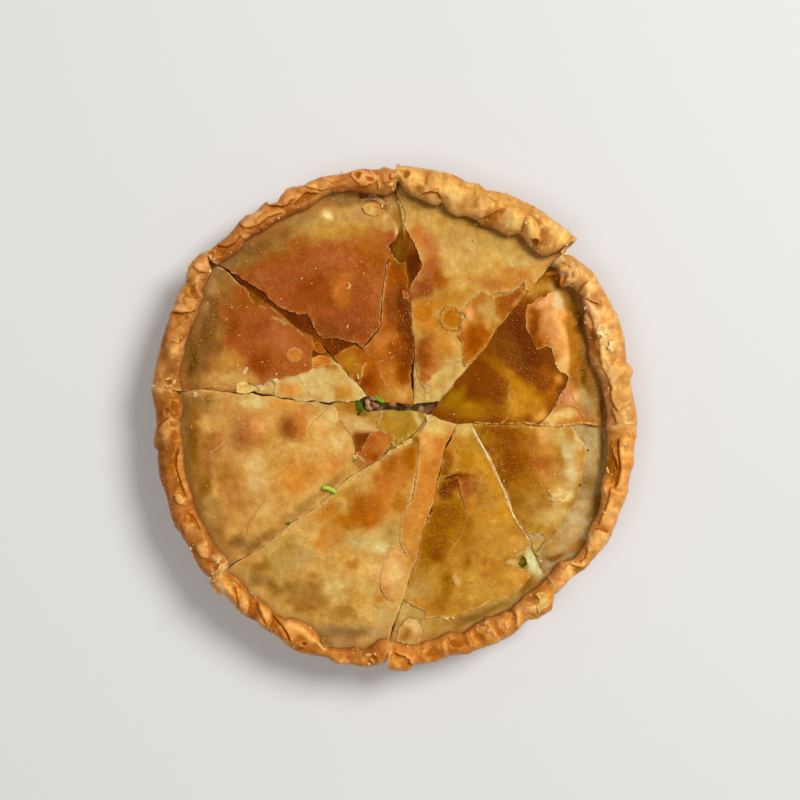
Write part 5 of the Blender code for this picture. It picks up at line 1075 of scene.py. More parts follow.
# Crumbs: slice, place and half sizes in pixels, direction and colour; and how many tiny ones
# are scattered on each slice
CRUMBS = [
    (8, 246, 371, 2.5, 1, 50, (241, 212, 155)), (8, 277, 374, 1.1, 1.1, 0, (239, 207, 150)),
    (8, 276, 381, 2.2, 1.4, 10, (233, 202, 141)), (8, 270, 384, 1.2, 0.8, 0, (233, 201, 141)),
    (8, 262, 388, 2.5, 0.9, -30, (241, 214, 164)), (8, 176, 382, 2.9, 1.4, 70, (237, 203, 141)),
    (8, 170, 379, 2.2, 1.1, 20, (233, 194, 127)), (8, 173, 386, 2.2, 0.9, -20, (237, 203, 141)),
    (1, 302, 279, 1.4, 0.7, 60, (233, 196, 132)), (1, 316, 269, 0.9, 0.7, 0, (229, 184, 114)),
    (1, 312, 284, 0.9, 0.7, 0, (229, 184, 114)), (1, 364, 274, 0.9, 0.7, 0, (229, 184, 114)),
    (1, 382, 206, 1.2, 1.9, 0, (237, 203, 132)), (1, 384, 211, 1, 1, 0, (237, 203, 132)),
    (1, 388, 203, 2.8, 1.6, 20, (222, 156, 78)), (1, 391, 206, 1.8, 1.2, 60, (226, 162, 86)),
    (1, 392, 178, 2.4, 3.4, 10, (226, 160, 84)), (1, 391, 186, 3, 2.2, 30, (236, 186, 110)),
    (1, 395, 173, 1.4, 1.4, 0, (233, 188, 114)), (1, 371, 174, 2.2, 0.6, 60, (239, 207, 141)),
    (1, 378, 180, 2.2, 0.6, 75, (239, 207, 141)), (1, 380, 188, 2.2, 0.6, 80, (239, 207, 141)),
    (1, 210, 251, 2.5, 1, 50, (233, 197, 132)), (1, 212, 258, 2.3, 1, 80, (233, 197, 132)),
    (2, 474, 241, 1.2, 1.6, 0, (240, 200, 90)), (2, 554, 259, 2.0, 1.1, 40, (229, 179, 106)),
    (2, 559, 254, 3.0, 1.6, 40, (230, 176, 104)), (2, 565, 246, 2.0, 1.2, 45, (231, 184, 111)),
    (2, 571, 240, 1.5, 1.0, 40, (239, 205, 141)), (2, 427, 389, 0.9, 1.7, 0, (241, 214, 158)),
    (3, 553, 273, 8, 2.6, 14, (212, 126, 40)), (3, 563, 270, 4.5, 2.6, 10, (238, 170, 84)),
    (3, 561, 281, 5.5, 1.8, 80, (206, 116, 44)), (3, 558, 277, 3, 2, 60, (190, 100, 32)),
    (3, 564, 255, 2.2, 0.9, -20, (241, 211, 150)), (3, 562, 261, 1.9, 0.9, 70, (241, 211, 150)),
    (3, 570, 266, 2.9, 2.2, 60, (233, 186, 114)), (3, 573, 275, 2.9, 2.2, 80, (231, 180, 107)),
    (3, 567, 281, 3, 2.4, 60, (232, 178, 104)), (3, 565, 269, 2.2, 1.4, 10, (241, 212, 155)),
    (4, 549, 491, 1.6, 0.8, 30, (233, 190, 116)), (4, 553, 495, 2.4, 1.0, -35, (236, 198, 126)),
    (4, 558, 490, 2.2, 0.9, 40, (241, 207, 141)), (4, 562, 487, 1.8, 0.8, 55, (236, 196, 122)),
    (4, 550, 500, 1.7, 0.8, -20, (229, 184, 106)), (4, 560, 496, 1.5, 0.9, 10, (236, 196, 122)),
    (4, 606, 470, 1.2, 3.6, 10, (241, 207, 141)), (4, 603, 488, 1.1, 3.6, 15, (237, 197, 128)),
    (4, 541, 561, 1.2, 1.2, 0, (244, 226, 188)), (4, 538, 554, 1.6, 1.4, 0, (196, 176, 60)),
    (4, 588, 450, 1, 1, 0, (96, 60, 22)), (4, 580, 485, 1, 1, 0, (96, 60, 22)),
    (5, 486, 621, 3, 2.2, 20, (224, 166, 110)), (5, 488, 629, 3, 2, 60, (224, 166, 110)),
    (5, 511, 563, 1.2, 0.6, -40, (233, 194, 123)), (5, 516, 556, 1.3, 0.6, 30, (233, 194, 123)),
    (5, 514, 559, 1.2, 0.7, 10, (229, 184, 106)), (5, 518, 566, 1, 0.6, 0, (237, 201, 132)),
    (5, 536, 592, 1.7, 0.7, 30, (242, 203, 123)), (5, 541, 591, 1.7, 0.7, -20, (242, 203, 123)),
    (5, 545, 595, 1.3, 0.9, 60, (239, 194, 111)), (5, 538, 600, 1.6, 0.6, 70, (242, 201, 118)),
    (5, 544, 602, 1.6, 1.2, 0, (240, 190, 106)), (5, 540, 608, 1.4, 0.6, 50, (237, 188, 109)),
    (5, 547, 603, 0.9, 0.6, 30, (244, 216, 158)), (5, 408, 605, 1, 1, 0, (242, 218, 172)),
    (5, 447, 619, 2.2, 1.2, 0, (241, 211, 150)), (5, 453, 618, 1.6, 1, 20, (241, 211, 150)),
    (6, 368, 653, 3, 2, 20, (220, 166, 98)), (6, 372, 658, 3, 2, -40, (208, 146, 76)),
    (6, 369, 662, 2.6, 1.8, 10, (226, 176, 112)), (6, 375, 652, 1.4, 1.2, 0, (229, 184, 120)),
    (6, 235, 582, 1.6, 1.3, 0, (229, 188, 123)), (6, 236, 594, 1.6, 1.3, 0, (225, 179, 109)),
    (6, 256, 596, 0.9, 0.9, 0, (229, 188, 123)), (6, 275, 607, 0.9, 0.9, 0, (229, 188, 123)),
    (6, 283, 535, 0.9, 0.9, 0, (242, 222, 181)), (6, 389, 454, 2.0, 0.9, 20, (239, 211, 150)),
    (6, 398, 447, 1.8, 1.2, 20, (236, 206, 150)), (6, 405, 443.5, 1.6, 1.0, -20, (230, 196, 134)),
    (6, 410, 440, 1.8, 1.1, 30, (236, 206, 150)), (6, 401, 448, 1.1, 0.8, 0, (238, 210, 156)),
    (7, 393, 443, 1.5, 1.0, 0, (226, 184, 120)), (7, 402, 439, 1.3, 0.9, 40, (230, 190, 124)),
    (7, 398, 442, 1.2, 1.0, 0, (206, 158, 92)), (7, 408, 435, 1.4, 0.9, -30, (232, 196, 132)),
    (7, 195, 394, 1.7, 1.4, 0, (233, 201, 141)), (7, 213, 428, 0.7, 2.2, 0, (229, 188, 123)),
    (7, 191, 427, 0.7, 1.7, -20, (229, 188, 123)), (7, 223, 460, 0.7, 0.7, 0, (233, 194, 132)),
    (7, 303, 460, 0.9, 0.7, 0, (233, 194, 132)), (7, 214, 572, 2.2, 1, 30, (237, 201, 139)),
    (7, 222, 572, 2.4, 1.2, 40, (237, 201, 139)), (7, 228, 566, 2.2, 1.2, 60, (233, 194, 128)),
    (7, 219, 561, 2.3, 0.9, 30, (239, 207, 148)), (7, 211, 577, 1.9, 1.1, 20, (225, 179, 111)),
]
CRUMBS_A_SLICE = 190

# Lumps of meat at the hole: slice, place in pixels, half sizes in millimetres, direction, colour
MEAT = [
    (7, 368, 405, (2.1, 3.0, 3.0), 20, (200, 158, 122)),
    (7, 376, 406, (1.8, 1.9, 2.6), 0, (178, 130, 88)),
    (1, 373, 399, (2.4, 1.3, 2.8), 0, (172, 148, 122)),
    (1, 393, 404.5, (2.2, 1.3, 2.4), 0, (186, 142, 92)),
    (1, 408, 405, (3.0, 1.3, 1.8), 0, (110, 74, 34)),
    (7, 373, 404, (0.9, 1.0, 3.4), 0, (206, 128, 50)),
]

# Herb leaves: height, thickness, colour and outline
HERBS = [
    (27.3, 0.5, (62, 92, 22), [(356, 400), (360, 401), (363, 404), (363, 408), (364, 411),
     (361, 412), (358, 409), (357, 405)]),
    (27.6, 0.5, (122, 158, 40), [(375, 396), (378, 396), (381, 399), (384, 400), (384, 403),
     (380, 402), (377, 400)]),
    (27.0, 0.5, (62, 66, 12), [(378, 403), (384, 403), (385, 406), (379, 407)]),
    (25.6, 0.5, (52, 64, 14), [(408, 401), (420, 402), (432, 401), (431, 404), (418, 405),
     (409, 404)]),
    (24.6, 0.5, (60, 62, 14), [(396, 406), (404, 405), (407, 408), (399, 409)]),
]

# Green bits: slice, place in pixels, half sizes in millimetres, direction and colour
GREEN_BITS = [
    (7, 288, 523, (1.0, 0.8, 0.6), 20, (92, 106, 32)),
    (4, 538, 554, (1.0, 0.9, 0.7), 0, (186, 182, 60)),
    (7, 359, 414, (0.8, 0.7, 0.5), 40, (62, 66, 16)),
]

# The chopped spring onion: its slice, its two ends in pixels, and its colours, whose light and
# dark ones are painted light and shade on its upper and lower sides
ONION_SLICE = 7
ONION = [(323, 487), (336, 492)]
ONION_LIGHT = (190, 210, 84)
ONION_DARK = (110, 150, 26)
ONION_END = (206, 216, 130)

# The rope of each slice: its colour, its fine outer and inner outlines, and its patches. Its
# colour is lighter on the slices at the upper right and darker on those at the left, partly
# painted light and shade
ROPES = {
    1: dict(base=(196, 128, 62), outer=[
        (198, 258), (211, 250), (216, 246), (228, 236), (235, 228), (240, 221), (246, 216),
        (252, 215), (258, 210), (266, 202), (270, 205), (277, 203), (281, 196), (286, 190),
        (292, 187), (298, 187), (305, 185), (312, 181), (320, 178), (330, 176), (340, 175),
        (348, 173), (363, 169), (372, 170), (380, 170), (384, 167), (393, 170), (400, 169),
    ], inner=[
        (208, 272), (220, 264), (228, 259), (236, 254), (241, 249), (244, 243), (250, 238),
        (258, 234), (264, 231), (270, 226), (277, 222), (283, 219), (290, 216), (297, 213),
        (305, 210), (312, 206), (319, 200), (326, 196), (332, 193), (340, 193), (348, 191),
        (356, 192), (364, 194), (372, 195), (386, 196), (391, 194), (396, 190), (402, 188),
    ], patches=[
        (240, 232, 30, 14, 35, (180, 116, 58), 0.7), (366, 178, 14, 9, 0, (190, 112, 50), 0.8),
        (320, 190, 16, 10, 20, (222, 164, 94), 0.6),
    ]),
    2: dict(base=(226, 170, 96), outer=[
        (390, 165), (396, 164), (402, 166), (410, 167), (430, 170), (450, 174), (458, 177),
        (466, 182), (480, 185), (485, 190), (503, 193), (512, 196), (522, 201), (540, 210),
        (550, 218), (560, 225), (568, 231), (575, 238), (582, 246),
    ], inner=[
        (394, 183), (400, 183), (404, 190), (410, 196), (418, 199), (430, 205), (436, 206),
        (441, 203), (448, 213), (456, 217), (464, 216), (476, 221), (479, 225), (494, 229),
        (500, 233), (508, 237), (514, 235), (519, 234), (524, 240), (529, 247), (536, 253),
        (543, 257), (550, 256), (557, 253), (563, 247), (570, 242),
    ], patches=[
        # The patch at (455, 200) is partly painted light, and the one at (420, 192) painted shade
        # in a fold
        (455, 200, 20, 14, 20, (240, 190, 116), 0.7), (490, 220, 9, 10, 0, (176, 112, 56), 0.8),
        (420, 192, 6, 4, -15, (148, 84, 26), 0.6), (441, 197, 9, 5, -20, (184, 112, 44), 0.6),
        # The patch at (533, 243) is painted shade in a burst bubble's hollow
        (533, 243, 5, 5, 0, (120, 70, 30), 0.8), (480, 188, 60, 6, -16, (226, 166, 86), 0.7),
    ]),
    3: dict(base=(212, 152, 80), outer=[
        (553, 245), (564, 253), (572, 256), (580, 262), (588, 268), (593, 273), (598, 281),
        (603, 290), (608, 298), (613, 308), (618, 318), (621, 328), (624, 338), (625, 350),
        (626, 362), (630, 366), (633, 371), (631, 377), (630, 384), (632, 392), (634, 402),
        (636, 412), (637, 423), (637, 434),
    ], inner=[
        (544, 258), (552, 266), (558, 270), (560, 278), (562, 288), (570, 286), (576, 292),
        (581, 298), (584, 312), (583, 320), (585, 332), (588, 352), (590, 362), (596, 370),
        (600, 380), (602, 390), (604, 400), (606, 410), (606, 424), (606, 436),
    ], patches=[
        # The patch at (587, 310) is painted light on the rope's inner fold
        (587, 310, 8, 16, 20, (232, 172, 108), 0.95), (591, 344, 5, 16, 8, (180, 106, 40), 0.8),
        (603, 335, 6, 9, 0, (236, 184, 106), 0.7), (564, 272, 12, 12, 0, (226, 178, 112), 0.6),
    ]),
    4: dict(base=(222, 156, 80), outer=[
        (636, 414), (636, 426), (636, 436), (634, 446), (633, 456), (634, 464), (631, 470),
        (629, 480), (628, 490), (625, 500), (620, 510), (617, 520), (613, 530), (610, 538),
        (604, 546), (598, 552), (592, 560), (586, 567), (578, 572), (570, 578), (563, 586),
        (558, 592), (550, 600),
    ], inner=[
        (606, 414), (606, 427), (607, 440), (607, 450), (606, 460), (605, 470), (602, 478),
        (600, 488), (601, 495), (600, 505), (597, 515), (592, 523), (588, 532), (586, 543),
        (573, 559), (558, 563), (551, 573), (540, 582),
    ], patches=[
        (612, 464, 5, 24, 0, (156, 84, 20), 0.85), (617, 446, 3, 12, 0, (180, 104, 34), 0.8),
        (590, 555, 14, 12, 40, (212, 150, 76), 0.6),
    ]),
    5: dict(base=(208, 136, 60), outer=[
        (568, 582), (555, 594), (554, 607), (539, 617), (528, 619), (516, 632), (496, 643),
        (480, 648), (469, 653), (451, 655), (437, 661), (416, 664), (410, 670), (398, 671),
        (385, 668), (378, 667),
    ], inner=[
        (548, 578), (534, 589), (523, 596), (518, 602), (513, 605), (510, 611), (503, 612),
        (497, 616), (484, 618), (482, 621), (475, 624), (467, 630), (462, 634), (455, 633),
        (448, 632), (443, 634), (438, 638), (432, 640), (425, 641), (420, 644), (413, 645),
        (405, 645), (392, 641), (384, 640),
    ], patches=[
        (435, 650, 11, 8, 0, (190, 118, 46), 0.7), (458, 640, 11, 8, 0, (186, 114, 42), 0.7),
        (480, 634, 10, 7, 0, (190, 120, 48), 0.6), (525, 612, 18, 12, 30, (226, 168, 92), 0.7),
    ]),
    6: dict(base=(198, 128, 56), outer=[
        (398, 652), (388, 657), (386, 662), (380, 664), (366, 667), (358, 666), (352, 664),
        (338, 663), (333, 661), (328, 657), (312, 655), (303, 653), (295, 650), (289, 646),
        (283, 640), (277, 635), (268, 630), (262, 627), (258, 622), (246, 616), (240, 612),
        (236, 606), (230, 600), (225, 594), (220, 594), (215, 590), (212, 585), (204, 576),
    ], inner=[
        (398, 639), (390, 639), (385, 638), (378, 639), (373, 643), (368, 648), (364, 650),
        (360, 648), (355, 646), (350, 648), (335, 648), (328, 645), (322, 641), (318, 634),
        (312, 627), (305, 622), (297, 619), (290, 617), (284, 618), (278, 616), (273, 612),
        (268, 606), (262, 601), (256, 596), (250, 595), (246, 588), (240, 580), (235, 575),
        (228, 572), (220, 564),
    ], patches=[
        (300, 634, 22, 10, 20, (200, 128, 54), 0.8), (240, 600, 16, 12, -40, (206, 138, 66), 0.6),
        (220, 588, 8, 8, 0, (226, 180, 116), 0.8),
    ]),
    7: dict(base=(186, 118, 54), outer=[
        (220, 588), (212, 580), (208, 577), (203, 572), (198, 564), (194, 556), (190, 548),
        (185, 540), (181, 533), (176, 528), (173, 520), (170, 510), (168, 500), (165, 490),
        (161, 480), (159, 470), (158, 450), (154, 445), (155, 435), (157, 425), (156, 410),
        (154, 400), (152, 390), (152, 380),
    ], inner=[
        (236, 574), (228, 568), (230, 562), (226, 556), (220, 551), (215, 545), (210, 536),
        (206, 528), (201, 520), (197, 512), (194, 503), (193, 495), (190, 487), (187, 478),
        (185, 468), (184, 448), (182, 438), (181, 428), (180, 420), (183, 414), (184, 406),
        (182, 398), (178, 392), (176, 384),
    ], patches=[
        # The patch at (165, 440) is painted shade on the outer flank, turned from the light
        (165, 440, 5, 60, 0, (150, 92, 44), 0.7), (222, 562, 8, 10, 0, (232, 194, 132), 0.8),
    ]),
    8: dict(base=(198, 134, 68), outer=[
        (152, 398), (153, 386), (154, 378), (156, 366), (158, 356), (161, 347), (163, 337),
        (167, 326), (170, 315), (174, 305), (177, 296), (182, 288), (186, 282), (186, 275),
        (188, 268), (193, 261), (200, 255), (204, 252), (212, 244),
    ], inner=[
        (182, 398), (182, 388), (179, 378), (181, 368), (184, 358), (185, 348), (188, 338),
        (190, 330), (195, 322), (198, 314), (199, 308), (203, 300), (202, 292), (206, 284),
        (210, 276), (212, 268), (210, 262), (212, 256),
    ], patches=[
        # The patch at (165, 340) is painted shade on the outer flank, turned from the light
        (165, 340, 6, 50, 12, (148, 90, 44), 0.7),
    ]),
}

# Moist materials: scale and detail of their grain, where its spots begin and are full, what
# the tint is multiplied by there, strength and depth of the relief in millimetres, roughness,
# and level and colour of the highlights
FILLING_LOOK = dict(
    grain=(700.0, 4.0), spots=(0.55, 0.35), veil=(0.5, 0.42, 0.34), relief=(0.5, 0.6),
    roughness=0.45, highlights=(0.4, (1.0, 0.75, 0.45)))
HERB_LOOK = dict(
    grain=(1400.0, 3.0), spots=(0.5, 0.65), veil=(1.3, 1.25, 1.3), relief=(0.4, 0.2),
    roughness=0.5, highlights=(0.25, (0.7, 1.0, 0.3)))

# Lights: name, place, diameter and power, all in metres and watts
LIGHTS = [
    ("key", (1.50, 1.05, 2.10), 1.2, 60.0),
    ("overhead", (-0.50, -0.30, 1.9), 1.2, 8.5),
]
ROOM_LIGHT = 0.215

# The camera: its height above what is in focus, that one's height, and the sensor's width, in
# metres and in millimetres
CAMERA_HEIGHT = 0.80
IN_VIEW_Z = 0.024
SENSOR_WIDTH = 36.0


def at(points):
    """Pixels of the photograph as millimetres round the pie's middle."""
    return (np.asarray(points, float).reshape(-1, 2) - MIDDLE_PX) * (PIXEL, -PIXEL)


def unit(ways):
    """Directions as vectors of length 1."""
    return ways / np.linalg.norm(ways, axis=1)[:, None]


def left_of(ways):
    """Directions turned a quarter to the left."""
    return np.column_stack([-ways[:, 1], ways[:, 0]])


def gradient_table(seed):
    """(order, directions) that noise with a seed is made from."""
    rng = np.random.default_rng(seed)
    ways = rng.normal(size=(NOISE_CELLS, 3))
    return rng.permutation(NOISE_CELLS), unit(ways)


TABLES = {}


def noise(points, size, seed=0, octaves=3):
    """Smooth fractal noise of about -1 to 1 at points in millimetres, with bumps of a size."""
    p = np.asarray(points, float)
    if p.shape[1] == 2:
        p = np.column_stack([p, np.full(len(p), NOISE_LEVEL)])
    total, weight = np.zeros(len(p)), 1.0
    for octave in range(octaves):
        if (seed, octave) not in TABLES:
            TABLES[seed, octave] = gradient_table(seed * 17 + octave)
        order, ways = TABLES[seed, octave]
        q = p / size * 2**octave + NOISE_SHIFT * octave
        cell = np.floor(q).astype(int)
        part = q - cell
        ease = part**3 * (part * (part * 6 - 15) + 10)
        value = np.zeros(len(p))
        for corner in range(8):
            step = np.array([corner & 1, corner >> 1 & 1, corner >> 2])
            c = (cell + step) & (NOISE_CELLS - 1)
            row = order[(order[c[:, 0]] + c[:, 1]) & (NOISE_CELLS - 1)]
            way = ways[order[(row + c[:, 2]) & (NOISE_CELLS - 1)]]
            share = np.prod(np.where(step, ease, 1 - ease), axis=1)
            value += share * ((part - step) * way).sum(axis=1)
        total += value * weight * NOISE_GAIN
        weight *= 0.5
    return total


def warped(xy, amount=2.2, size=9.0, seed=5, octaves=3):
    """Points shifted by noise, so that patches and outlines get irregular edges."""
    shifts = [noise(xy, size, seed, octaves), noise(xy, size, seed + 1, octaves)]
    return xy + amount * np.column_stack(shifts)


def turned(away, degrees):
    """The parts of offsets along a direction and to its left."""
    c, s = math.cos(math.radians(degrees)), math.sin(math.radians(degrees))
    return away[:, 0] * c + away[:, 1] * s, away[:, 1] * c - away[:, 0] * s


def in_spot(away, long, wide, turn):
    """Offsets along and across a spot, as shares of its half sizes in pixels."""
    along, across = turned(away, turn)
    return along / (long * PIXEL), across / (wide * PIXEL)


def bump(xy, x, y, long, wide, turn, power=2.0):
    """A soft spot of height 1 at a place, whose half sizes are in pixels."""
    along, across = in_spot(xy - at((x, y)), long, wide, turn)
    return np.exp(-((along**2 + across**2) ** (power / 2)))


def fading(distance, width):
    """1 at no distance, falling off smoothly over a width."""
    return np.exp(-((distance / width) ** 2))


def smooth(value, low, high):
    """A smooth step from 0 where the value is low to 1 where it is high."""
    share = np.clip((value - low) / (high - low), 0, 1)
    return share * share * (3 - 2 * share)


def nearest(xy, path, closed=False):
    """(distance, side, length) of each point from a path: side is 1 at its left and -1 at its
    right, and length is how far along the path its nearest point lies."""
    ends = np.roll(path, -1, axis=0) if closed else path[1:]
    best, side, along = np.full(len(xy), 1e9), np.ones(len(xy)), np.zeros(len(xy))
    passed = 0.0
    for a, b in zip(path, ends):
        d = b - a
        away = xy - a
        share = np.clip(away @ d / (d @ d + 1e-12), 0, 1)
        off = away - share[:, None] * d
        far = np.hypot(off[:, 0], off[:, 1])
        closer = far < best
        best[closer] = far[closer]
        side[closer] = np.sign(d[0] * away[closer, 1] - d[1] * away[closer, 0])
        length = float(np.hypot(*d))
        along[closer] = passed + share[closer] * length
        passed += length
    return best, side, along


def beside(xy, path, reach, end):
    """Which points lie within a reach of a path: (their numbers, distance and side, and a share
    that fades out over the path's ends)."""
    near = np.nonzero((np.abs(xy - path.mean(0)) < np.ptp(path, axis=0) / 2 + reach).all(1))[0]
    away, side, along = nearest(xy[near], path)
    length = np.linalg.norm(np.diff(path, axis=0), axis=1).sum()
    fade = np.clip(np.minimum(along, length - along) / min(end, length / 3), 0, 1) ** 0.7
    return near, away, side, fade


def inside(polygon, xy):
    """Which of the points lie in the polygon."""
    hit = np.zeros(len(xy), bool)
    x, y = xy[:, 0], xy[:, 1]
    for a, b in zip(polygon, np.roll(polygon, -1, axis=0)):
        if a[1] == b[1]:
            continue
        crosses = (a[1] > y) != (b[1] > y)
        hit ^= crosses & (x < (b[0] - a[0]) * (y - a[1]) / (b[1] - a[1]) + a[0])
    return hit


def signed_area(outline):
    """The outline's area, which is positive where it runs counter-clockwise."""
    x, y = outline.T
    return float((x * np.roll(y, -1) - np.roll(x, -1) * y).sum()) / 2


def divided(path, step, closed=True):
    """A path with its long sides divided."""
    ends = np.roll(path, -1, axis=0) if closed else path[1:]
    out = []
    for a, b in zip(path, ends):
        parts = max(1, round(float(np.linalg.norm(b - a)) / step))
        out += [a + (b - a) * i / parts for i in range(parts)]
    return np.array(out if closed else out + [path[-1]])


def ragged(path, step, rough, seed):
    """A divided closed path whose points are shifted by noise, as broken pastry is."""
    return warped(divided(path, step), rough, size=2.6, seed=seed, octaves=4)


def inset(polygon, distances):
    """The counter-clockwise polygon with each corner moved inwards by its distance."""
    to_next = unit(np.roll(polygon, -1, axis=0) - polygon)
    bisector = left_of(to_next) + left_of(np.roll(to_next, 1, axis=0))
    length = np.maximum((bisector * bisector).sum(axis=1), 0.5)
    return polygon + 2 * bisector / length[:, None] * np.array(distances)[:, None]


def wedge_of(number, closed_up=1.0):
    """The outline between a slice's cuts, counter-clockwise, past the rim. The gap that the
    cuts leave is multiplied by closed_up."""
    spec = SLICES[number - 1]
    sides = []
    for name in spec["cuts"]:
        cut = np.array(CUTS[name])
        sides.append((at(cut[:, :2]), list(cut[:, 2])))
    (first, first_gaps), (last, last_gaps) = sides
    middle = list(at(spec["tip"]))
    path = list(first) + middle + list(last[::-1])
    gaps = first_gaps + [NARROW] * len(middle) + last_gaps[::-1]
    keep = [i for i in range(len(path)) if i == 0 or math.dist(path[i], path[i - 1]) > 1e-3]
    path, gaps = [path[i] for i in keep], [gaps[i] for i in keep]
    start, end = path[0], path[-1]
    past_rim = [end * PAST_RIM, (start + end) * PAST_RIM_MIDDLE, start * PAST_RIM]
    gaps = [gap * closed_up for gap in gaps] + [0.0] * PAST_RIM_POINTS
    return inset(np.array(path + past_rim), gaps)


def broken_wedge(number, step, closed_up=1.0):
    """The slice's outline with a cut's small wander, which its neighbour shares."""
    return warped(divided(wedge_of(number, closed_up), step), amount=0.2, size=4.5, seed=901)


def rough_wedge(number, seed, rough):
    """The slice's outline between its cuts, broken back a little here and there."""
    path = broken_wedge(number, 0.7)
    along = unit(np.roll(path, -1, axis=0) - np.roll(path, 1, axis=0))
    pull = 0.04 + rough * np.clip(1.7 * noise(path, 2.8, seed, octaves=4) - 0.15, 0, 1.6)
    return path + left_of(along) * pull[:, None]


def polar_curve(points):
    """(clockwise angles, radii) of an outline that runs round the pie."""
    xy = at(points)
    angle = np.unwrap(np.arctan2(xy[:, 0], xy[:, 1]))
    angle -= 2 * math.pi * math.floor(angle.mean() / (2 * math.pi))
    order = np.argsort(angle)
    return angle[order], np.hypot(*xy.T)[order]


def angle_near(xy, middle):
    """The clockwise angle of each point, within half a turn of a middle one."""
    angle = np.arctan2(xy[:, 0], xy[:, 1])
    return middle + (angle - middle + math.pi) % (2 * math.pi) - math.pi


def round_pie(turn, radius):
    """Points at clockwise angles and radii round the pie's middle."""
    return np.column_stack([(np.sin(turn) * radius).ravel(), (np.cos(turn) * radius).ravel()])


def sector(turn, radius, middle):
    """The counter-clockwise outline of an arc that is closed behind the pie's middle."""
    arc = round_pie(turn, radius)
    back = np.array([math.sin(middle), math.cos(middle)]) * -SECTOR_LENGTH
    return np.vstack([arc, [arc[-1] + back, arc[0] + back]])[::-1]


def rope_radii(number):
    """The rope's outer and inner edges, and the gentle curve that the side follows."""
    spec = SLICES[number - 1]
    outer, inner = polar_curve(spec["outer"]), polar_curve(spec["inner"])
    return outer, inner, np.poly1d(np.polyfit(*outer, 2))


def rope_distance(number, xy):
    """How far each point lies inside the rope's inner edge."""
    _, inner, _ = rope_radii(number)
    return np.interp(angle_near(xy, inner[0].mean()), *inner) - np.hypot(*xy.T)


def cut_angles(number):
    """Functions that give the clockwise angle of each of the slice's sides at a radius."""
    wedge = wedge_of(number)
    spec = SLICES[number - 1]
    middle = polar_curve(spec["outer"])[0].mean()
    found = []
    first, last = (len(CUTS[name]) for name in spec["cuts"])
    for part in (wedge[: first - 1], wedge[1 - PAST_RIM_POINTS - last : -PAST_RIM_POINTS]):
        radius, angle = np.hypot(*part.T), angle_near(part, middle)
        order = np.argsort(radius)
        found.append((radius[order], angle[order]))
    return [lambda r, curve=curve: np.interp(r, *curve) for curve in found]


def lid_area(number):
    """The outline inside the rope, past both cuts, that the lid's layers are trimmed by."""
    _, (angles, radii), _ = rope_radii(number)
    turn = np.linspace(angles[0] - 0.06, angles[-1] + 0.06, 90)
    radius = np.interp(turn, angles, radii) + LID_UNDER_ROPE
    return sector(turn, radius, (angles[0] + angles[-1]) / 2)


def ring_area(number, inset_by):
    """The outline of a sector past both cuts, a distance in from the rope's outer edge."""
    (angles, _), _, smooth_radius = rope_radii(number)
    turn = np.linspace(angles[0] - 0.1, angles[-1] + 0.1, 40)
    radius = smooth_radius(np.clip(turn, angles[0], angles[-1])) - inset_by
    return sector(turn, radius, (angles[0] + angles[-1]) / 2)


def holes_of(number):
    """The ragged openings of a slice's lid."""
    if number in (1, 2, 3, 7, 8):
        return [ragged(at(HOLE), step=0.8, rough=0.4, seed=61)]
    if number == 5:
        return [ragged(at(TORN_CORNER), step=0.8, rough=0.4, seed=67)]
    return []


def dome_height(xy):
    """Height of the lid without its swells."""
    reach = np.clip(np.hypot(xy[:, 0] / LID_EDGE_RADIUS[0], xy[:, 1] / LID_EDGE_RADIUS[1]), 0, 1)
    return LID_EDGE_Z + (LID_MIDDLE_Z - LID_EDGE_Z) * (1 - reach**LID_FALL_POWER)


def lid_height(xy):
    """Height of the lid's lower layer."""
    z = dome_height(xy)
    for *place, height in SWELLS:
        z = z + height * bump(xy, *place)
    return z + 0.28 * noise(xy, 14.0, 21) + 0.07 * noise(xy, 3.5, 23)


def plain(colour, count):
    """One colour for each of a number of points."""
    return np.tile(np.array(colour, float), (count, 1))


def mix(colour, other, share):
    """Colours drawn towards another one by a share at each point."""
    return colour + (np.array(other, float) - colour) * np.asarray(share)[:, None]


def painted(xy, base, patches):
    """Colours of soft listed patches over a base colour."""
    moved = warped(xy)
    colour = plain(base, len(xy))
    for *place, paint, strength in patches:
        share = strength * bump(moved, *place, PATCH_POWER)[:, None]
        colour += (np.array(paint, float) - colour) * share
    return np.maximum(MIDDLING + CONTRAST * (colour - MIDDLING), LEAST_PAINT)


def mottled(colour, xy, amount=1.0, seed=40):
    """Colours with the baked pastry's uneven browning."""
    cloud = 0.075 * noise(xy, 11.0, seed + 3) + 0.085 * noise(xy, 4.5, seed, octaves=4)
    shade = 1 + amount * (cloud + 0.05 * noise(xy, 1.4, seed + 1))
    warm = 1 + amount * (0.8 * cloud + 0.035 * noise(xy, 5.0, seed + 2))
    return colour * np.column_stack([shade**0.6, shade * warm**0.5, shade * warm**1.6])


def darkened_at_rope(colour, number, xy):
    """Colours of a lid whose trough by the rope is darker and duller, partly its browning and
    partly painted shade under the rope.
    """
    away = rope_distance(number, xy) + 1.2 * noise(xy, 7.0, 51)
    return mix(colour, TROUGH_TONE_AND_SHADE, TROUGH_SHARE[number] * fading(np.maximum(away, 0), TROUGH_WIDTH))


def linear(srgb):
    """Linear values of sRGB colours, from 0 to 1."""
    c = np.clip(np.array(srgb, float) / 255, 0, 1)
    return np.where(c <= 0.04045, c / 12.92, ((c + 0.055) / 1.055) ** 2.4)


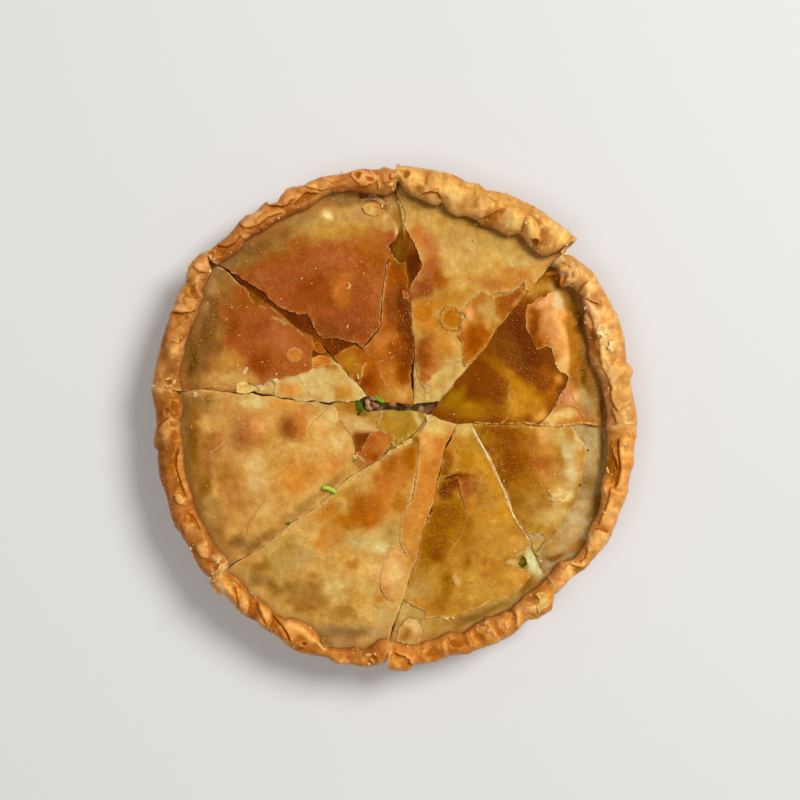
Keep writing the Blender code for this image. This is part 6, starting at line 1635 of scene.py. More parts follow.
class Piece:
    """Collects closed parts, with a colour for each point, and makes one object of them."""

    def __init__(self):
        self.points, self.faces, self.colours, self.count = [], [], [], 0
        self.sleek, self.ground = [], []

    def add(self, points, faces, colours, sleek=0.0):
        """Adds a closed part; a sleek one, with 1, has more gloss and no flour."""
        self.points.append(points)
        self.faces.append(np.asarray(faces) + self.count)
        self.colours.append(colours)
        self.sleek.append(np.full(len(points), sleek))
        self.count += len(points)

    def height(self, xy, reach=0.7):
        """How high the crust lies within a reach of each point."""
        if len(self.ground) > 1:
            self.ground = [np.vstack(self.ground)]
        ground = self.ground[0]
        low, high = xy.min(0) - 3, xy.max(0) + 3
        close = ((ground[:, :2] > low) & (ground[:, :2] < high)).all(1)
        ground = ground[close] if close.any() else ground
        found = np.zeros(len(xy))
        for i, place in enumerate(xy):
            far = np.hypot(*(ground[:, :2] - place).T)
            found[i] = ground[far <= max(reach, far.min() + 1e-6), 2].max()
        return found

    def make(self, name, material, node, tone=(1, 1, 1)):
        """Makes the object, with its colours as the attribute tint and sleekness as its alpha."""
        mesh = bpy.data.meshes.new(name)
        mesh.from_pydata(np.vstack(self.points) * MM, [], np.vstack(self.faces).tolist())
        seen = linear(np.vstack(self.colours)) * TONE * tone
        under_gloss = np.maximum(seen - GLOSS_VEIL, DARKEST)
        tint = mesh.attributes.new("tint", "FLOAT_COLOR", "POINT")
        rgba = np.column_stack([under_gloss, np.concatenate(self.sleek)]).astype(np.float32)
        tint.data.foreach_set("color", rgba.ravel())
        mesh.shade_smooth()
        mesh.set_sharp_from_angle(angle=math.radians(SHARP_ANGLE))
        mesh.materials.append(material)
        made = bpy.data.objects.new(name, mesh)
        bpy.context.scene.collection.objects.link(made)
        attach(made, "root")
        if node:
            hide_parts(node)


def filled(within, without, spacing, lines=()):
    """(points, triangles, border edges) of the area inside some outlines and outside others,
    with the lines' points in it."""
    polygons = [p if signed_area(p) > 0 else p[::-1] for p in [*within, *without]]
    outer = polygons[: len(within)]
    low = np.max([p.min(0) for p in outer], axis=0)
    high = np.min([p.max(0) for p in outer], axis=0)
    rows = np.arange(low[1], high[1], spacing * ROW_SPACING)
    shift = spacing * 0.5 * (np.arange(len(rows)) % 2)
    columns = np.arange(low[0], high[0], spacing)
    grid = np.array([(x + s, y) for y, s in zip(rows, shift) for x in columns]).reshape(-1, 2)
    rng = np.random.default_rng(7)
    grid = grid + rng.uniform(-GRID_SHAKE, GRID_SHAKE, grid.shape) * spacing
    keep = np.ones(len(grid), bool)
    for i, outline in enumerate(polygons):
        keep &= inside(outline, grid) == (i < len(within))
    grid = grid[keep]
    for path, closed in [(p, True) for p in polygons] + [(p, False) for p in lines]:
        low, high = path.min(0) - spacing, path.max(0) + spacing
        close = np.nonzero(((grid > low) & (grid < high)).all(1))[0]
        if len(close):
            crowded = nearest(grid[close], path, closed)[0] <= BORDER_CLEARANCE * spacing
            grid = np.delete(grid, close[crowded], axis=0)
    faces, edges, count = [], [], 0
    for outline in polygons:
        faces.append(list(range(count, count + len(outline))))
        count += len(outline)
    for line in lines:
        edges += [(count + i, count + i + 1) for i in range(len(line) - 1)]
        count += len(line)
    points = [Vector(p) for p in np.vstack([*polygons, *lines, grid])]
    places, _, found, _, _, owners = delaunay_2d_cdt(points, edges, faces, 0, 1e-6, True)
    wanted = set(range(len(within)))
    kept = [face for face, owner in zip(found, owners) if set(owner) == wanted]
    used, triangles = np.unique(np.array(kept, int).reshape(-1, 3), return_inverse=True)
    triangles = triangles.reshape(-1, 3)
    xy = np.array([tuple(v) for v in places])[used]
    sides = np.vstack([triangles[:, [0, 1]], triangles[:, [1, 2]], triangles[:, [2, 0]]])
    _, first, times = np.unique(np.sort(sides, axis=1), axis=0, return_index=True,
                                return_counts=True)
    return xy, triangles, sides[first[times == 1]]


def add_slab(piece, area, top, bottom, top_colour, edge_colour, under_colour):
    """Adds a closed part over an area: heights and colours are arrays, one for each point."""
    xy, triangles, border = area
    n = len(xy)
    rim = np.unique(border)
    a, b = border.T
    c, d = 2 * n + np.searchsorted(rim, border).T
    walls = np.vstack([
        np.column_stack([b, a, c]), np.column_stack([b, c, d]),
        np.column_stack([d, c, a + n]), np.column_stack([d, a + n, b + n]),
    ])
    faces = np.vstack([triangles, triangles[:, ::-1] + n, walls])
    points = np.vstack([
        np.column_stack([xy, top]), np.column_stack([xy, bottom]),
        np.column_stack([xy[rim], (0.55 * top + 0.45 * bottom)[rim]]),
    ])
    piece.add(points, faces, np.vstack([top_colour, under_colour, edge_colour[rim]]))


def add_sweep(piece, loops, colours, cap_colour, sleek=0.0):
    """Adds a closed tube through loops of points, which all have the same number."""
    count, sides = len(loops), len(loops[0])
    points = np.vstack([*loops, loops[0].mean(0)[None], loops[-1].mean(0)[None]])
    grid = np.meshgrid(np.arange(count - 1), np.arange(sides), indexing="ij")
    i, j = (numbers.ravel() for numbers in grid)
    a, b = i * sides + j, i * sides + (j + 1) % sides
    c, d = a + sides, b + sides
    ring = np.arange(sides)
    after = (ring + 1) % sides
    last_loop = (count - 1) * sides
    start, end = np.full(sides, count * sides), np.full(sides, count * sides + 1)
    faces = np.vstack([
        np.column_stack([a, c, b]), np.column_stack([b, c, d]),
        np.column_stack([start, ring, after]),
        np.column_stack([end, after + last_loop, ring + last_loop]),
    ])
    piece.add(points, faces, np.vstack([colours, plain(cap_colour, 2)]), sleek)


def lid_lines(number):
    """The drawn lines of a slice's lid, as (step, dark, pale, path)."""
    found = []
    for owner, step, dark, pale, *path in LID_LINES:
        if owner == number:
            path = divided(at(path), 0.6, closed=False)
            path = warped(path, amount=0.36, size=2.4, seed=951, octaves=4)
            found.append((step, dark, pale, path))
    return found


def guides(lines):
    """Paths beside drawn lines, which the mesh follows."""
    found = []
    for *_, path in lines:
        left = left_of(unit(np.gradient(path, axis=0)))
        found += [path + left * off for off in GUIDE_OFFSETS]
    return found


def drawn_lines(xy, lines):
    """(relief, dark, pale) of drawn lines: the height to add, and the shares of the painted
    shade in the crack and of the pale colour of its lip."""
    relief, dark, pale = np.zeros((3, len(xy)))
    patchy = np.clip(0.75 + 0.9 * noise(xy, 2.5, 955), 0.2, 1.2)
    for step, dark_share, pale_share, path in lines:
        near, away, side, fade = beside(xy, path, reach=6, end=1.5)
        off = away * side * (1 if step >= 0 else -1)
        up = np.where(off > 0, np.exp(-away / 2.2), -0.5 * np.exp(-away / 0.9)) * abs(step)
        groove = 0.3 * dark_share * fading(off + 0.1, 0.28)
        relief[near] += (up - groove) * fade
        fade = fade * patchy[near]
        dark_here = 0.7 * dark_share * fade * fading(off + 0.12, 0.3)
        pale_here = 0.75 * pale_share * fade * fading(off - 0.3, 0.36)
        dark[near] = np.maximum(dark[near], dark_here)
        pale[near] = np.maximum(pale[near], pale_here)
    return relief, np.minimum(dark, 1), np.minimum(pale, 1)


def drawn_relief(xy):
    """(relief, crease) of the rope's creases and ridges: the height to add, and how much of a
    crease's shade each point has, from 0 to 1."""
    relief, crease = np.zeros((2, len(xy)))
    for depth, lap, *path in CREASES:
        near, away, side, fade = beside(xy, at(path), reach=8, end=1.6)
        step = -0.75 * depth * np.exp(-away / (1.8 if lap else 0.8))
        lapped = 0.9 * depth * np.exp(-away / 3.6) - 0.4 * depth * np.exp(-away / 0.5)
        relief[near] += np.where(side == lap, lapped, step) * fade
        edge = np.where(side == lap, 0.0, 0.5) * np.exp(-away / 1.3)
        shade = min(depth, 1.0) * fade * np.maximum(np.exp(-((away / 0.5) ** 1.6)), edge)
        crease[near] = np.maximum(crease[near], shade)
    for height, half_width, *path in RIDGES:
        near, away, _, fade = beside(xy, at(path), reach=8, end=1.6)
        relief[near] += height * fade * fading(away, half_width)
    return relief, crease


def drawn_rings(xy):
    """(relief, rim, hollow) of burst bubbles: the height to add, and how much of the rim's pale
    colour and of the hollow's painted shade each point has."""
    relief, rim, hollow = np.zeros((3, len(xy)))
    for x, y, long, wide, turn, height, depth in RINGS:
        near = np.nonzero(np.hypot(*(xy - at((x, y))).T) < max(long, wide) * PIXEL + 3)[0]
        if not len(near):
            continue
        crinkle = noise(xy[near], 1.6, 965)
        away = warped(xy[near], amount=0.75, size=2.4, seed=963) - at((x, y))
        ring = np.hypot(*in_spot(away, long, wide, turn))
        edge = fading(ring - 1 - 0.25 * crinkle, 0.45 / (min(long, wide) * PIXEL))
        pit = smooth(1.05 - ring, 0, 0.8)
        patchy = np.clip(0.8 + 1.2 * crinkle, 0, 1)
        relief[near] += height * edge * (0.7 + 0.9 * crinkle) - 0.7 * depth * pit
        rim[near] = np.maximum(rim[near], edge * patchy * min(height, 1))
        hollow[near] = np.maximum(hollow[near], pit * np.clip(depth, 0, 1) * (ring < 1))
    return relief, rim, hollow


def lower_sheet(piece, number):
    """The lid's lower layer, with the broken faces of its cuts and openings."""
    wedge = broken_wedge(number, EDGE_STEP)
    lines = lid_lines(number)
    area = filled([wedge, lid_area(number)], holes_of(number), SHEET_GRID, guides(lines))
    xy = area[0]
    relief, dark, pale = drawn_lines(xy, lines)
    top = lid_height(xy) + relief
    colour = mottled(painted(xy, *LOWER[number]), xy, amount=0.9)
    # Painted shade: in the trough under the rope (with its duller browning), at the foot of cracks
    # and along the cut edges
    colour = darkened_at_rope(colour, number, xy)
    colour = mix(mix(colour, CRACK_SHADE, dark), PALE_EDGE, pale)
    colour = mix(colour, CUT_SHADE, 0.5 * fading(nearest(xy, wedge, True)[0], RAGGED_WIDTH))
    piece.ground.append(np.column_stack([xy, top]))
    edge, under = plain(SHEET_EDGE, len(xy)), plain(SHEET_UNDER, len(xy))
    add_slab(piece, area, top, dome_height(xy) - LID_CRUST, colour, edge, under)


def leaf(piece, number, spec, seed):
    """One leaf of the flaky upper layer, a closed shell with lifted, ragged broken edges."""
    wedge = rough_wedge(number, seed + 7, rough=0.38)
    outline = ragged(at(spec["outline"]), step=0.5, rough=0.5, seed=seed)
    lines = lid_lines(number)
    rims = [inset(outline, [0.45] * len(outline)), inset(wedge, [0.35] * len(wedge))]
    area = filled([outline, wedge, lid_area(number)], holes_of(number), LEAF_GRID,
                  [*rims, *guides(lines)])
    xy = area[0]
    away = nearest(xy, outline, True)[0]
    cut_away = nearest(xy, wedge, True)[0]
    rough = noise(xy, 5.0, seed + 3)
    curl = spec["curl"] * np.exp(-away / 1.5) * np.clip(0.45 + 0.9 * rough, 0, 1.6)
    under = lid_height(xy)
    drawn, dark, pale_line = drawn_lines(xy, lines)
    relief = 0.24 * noise(xy, 9.0, seed + 4) + 0.15 * noise(xy, 2.6, seed + 5)
    top = under + 0.75 * spec["rise"] + curl + relief + drawn
    top += 0.3 * np.exp(-cut_away / 1.6) * noise(xy, 4.0, seed + 8)
    top -= 0.25 * np.exp(-cut_away / 0.5)
    for *place, height in BLISTERS:
        top += height * bump(xy, *place, BLISTER_POWER)
    rings, ring_rim, ring_hollow = drawn_rings(xy)
    top += rings
    hidden = smooth(np.minimum(away, cut_away + 0.4) + 0.4 * rough, 0.5, 1.5)
    free = np.maximum(top - spec["thick"], under + 0.05)
    bottom = free + (under - 0.4 - free) * hidden
    colour = mottled(painted(xy, spec["base"], spec["patches"]), xy, amount=0.8)
    # Painted shade: in the trough under the rope (with its duller browning), at the foot of cracks
    # and in the hollows of burst bubbles
    colour = darkened_at_rope(colour, number, xy)
    colour = mix(mix(colour, CRACK_SHADE, dark), PALE_EDGE, pale_line)
    colour = mix(mix(colour, LID_HOLLOW_SHADE, 0.6 * ring_hollow), LID_BUBBLE, 0.6 * ring_rim)
    broken = np.clip(0.45 + 1.3 * noise(xy, 3.2, seed + 6), 0, 1)
    cut_broken = np.clip(0.25 + 1.5 * noise(xy, 4.2, seed + 12), 0, 1)
    pale = np.maximum(0.85 * broken * fading(away, RAGGED_WIDTH),
                      0.8 * cut_broken * fading(cut_away, RAGGED_WIDTH))
    colour = mix(colour, PALE_EDGE, pale)
    edge = np.array(LEAF_EDGE, float) * (1 - 0.25 * smooth(rough, 0.1, 0.6)[:, None])
    piece.ground.append(np.column_stack([xy, top]))
    # The underside is a darker copy of the top colour, painted shade under the leaf
    add_slab(piece, area, top, bottom, colour, edge, colour * 0.75)


def rope_section():
    """(across, up) of the points round the rope's section, from -1 to 1. It is full above, and
    upright and flat below."""
    upper = int(ROPE_SIDES * ROPE_UPPER_SHARE)
    turn = np.concatenate([
        np.linspace(0, math.pi, upper, endpoint=False),
        np.linspace(math.pi, 2 * math.pi, ROPE_SIDES - upper, endpoint=False),
    ])
    across = np.sign(np.cos(turn)) * np.abs(np.cos(turn)) ** 0.85
    up = np.sign(np.sin(turn)) * np.abs(np.sin(turn)) ** 0.8
    across[(across < 0) & (up < 0)] = -1.0
    return across, up


def rope(piece, number, seed):
    """The folded rope along the slice's rim, from cut to cut."""
    spec = ROPES[number]
    outer, inner = polar_curve(spec["outer"]), polar_curve(spec["inner"])
    first, last = cut_angles(number)
    middle_radius = float(outer[1].mean()) - ROPE_HALF_WIDTH
    span = last(middle_radius) - first(middle_radius)
    count = math.ceil(span * ROPE_OUTER_RADIUS / ROPE_STEP)
    across, up = rope_section()
    s = np.linspace(0, 1, count)[:, None]
    nominal = first(middle_radius) + span * s[:, 0]
    r_out, r_in = np.interp(nominal, *outer)[:, None], np.interp(nominal, *inner)[:, None]
    radius = (r_out + r_in) / 2 + (r_out - r_in) / 2 * across
    turn = first(radius) + (last(radius) - first(radius)) * s
    xy = round_pie(turn, radius)
    z = (ROPE_TOP_Z + ROPE_UNDER_Z) / 2 + (ROPE_TOP_Z - ROPE_UNDER_Z) / 2 * up
    z = np.tile(z, count)
    points = np.column_stack([xy, z])
    upness = np.tile(np.clip(up, 0, 1), count)

    # Relief: drawn creases, ridges, knobs and rings, with wrinkles and small folds between them
    relief, crease = drawn_relief(xy)
    for *place, height in KNOBS:
        relief = relief + height * bump(xy, *place, KNOB_POWER)
    length, share = turn.ravel() * RIM_RADIUS, np.tile((across + 1) / 2, count)
    wrinkle = noise(np.column_stack([length / 1.1, share * 3.2]), 3.0, seed + 2)
    soft = noise(points, 9.0, seed + 3)
    skewed = np.column_stack([length + share * 5.0, share * 9.0])
    lobes = noise(warped(skewed, amount=1.6, size=6.0, seed=seed + 8), 9.0, seed + 6, octaves=2)
    fold = 1.5 * np.sqrt(lobes**2 + 0.012) - 0.4
    relief = relief * upness + (0.1 * wrinkle + 0.35 * soft + 0.7 * fold) * (0.45 + 0.55 * upness)
    rings, rim, hollow = drawn_rings(xy)
    relief = relief + rings * upness
    z = z + relief
    grow = 1 + 0.25 * noise(points, 3.0, seed + 4) / np.hypot(*xy.T)
    swell = np.tile(across, count) * (0.5 * relief * upness)
    xy = xy * (grow + swell / np.hypot(*xy.T))[:, None]

    # Colours: painted highlight where it stands up, painted shade in hollows, creases and bubble
    # pits, darker low down with deeper browning and painted shade, and crumbly at the cuts
    colour = mottled(painted(xy, spec["base"], spec["patches"]), xy, amount=1.1, seed=70)
    lift = np.clip(relief / 1.6, -1, 1)
    colour = colour * (0.97 + 0.2 * lift + 0.04 * wrinkle)[:, None]
    colour = mix(colour, ROPE_CREST_HIGHLIGHT, 0.5 * smooth(relief, 0.3, 1.4) * upness)
    colour = mix(colour, ROPE_HOLLOW_SHADE, 0.7 * smooth(-relief, -0.1, 0.9) * upness)
    colour = mix(colour, ROPE_CREASE_SHADE, 0.6 * crease * upness**0.3)
    colour = mix(mix(colour, ROPE_PIT_SHADE, 0.7 * hollow), ROPE_BUBBLE, 0.85 * rim)
    colour = mix(colour, ROPE_FOOT_BROWN_AND_SHADE, 0.45 * np.clip(1 - upness * 2.2, 0, 1))
    along = np.minimum(turn - first(radius), last(radius) - turn).ravel() * radius.ravel()
    patchy = np.clip(0.75 + noise(points, 2.0, seed + 5), 0, 1)
    colour = mix(colour, CRUMB, 0.8 * (fading(along, 1.3 + 0.9 * soft) * patchy))
    piece.ground.append(np.column_stack([xy, z])[upness > 0.2])
    loops = np.column_stack([xy, z]).reshape(count, ROPE_SIDES, 3)
    add_sweep(piece, list(loops), colour, CUT_PASTRY, sleek=1.0)


def chip(piece, spec, seed):
    """A loose flake that lies on the crust and curls up a little at its edge."""
    _, thick, lifted, paint, rim_paint, points = spec
    outline = ragged(at(points), step=0.35, rough=0.16, seed=seed)
    area = filled([outline], [], CHIP_GRID)
    xy = area[0]
    away = nearest(xy, outline, True)[0]
    under = piece.height(xy)
    level = 0.5 * under + 0.5 * under.mean() + 0.15 * noise(xy, 3.0, seed + 2)
    top = np.maximum(level, under - 0.1) + thick + lifted * np.exp(-away / 1.2)
    bottom = top - thick - 0.9 * smooth(away, 0.3, 1.0) * (top - under + 0.2)
    colour = mottled(plain(paint, len(xy)), xy, amount=1.4)
    pale = fading(away, RAGGED_WIDTH) * np.clip(0.8 + noise(xy, 2.0, seed + 3), 0, 1)
    colour = mix(colour, rim_paint, pale)
    # The underside is a darker copy of the top colour, painted shade under the chip
    add_slab(piece, area, top, bottom, colour, plain(rim_paint, len(xy)) * 0.9, colour * 0.75)


def ball(fineness=2):
    """(points, faces) of a small round ball."""
    mesh = bpy.data.meshes.new("ball")
    shape = bmesh.new()
    bmesh.ops.create_icosphere(shape, subdivisions=fineness, radius=1.0)
    shape.to_mesh(mesh)
    points = np.array([v.co[:] for v in mesh.vertices])
    faces = np.array([p.vertices[:] for p in mesh.polygons])
    shape.free()
    bpy.data.meshes.remove(mesh)
    return points, faces


def lump(piece, shape, place, sizes, turn, paint, seed, sunk=0.35):
    """An irregular crumb or lump: half sizes in millimetres, lying on what is below."""
    points, faces = shape
    knobbly = points * (1 + 0.55 * noise(points + seed * 3.1, 1.3, 31))[:, None]
    local = knobbly * sizes
    xy = np.column_stack(turned(local, -turn))
    base = piece.height(place[None])[0]
    z = base + (1 - 2 * sunk) * sizes[2] + local[:, 2]
    colour = np.array(paint, float) * (1 + 0.12 * noise(points + seed, 0.7, 33))[:, None]
    piece.add(np.column_stack([place + xy, z]), faces, colour)


def crumbs(piece, shape, number):
    """The crumbs of a slice: some that are drawn, and a scatter of tiny ones."""
    for i, (owner, x, y, long, wide, turn, paint) in enumerate(CRUMBS):
        if owner == number:
            sizes = (long * PIXEL, wide * PIXEL, 0.7 * wide * PIXEL)
            lump(piece, shape, at((x, y))[0], sizes, turn, paint, seed=500 + i)
    rng = np.random.default_rng(2000 + number)
    ground = np.vstack(piece.ground)
    wanted = np.clip(0.5 + 1.2 * noise(ground[:, :2], 11.0, 61), 0.04, 1)
    chosen = rng.choice(len(ground), CRUMBS_A_SLICE, p=wanted / wanted.sum())
    for i, place in enumerate(ground[chosen]):
        size = 0.11 * math.exp(0.55 * abs(rng.normal()))
        share = rng.uniform()
        paint = np.array(PALE_CRUMB) * share + np.array(BROWN_CRUMB) * (1 - share)
        sizes = size * np.array([1 + rng.uniform(), 1.0, 0.7])
        lump(piece, shape, place[:2], sizes, rng.uniform(0, 180), paint, seed=900 + i, sunk=0.3)


def side_wall(piece, number, seed):
    """The baked side under the rope, from cut to cut."""
    first, last = cut_angles(number)
    smooth_radius = rope_radii(number)[2]
    heights, insets = zip(*SIDE_PROFILE)
    z_out, z_in = np.linspace(0.0, LID_EDGE_Z, SIDE_ROWS), np.array(SIDE_INNER_HEIGHTS)
    inset_in = np.interp(z_in, heights, insets) + SIDE_CRUST
    z_loop = np.concatenate([z_out, z_in])
    inset_loop = np.concatenate([np.interp(z_out, heights, insets), inset_in])
    low_turn, high_turn = first(SIDE_RADIUS), last(SIDE_RADIUS)
    count = math.ceil((high_turn - low_turn) * RIM_RADIUS / SIDE_STEP)
    s = np.linspace(0, 1, count)[:, None]
    nominal = low_turn + (high_turn - low_turn) * s
    radius = smooth_radius(nominal) - inset_loop
    turn = first(radius) + (last(radius) - first(radius)) * s
    points = np.column_stack([round_pie(turn, radius), np.tile(z_loop, count)])
    outside = np.tile(np.arange(len(z_loop)) < len(z_out), count)
    wave = noise(points, 7.0, seed) * 0.5 + noise(points, 2.2, seed + 1) * 0.16
    push = np.where(outside & (points[:, 2] > 0.1), wave, 0)
    points[:, :2] *= (1 + push / np.hypot(points[:, 0], points[:, 1]))[:, None]
    colour = plain(SIDE, len(points))
    colour = mix(colour, SIDE_PALE, smooth(noise(points, 12.0, seed + 2), -0.1, 0.7))
    colour = mix(colour, SIDE_BROWN, 0.8 * smooth(noise(points, 9.0, seed + 3), 0.1, 0.7))
    colour = mix(colour, FOOT_BROWN, 0.6 * smooth(-points[:, 2], -2.2, 0))
    colour *= (1 + 0.05 * noise(points, 1.6, seed + 4))[:, None]
    loops = points.reshape(count, len(z_loop), 3)[:, ::-1]
    colour = colour.reshape(count, len(z_loop), 3)[:, ::-1].reshape(-1, 3)
    add_sweep(piece, list(loops), colour, CUT_PASTRY)


def bottom_crust(piece, number):
    """The flat crust under the filling, inside the side wall."""
    wedge = divided(wedge_of(number, CLOSED_UP), BOTTOM_EDGE_STEP)
    area = filled([wedge, ring_area(number, BOTTOM_INSET)], [], BOTTOM_GRID)
    xy = area[0]
    n = len(xy)
    colour = plain(BOTTOM, n)
    colour = mix(colour, BOTTOM_PALE, smooth(noise(xy, 26.0, 81), -0.2, 0.7))
    colour = mix(colour, BOTTOM_BROWN, 0.7 * smooth(noise(xy, 16.0, 83), 0.1, 0.8))
    colour = mix(colour, FOOT_BROWN, 0.5 * smooth(np.hypot(*xy.T), 80, 108))
    edge = plain(BOTTOM_EDGE, n)
    add_slab(piece, area, np.full(n, BOTTOM_CRUST), np.zeros(n), colour, edge, colour)


def pastry(number, crust):
    """All the pastry of a slice as one piece, which is also given back."""
    piece = Piece()
    lower_sheet(piece, number)
    for i, spec in enumerate(LEAVES):
        if spec["slice"] == number:
            leaf(piece, number, spec, seed=100 + 10 * i)
    rope(piece, number, seed=300 + 10 * number)
    for i, spec in enumerate(CHIPS):
        if spec[0] == number:
            chip(piece, spec, seed=600 + 10 * i)
    crumbs(piece, ball(), number)
    side_wall(piece, number, seed=400 + 10 * number)
    bottom_crust(piece, number)
    tone = SLICE_TONE.get(number, (1, 1, 1))
    piece.make(f"pastry_{number}", crust, f"slice_{number}_pastry", tone)
    return piece


def filling(number, meat):
    """The lamb filling of a slice: it swells and has lumps of meat where the lid is open."""
    piece = Piece()
    wedge = divided(wedge_of(number, CLOSED_UP), FILLING_EDGE_STEP)
    area = filled([wedge, ring_area(number, FILLING_INSET)], [], FILLING_GRID)
    xy = area[0]
    top = dome_height(xy) - LID_CRUST - FILLING_DROP
    lumps = noise(xy, 5.0, 91)
    near_hole = bump(xy, *HOLE_SPOT)
    near_corner = bump(xy, *CORNER_SPOT)
    top = top + near_hole * (0.9 + 0.8 * lumps) + near_corner * (1.8 + 0.3 * lumps)
    colour = plain(MINCE, len(xy))
    colour = mix(colour, MINCE_PALE, smooth(lumps, 0.0, 0.6))
    colour = mix(colour, MINCE_HERB, 0.9 * smooth(noise(xy, 4.0, 95), 0.15, 0.4))
    colour = mix(colour, MINCE_DARK, 0.6 * smooth(-lumps, 0.1, 0.7))
    colour = mix(colour, CORNER_HERB, near_corner)
    bottom = np.full(len(xy), BOTTOM_CRUST + FILLING_GAP)
    # Its sides and underside are darker copies of its top colour, painted shade
    add_slab(piece, area, top, bottom, colour, colour * 0.85, colour * 0.8)
    piece.ground.append(np.column_stack([xy, top]))
    for i, (owner, x, y, sizes, turn, paint) in enumerate(MEAT):
        if owner == number:
            lump(piece, ball(3), at((x, y))[0], np.array(sizes), turn, paint,
                 seed=700 + i, sunk=0.2)
    piece.make(f"filling_{number}", meat, f"slice_{number}_filling")


def onion(piece, crust):
    """A chopped ring end of spring onion that lies on a slice's crust."""
    start, end = at(ONION)
    z = crust.height(((start + end) / 2)[None])[0] + 0.75
    along = (end - start) / np.linalg.norm(end - start)
    across = np.array([-along[1], along[0]])
    turn = np.linspace(0, 2 * math.pi, 24, endpoint=False)
    groove = 1 - 0.28 * fading(turn - 1.5, 0.3)
    # The onion is lighter on its upper side and darker below: painted light and shade
    fresh = smooth(np.sin(turn + 0.6), -0.3, 1.0)
    loops, colours = [], []
    for share in np.linspace(0, 1, 17):
        swell = 1 - 0.22 * (2 * share - 1) ** 4
        wide, tall = 1.25 * swell, 0.8 * swell
        centre = start + (end - start) * share + across * 0.5 * math.sin(math.pi * share)
        xy = centre + across * (wide * np.cos(turn) * groove)[:, None]
        loops.append(np.column_stack([xy, z + tall * np.sin(turn) * groove]))
        paint = mix(np.array(ONION_DARK, float), ONION_LIGHT, fresh)
        colours.append(paint * (1 + 0.06 * noise(loops[-1], 0.8, 861))[:, None])
    add_sweep(piece, loops, np.vstack(colours), ONION_END)


def herbs(crusts, green):
    """The herb leaves, the chopped spring onion and green bits."""
    piece = Piece()
    for i, (z, thick, paint, points) in enumerate(HERBS):
        outline = ragged(at(points), step=0.3, rough=0.1, seed=800 + i)
        area = filled([outline], [], HERB_GRID)
        xy = area[0]
        away = nearest(xy, outline, True)[0]
        top = z + thick + 0.4 * noise(xy, 3.0, 820 + i) + 0.3 * smooth(away, 0, 1.0)
        colour = plain(paint, len(xy)) * (1 + 0.2 * noise(xy, 1.5, 840 + i))[:, None]
        # Its edge is a lighter copy of its top colour, painted light, and its underside a darker
        # one, painted shade
        add_slab(piece, area, top, top - thick, colour, colour * 1.15, colour * 0.8)
    onion(piece, crusts[ONION_SLICE])
    for i, (owner, x, y, sizes, turn, paint) in enumerate(GREEN_BITS):
        piece.ground = crusts[owner].ground
        lump(piece, ball(), at((x, y))[0], np.array(sizes), turn, paint, seed=880 + i, sunk=0.3)
    piece.make("herbs_and_onion", green, None)


def feed(socket, value):
    """Sets an input socket to a value, or links another node's output to it."""
    if isinstance(value, bpy.types.NodeSocket):
        socket.id_data.links.new(value, socket)
    else:
        socket.default_value = value


def feed_all(node, **inputs):
    """Feeds a node's inputs by name, where an underline stands for a space."""
    for name, value in inputs.items():
        feed(node.inputs[name.replace("_", " ")], value)


def add_node(tree, kind, **inputs):
    """A new node with its inputs fed."""
    node = tree.nodes.new(kind)
    feed_all(node, **inputs)
    return node


def nodes_of(name):
    """(material, its node tree, its shader) of a new material."""
    made = bpy.data.materials.new(name)
    made.use_nodes = True
    return made, made.node_tree, made.node_tree.nodes["Principled BSDF"]


def tinted(name):
    """A new material's (material, tree, shader, place on the piece, outputs of the tint)."""
    made, tree, shader = nodes_of(name)
    place = add_node(tree, "ShaderNodeTexCoord").outputs["Object"]
    tint = add_node(tree, "ShaderNodeAttribute")
    tint.attribute_name = "tint"
    return made, tree, shader, place, tint.outputs


def ramp(tree, low, high, value):
    """A smooth step of a value, 0 where it is low and 1 where it is high."""
    node = add_node(tree, "ShaderNodeMapRange", From_Min=low, From_Max=high, Value=value)
    node.interpolation_type = "SMOOTHSTEP"
    return node.outputs["Result"]


def product(tree, one, other):
    """The product of two values."""
    node = add_node(tree, "ShaderNodeMath")
    node.operation = "MULTIPLY"
    feed(node.inputs[0], one)
    feed(node.inputs[1], other)
    return node.outputs["Value"]


def blend(tree, colour, share, factor, other, how="MULTIPLY"):
    """Multiplies a colour by another linear one, or mixes them, by a share times a factor."""
    node = add_node(tree, "ShaderNodeMix")
    node.data_type = "RGBA"
    node.blend_type = how
    feed_all(node, Factor=product(tree, share, factor), A=colour, B=(*other, 1))
    return node.outputs["Result"]


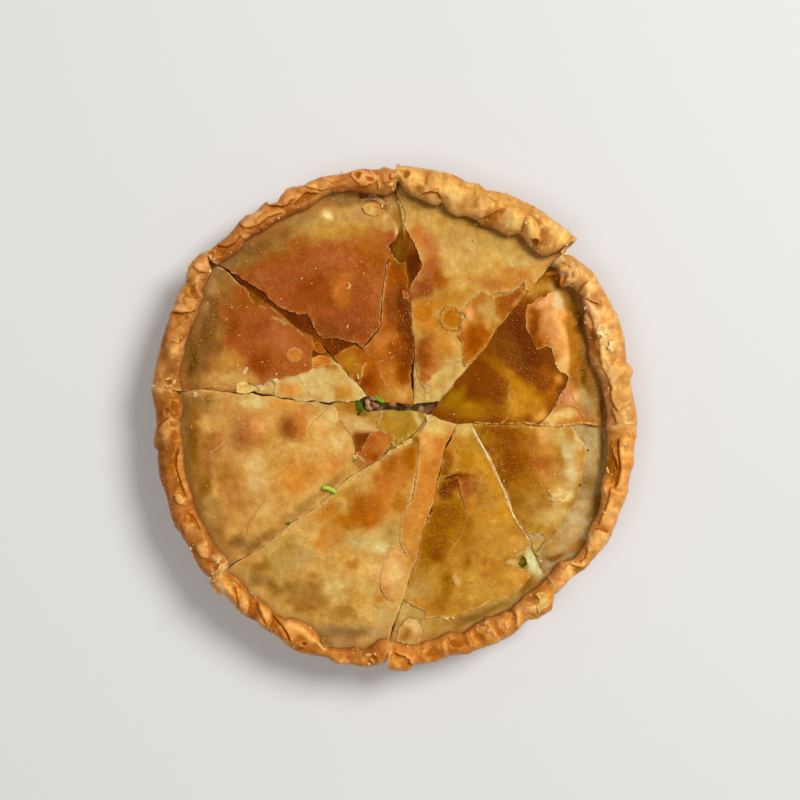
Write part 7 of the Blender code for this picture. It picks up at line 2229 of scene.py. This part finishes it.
def crust_material():
    """Baked pastry: its tint, with toasted clouds, fine flour specks and an oily gloss, which
    is stronger where the tint's fourth value is 1."""
    made, tree, shader, place, tint = tinted("baked_pastry")
    fine, coarse, cloud, broad = (
        add_node(tree, "ShaderNodeTexNoise", Vector=place, Scale=scale, Detail=detail,
                 Roughness=rough).outputs["Fac"]
        for scale, detail, rough in ((900.0, 4.0, 0.6), (260.0, 5.0, 0.62), (75.0, 6.0, 0.66),
                                     (34.0, 3.0, 0.5)))
    speck = add_node(tree, "ShaderNodeTexVoronoi", Vector=place, Scale=1500.0).outputs
    crisp = ramp(tree, 1.0, 0.0, tint["Alpha"])
    toasted = ramp(tree, 0.53, 0.68, cloud)
    light = ramp(tree, 0.47, 0.33, cloud)
    grain = ramp(tree, 0.56, 0.72, fine)
    pitted = ramp(tree, 0.44, 0.30, fine)
    flour = ramp(tree, 0.34, 0.14, speck["Distance"])
    for share in (ramp(tree, 0.48, 0.84, speck["Color"]), ramp(tree, 0.37, 0.55, broad), crisp):
        flour = product(tree, flour, share)
    colour = blend(tree, tint["Color"], toasted, 0.4, (0.66, 0.52, 0.34))
    colour = blend(tree, colour, light, 0.4, (1.34, 1.42, 1.6))
    colour = blend(tree, colour, grain, 0.6, (1.3, 1.4, 1.6))
    colour = blend(tree, colour, pitted, 0.5, (0.7, 0.6, 0.5))
    colour = blend(tree, colour, flour, 0.7, FLOUR, "MIX")
    gloss = add_node(tree, "ShaderNodeMapRange", Value=tint["Alpha"], From_Min=1.0, From_Max=0.0,
                     To_Min=0.30, To_Max=0.44)
    depth = add_node(tree, "ShaderNodeMapRange", Value=crisp, To_Min=0.22, To_Max=0.55)
    rough = add_node(tree, "ShaderNodeBump", Strength=depth.outputs["Result"],
                     Distance=0.45 * MM, Height=coarse)
    finer = add_node(tree, "ShaderNodeBump", Strength=depth.outputs["Result"],
                     Distance=0.30 * MM, Height=fine, Normal=rough.outputs["Normal"])
    feed_all(shader, Base_Color=colour, Roughness=gloss.outputs["Result"],
             Normal=finer.outputs["Normal"], Specular_IOR_Level=0.42,
             Specular_Tint=(1.0, 0.56, 0.02, 1.0), Subsurface_Weight=0.22,
             Subsurface_Radius=(1.0, 0.42, 0.12), Subsurface_Scale=1.1 * MM)
    return made


def moist_material(name, grain, spots, veil, relief, roughness, highlights):
    """A material that takes its tint, multiplied by a veil at spots of a fine grain."""
    made, tree, shader, place, tint = tinted(name)
    fine = add_node(tree, "ShaderNodeTexNoise", Vector=place, Scale=grain[0], Detail=grain[1],
                    Roughness=0.6).outputs["Fac"]
    rough = add_node(tree, "ShaderNodeBump", Strength=relief[0], Distance=relief[1] * MM,
                     Height=fine)
    colour = blend(tree, tint["Color"], ramp(tree, *spots, fine), 0.6, veil)
    feed_all(shader, Base_Color=colour, Roughness=roughness, Normal=rough.outputs["Normal"],
             Specular_IOR_Level=highlights[0], Specular_Tint=(*highlights[1], 1.0))
    return made


def stage():
    """A plain pale floor, soft light and the camera straight above."""
    bpy.ops.mesh.primitive_plane_add(size=4.0)
    floor = bpy.context.object
    floor.name = "floor"
    made, _, shader = nodes_of("pale_floor")
    feed_all(shader, Base_Color=(0.80, 0.79, 0.77, 1), Roughness=0.7)
    floor.data.materials.append(made)
    for name, place, size, power in LIGHTS:
        lamp = bpy.data.lights.new(name, "AREA")
        lamp.shape = "DISK"
        lamp.size = size
        lamp.energy = power
        made = bpy.data.objects.new(name, lamp)
        made.location = place
        made.rotation_euler = (-Vector(place)).to_track_quat("-Z", "Y").to_euler()
        bpy.context.scene.collection.objects.link(made)
    world = bpy.data.worlds.new("room")
    world.use_nodes = True
    feed_all(world.node_tree.nodes["Background"], Color=(1, 0.99, 0.97, 1), Strength=ROOM_LIGHT)
    bpy.context.scene.world = world
    bpy.context.scene.view_settings.view_transform = "Standard"
    lens = bpy.data.cameras.new("camera")
    lens.sensor_width = SENSOR_WIDTH
    lens.lens = SENSOR_WIDTH * CAMERA_HEIGHT / (PHOTO_SIDE * PIXEL * MM)
    camera = bpy.data.objects.new("camera", lens)
    x, y = at((PHOTO_SIDE / 2, PHOTO_SIDE / 2))[0] * MM
    camera.location = (x, y, IN_VIEW_Z + CAMERA_HEIGHT)
    bpy.context.scene.collection.objects.link(camera)
    bpy.context.scene.camera = camera


def main():
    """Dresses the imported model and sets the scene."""
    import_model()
    crust = crust_material()
    meat = moist_material("lamb_filling", **FILLING_LOOK)
    crusts = {}
    for number in range(1, len(SLICES) + 1):
        crusts[number] = pastry(number, crust)
        filling(number, meat)
    herbs(crusts, moist_material("fresh_herbs", **HERB_LOOK))
    stage()


main()
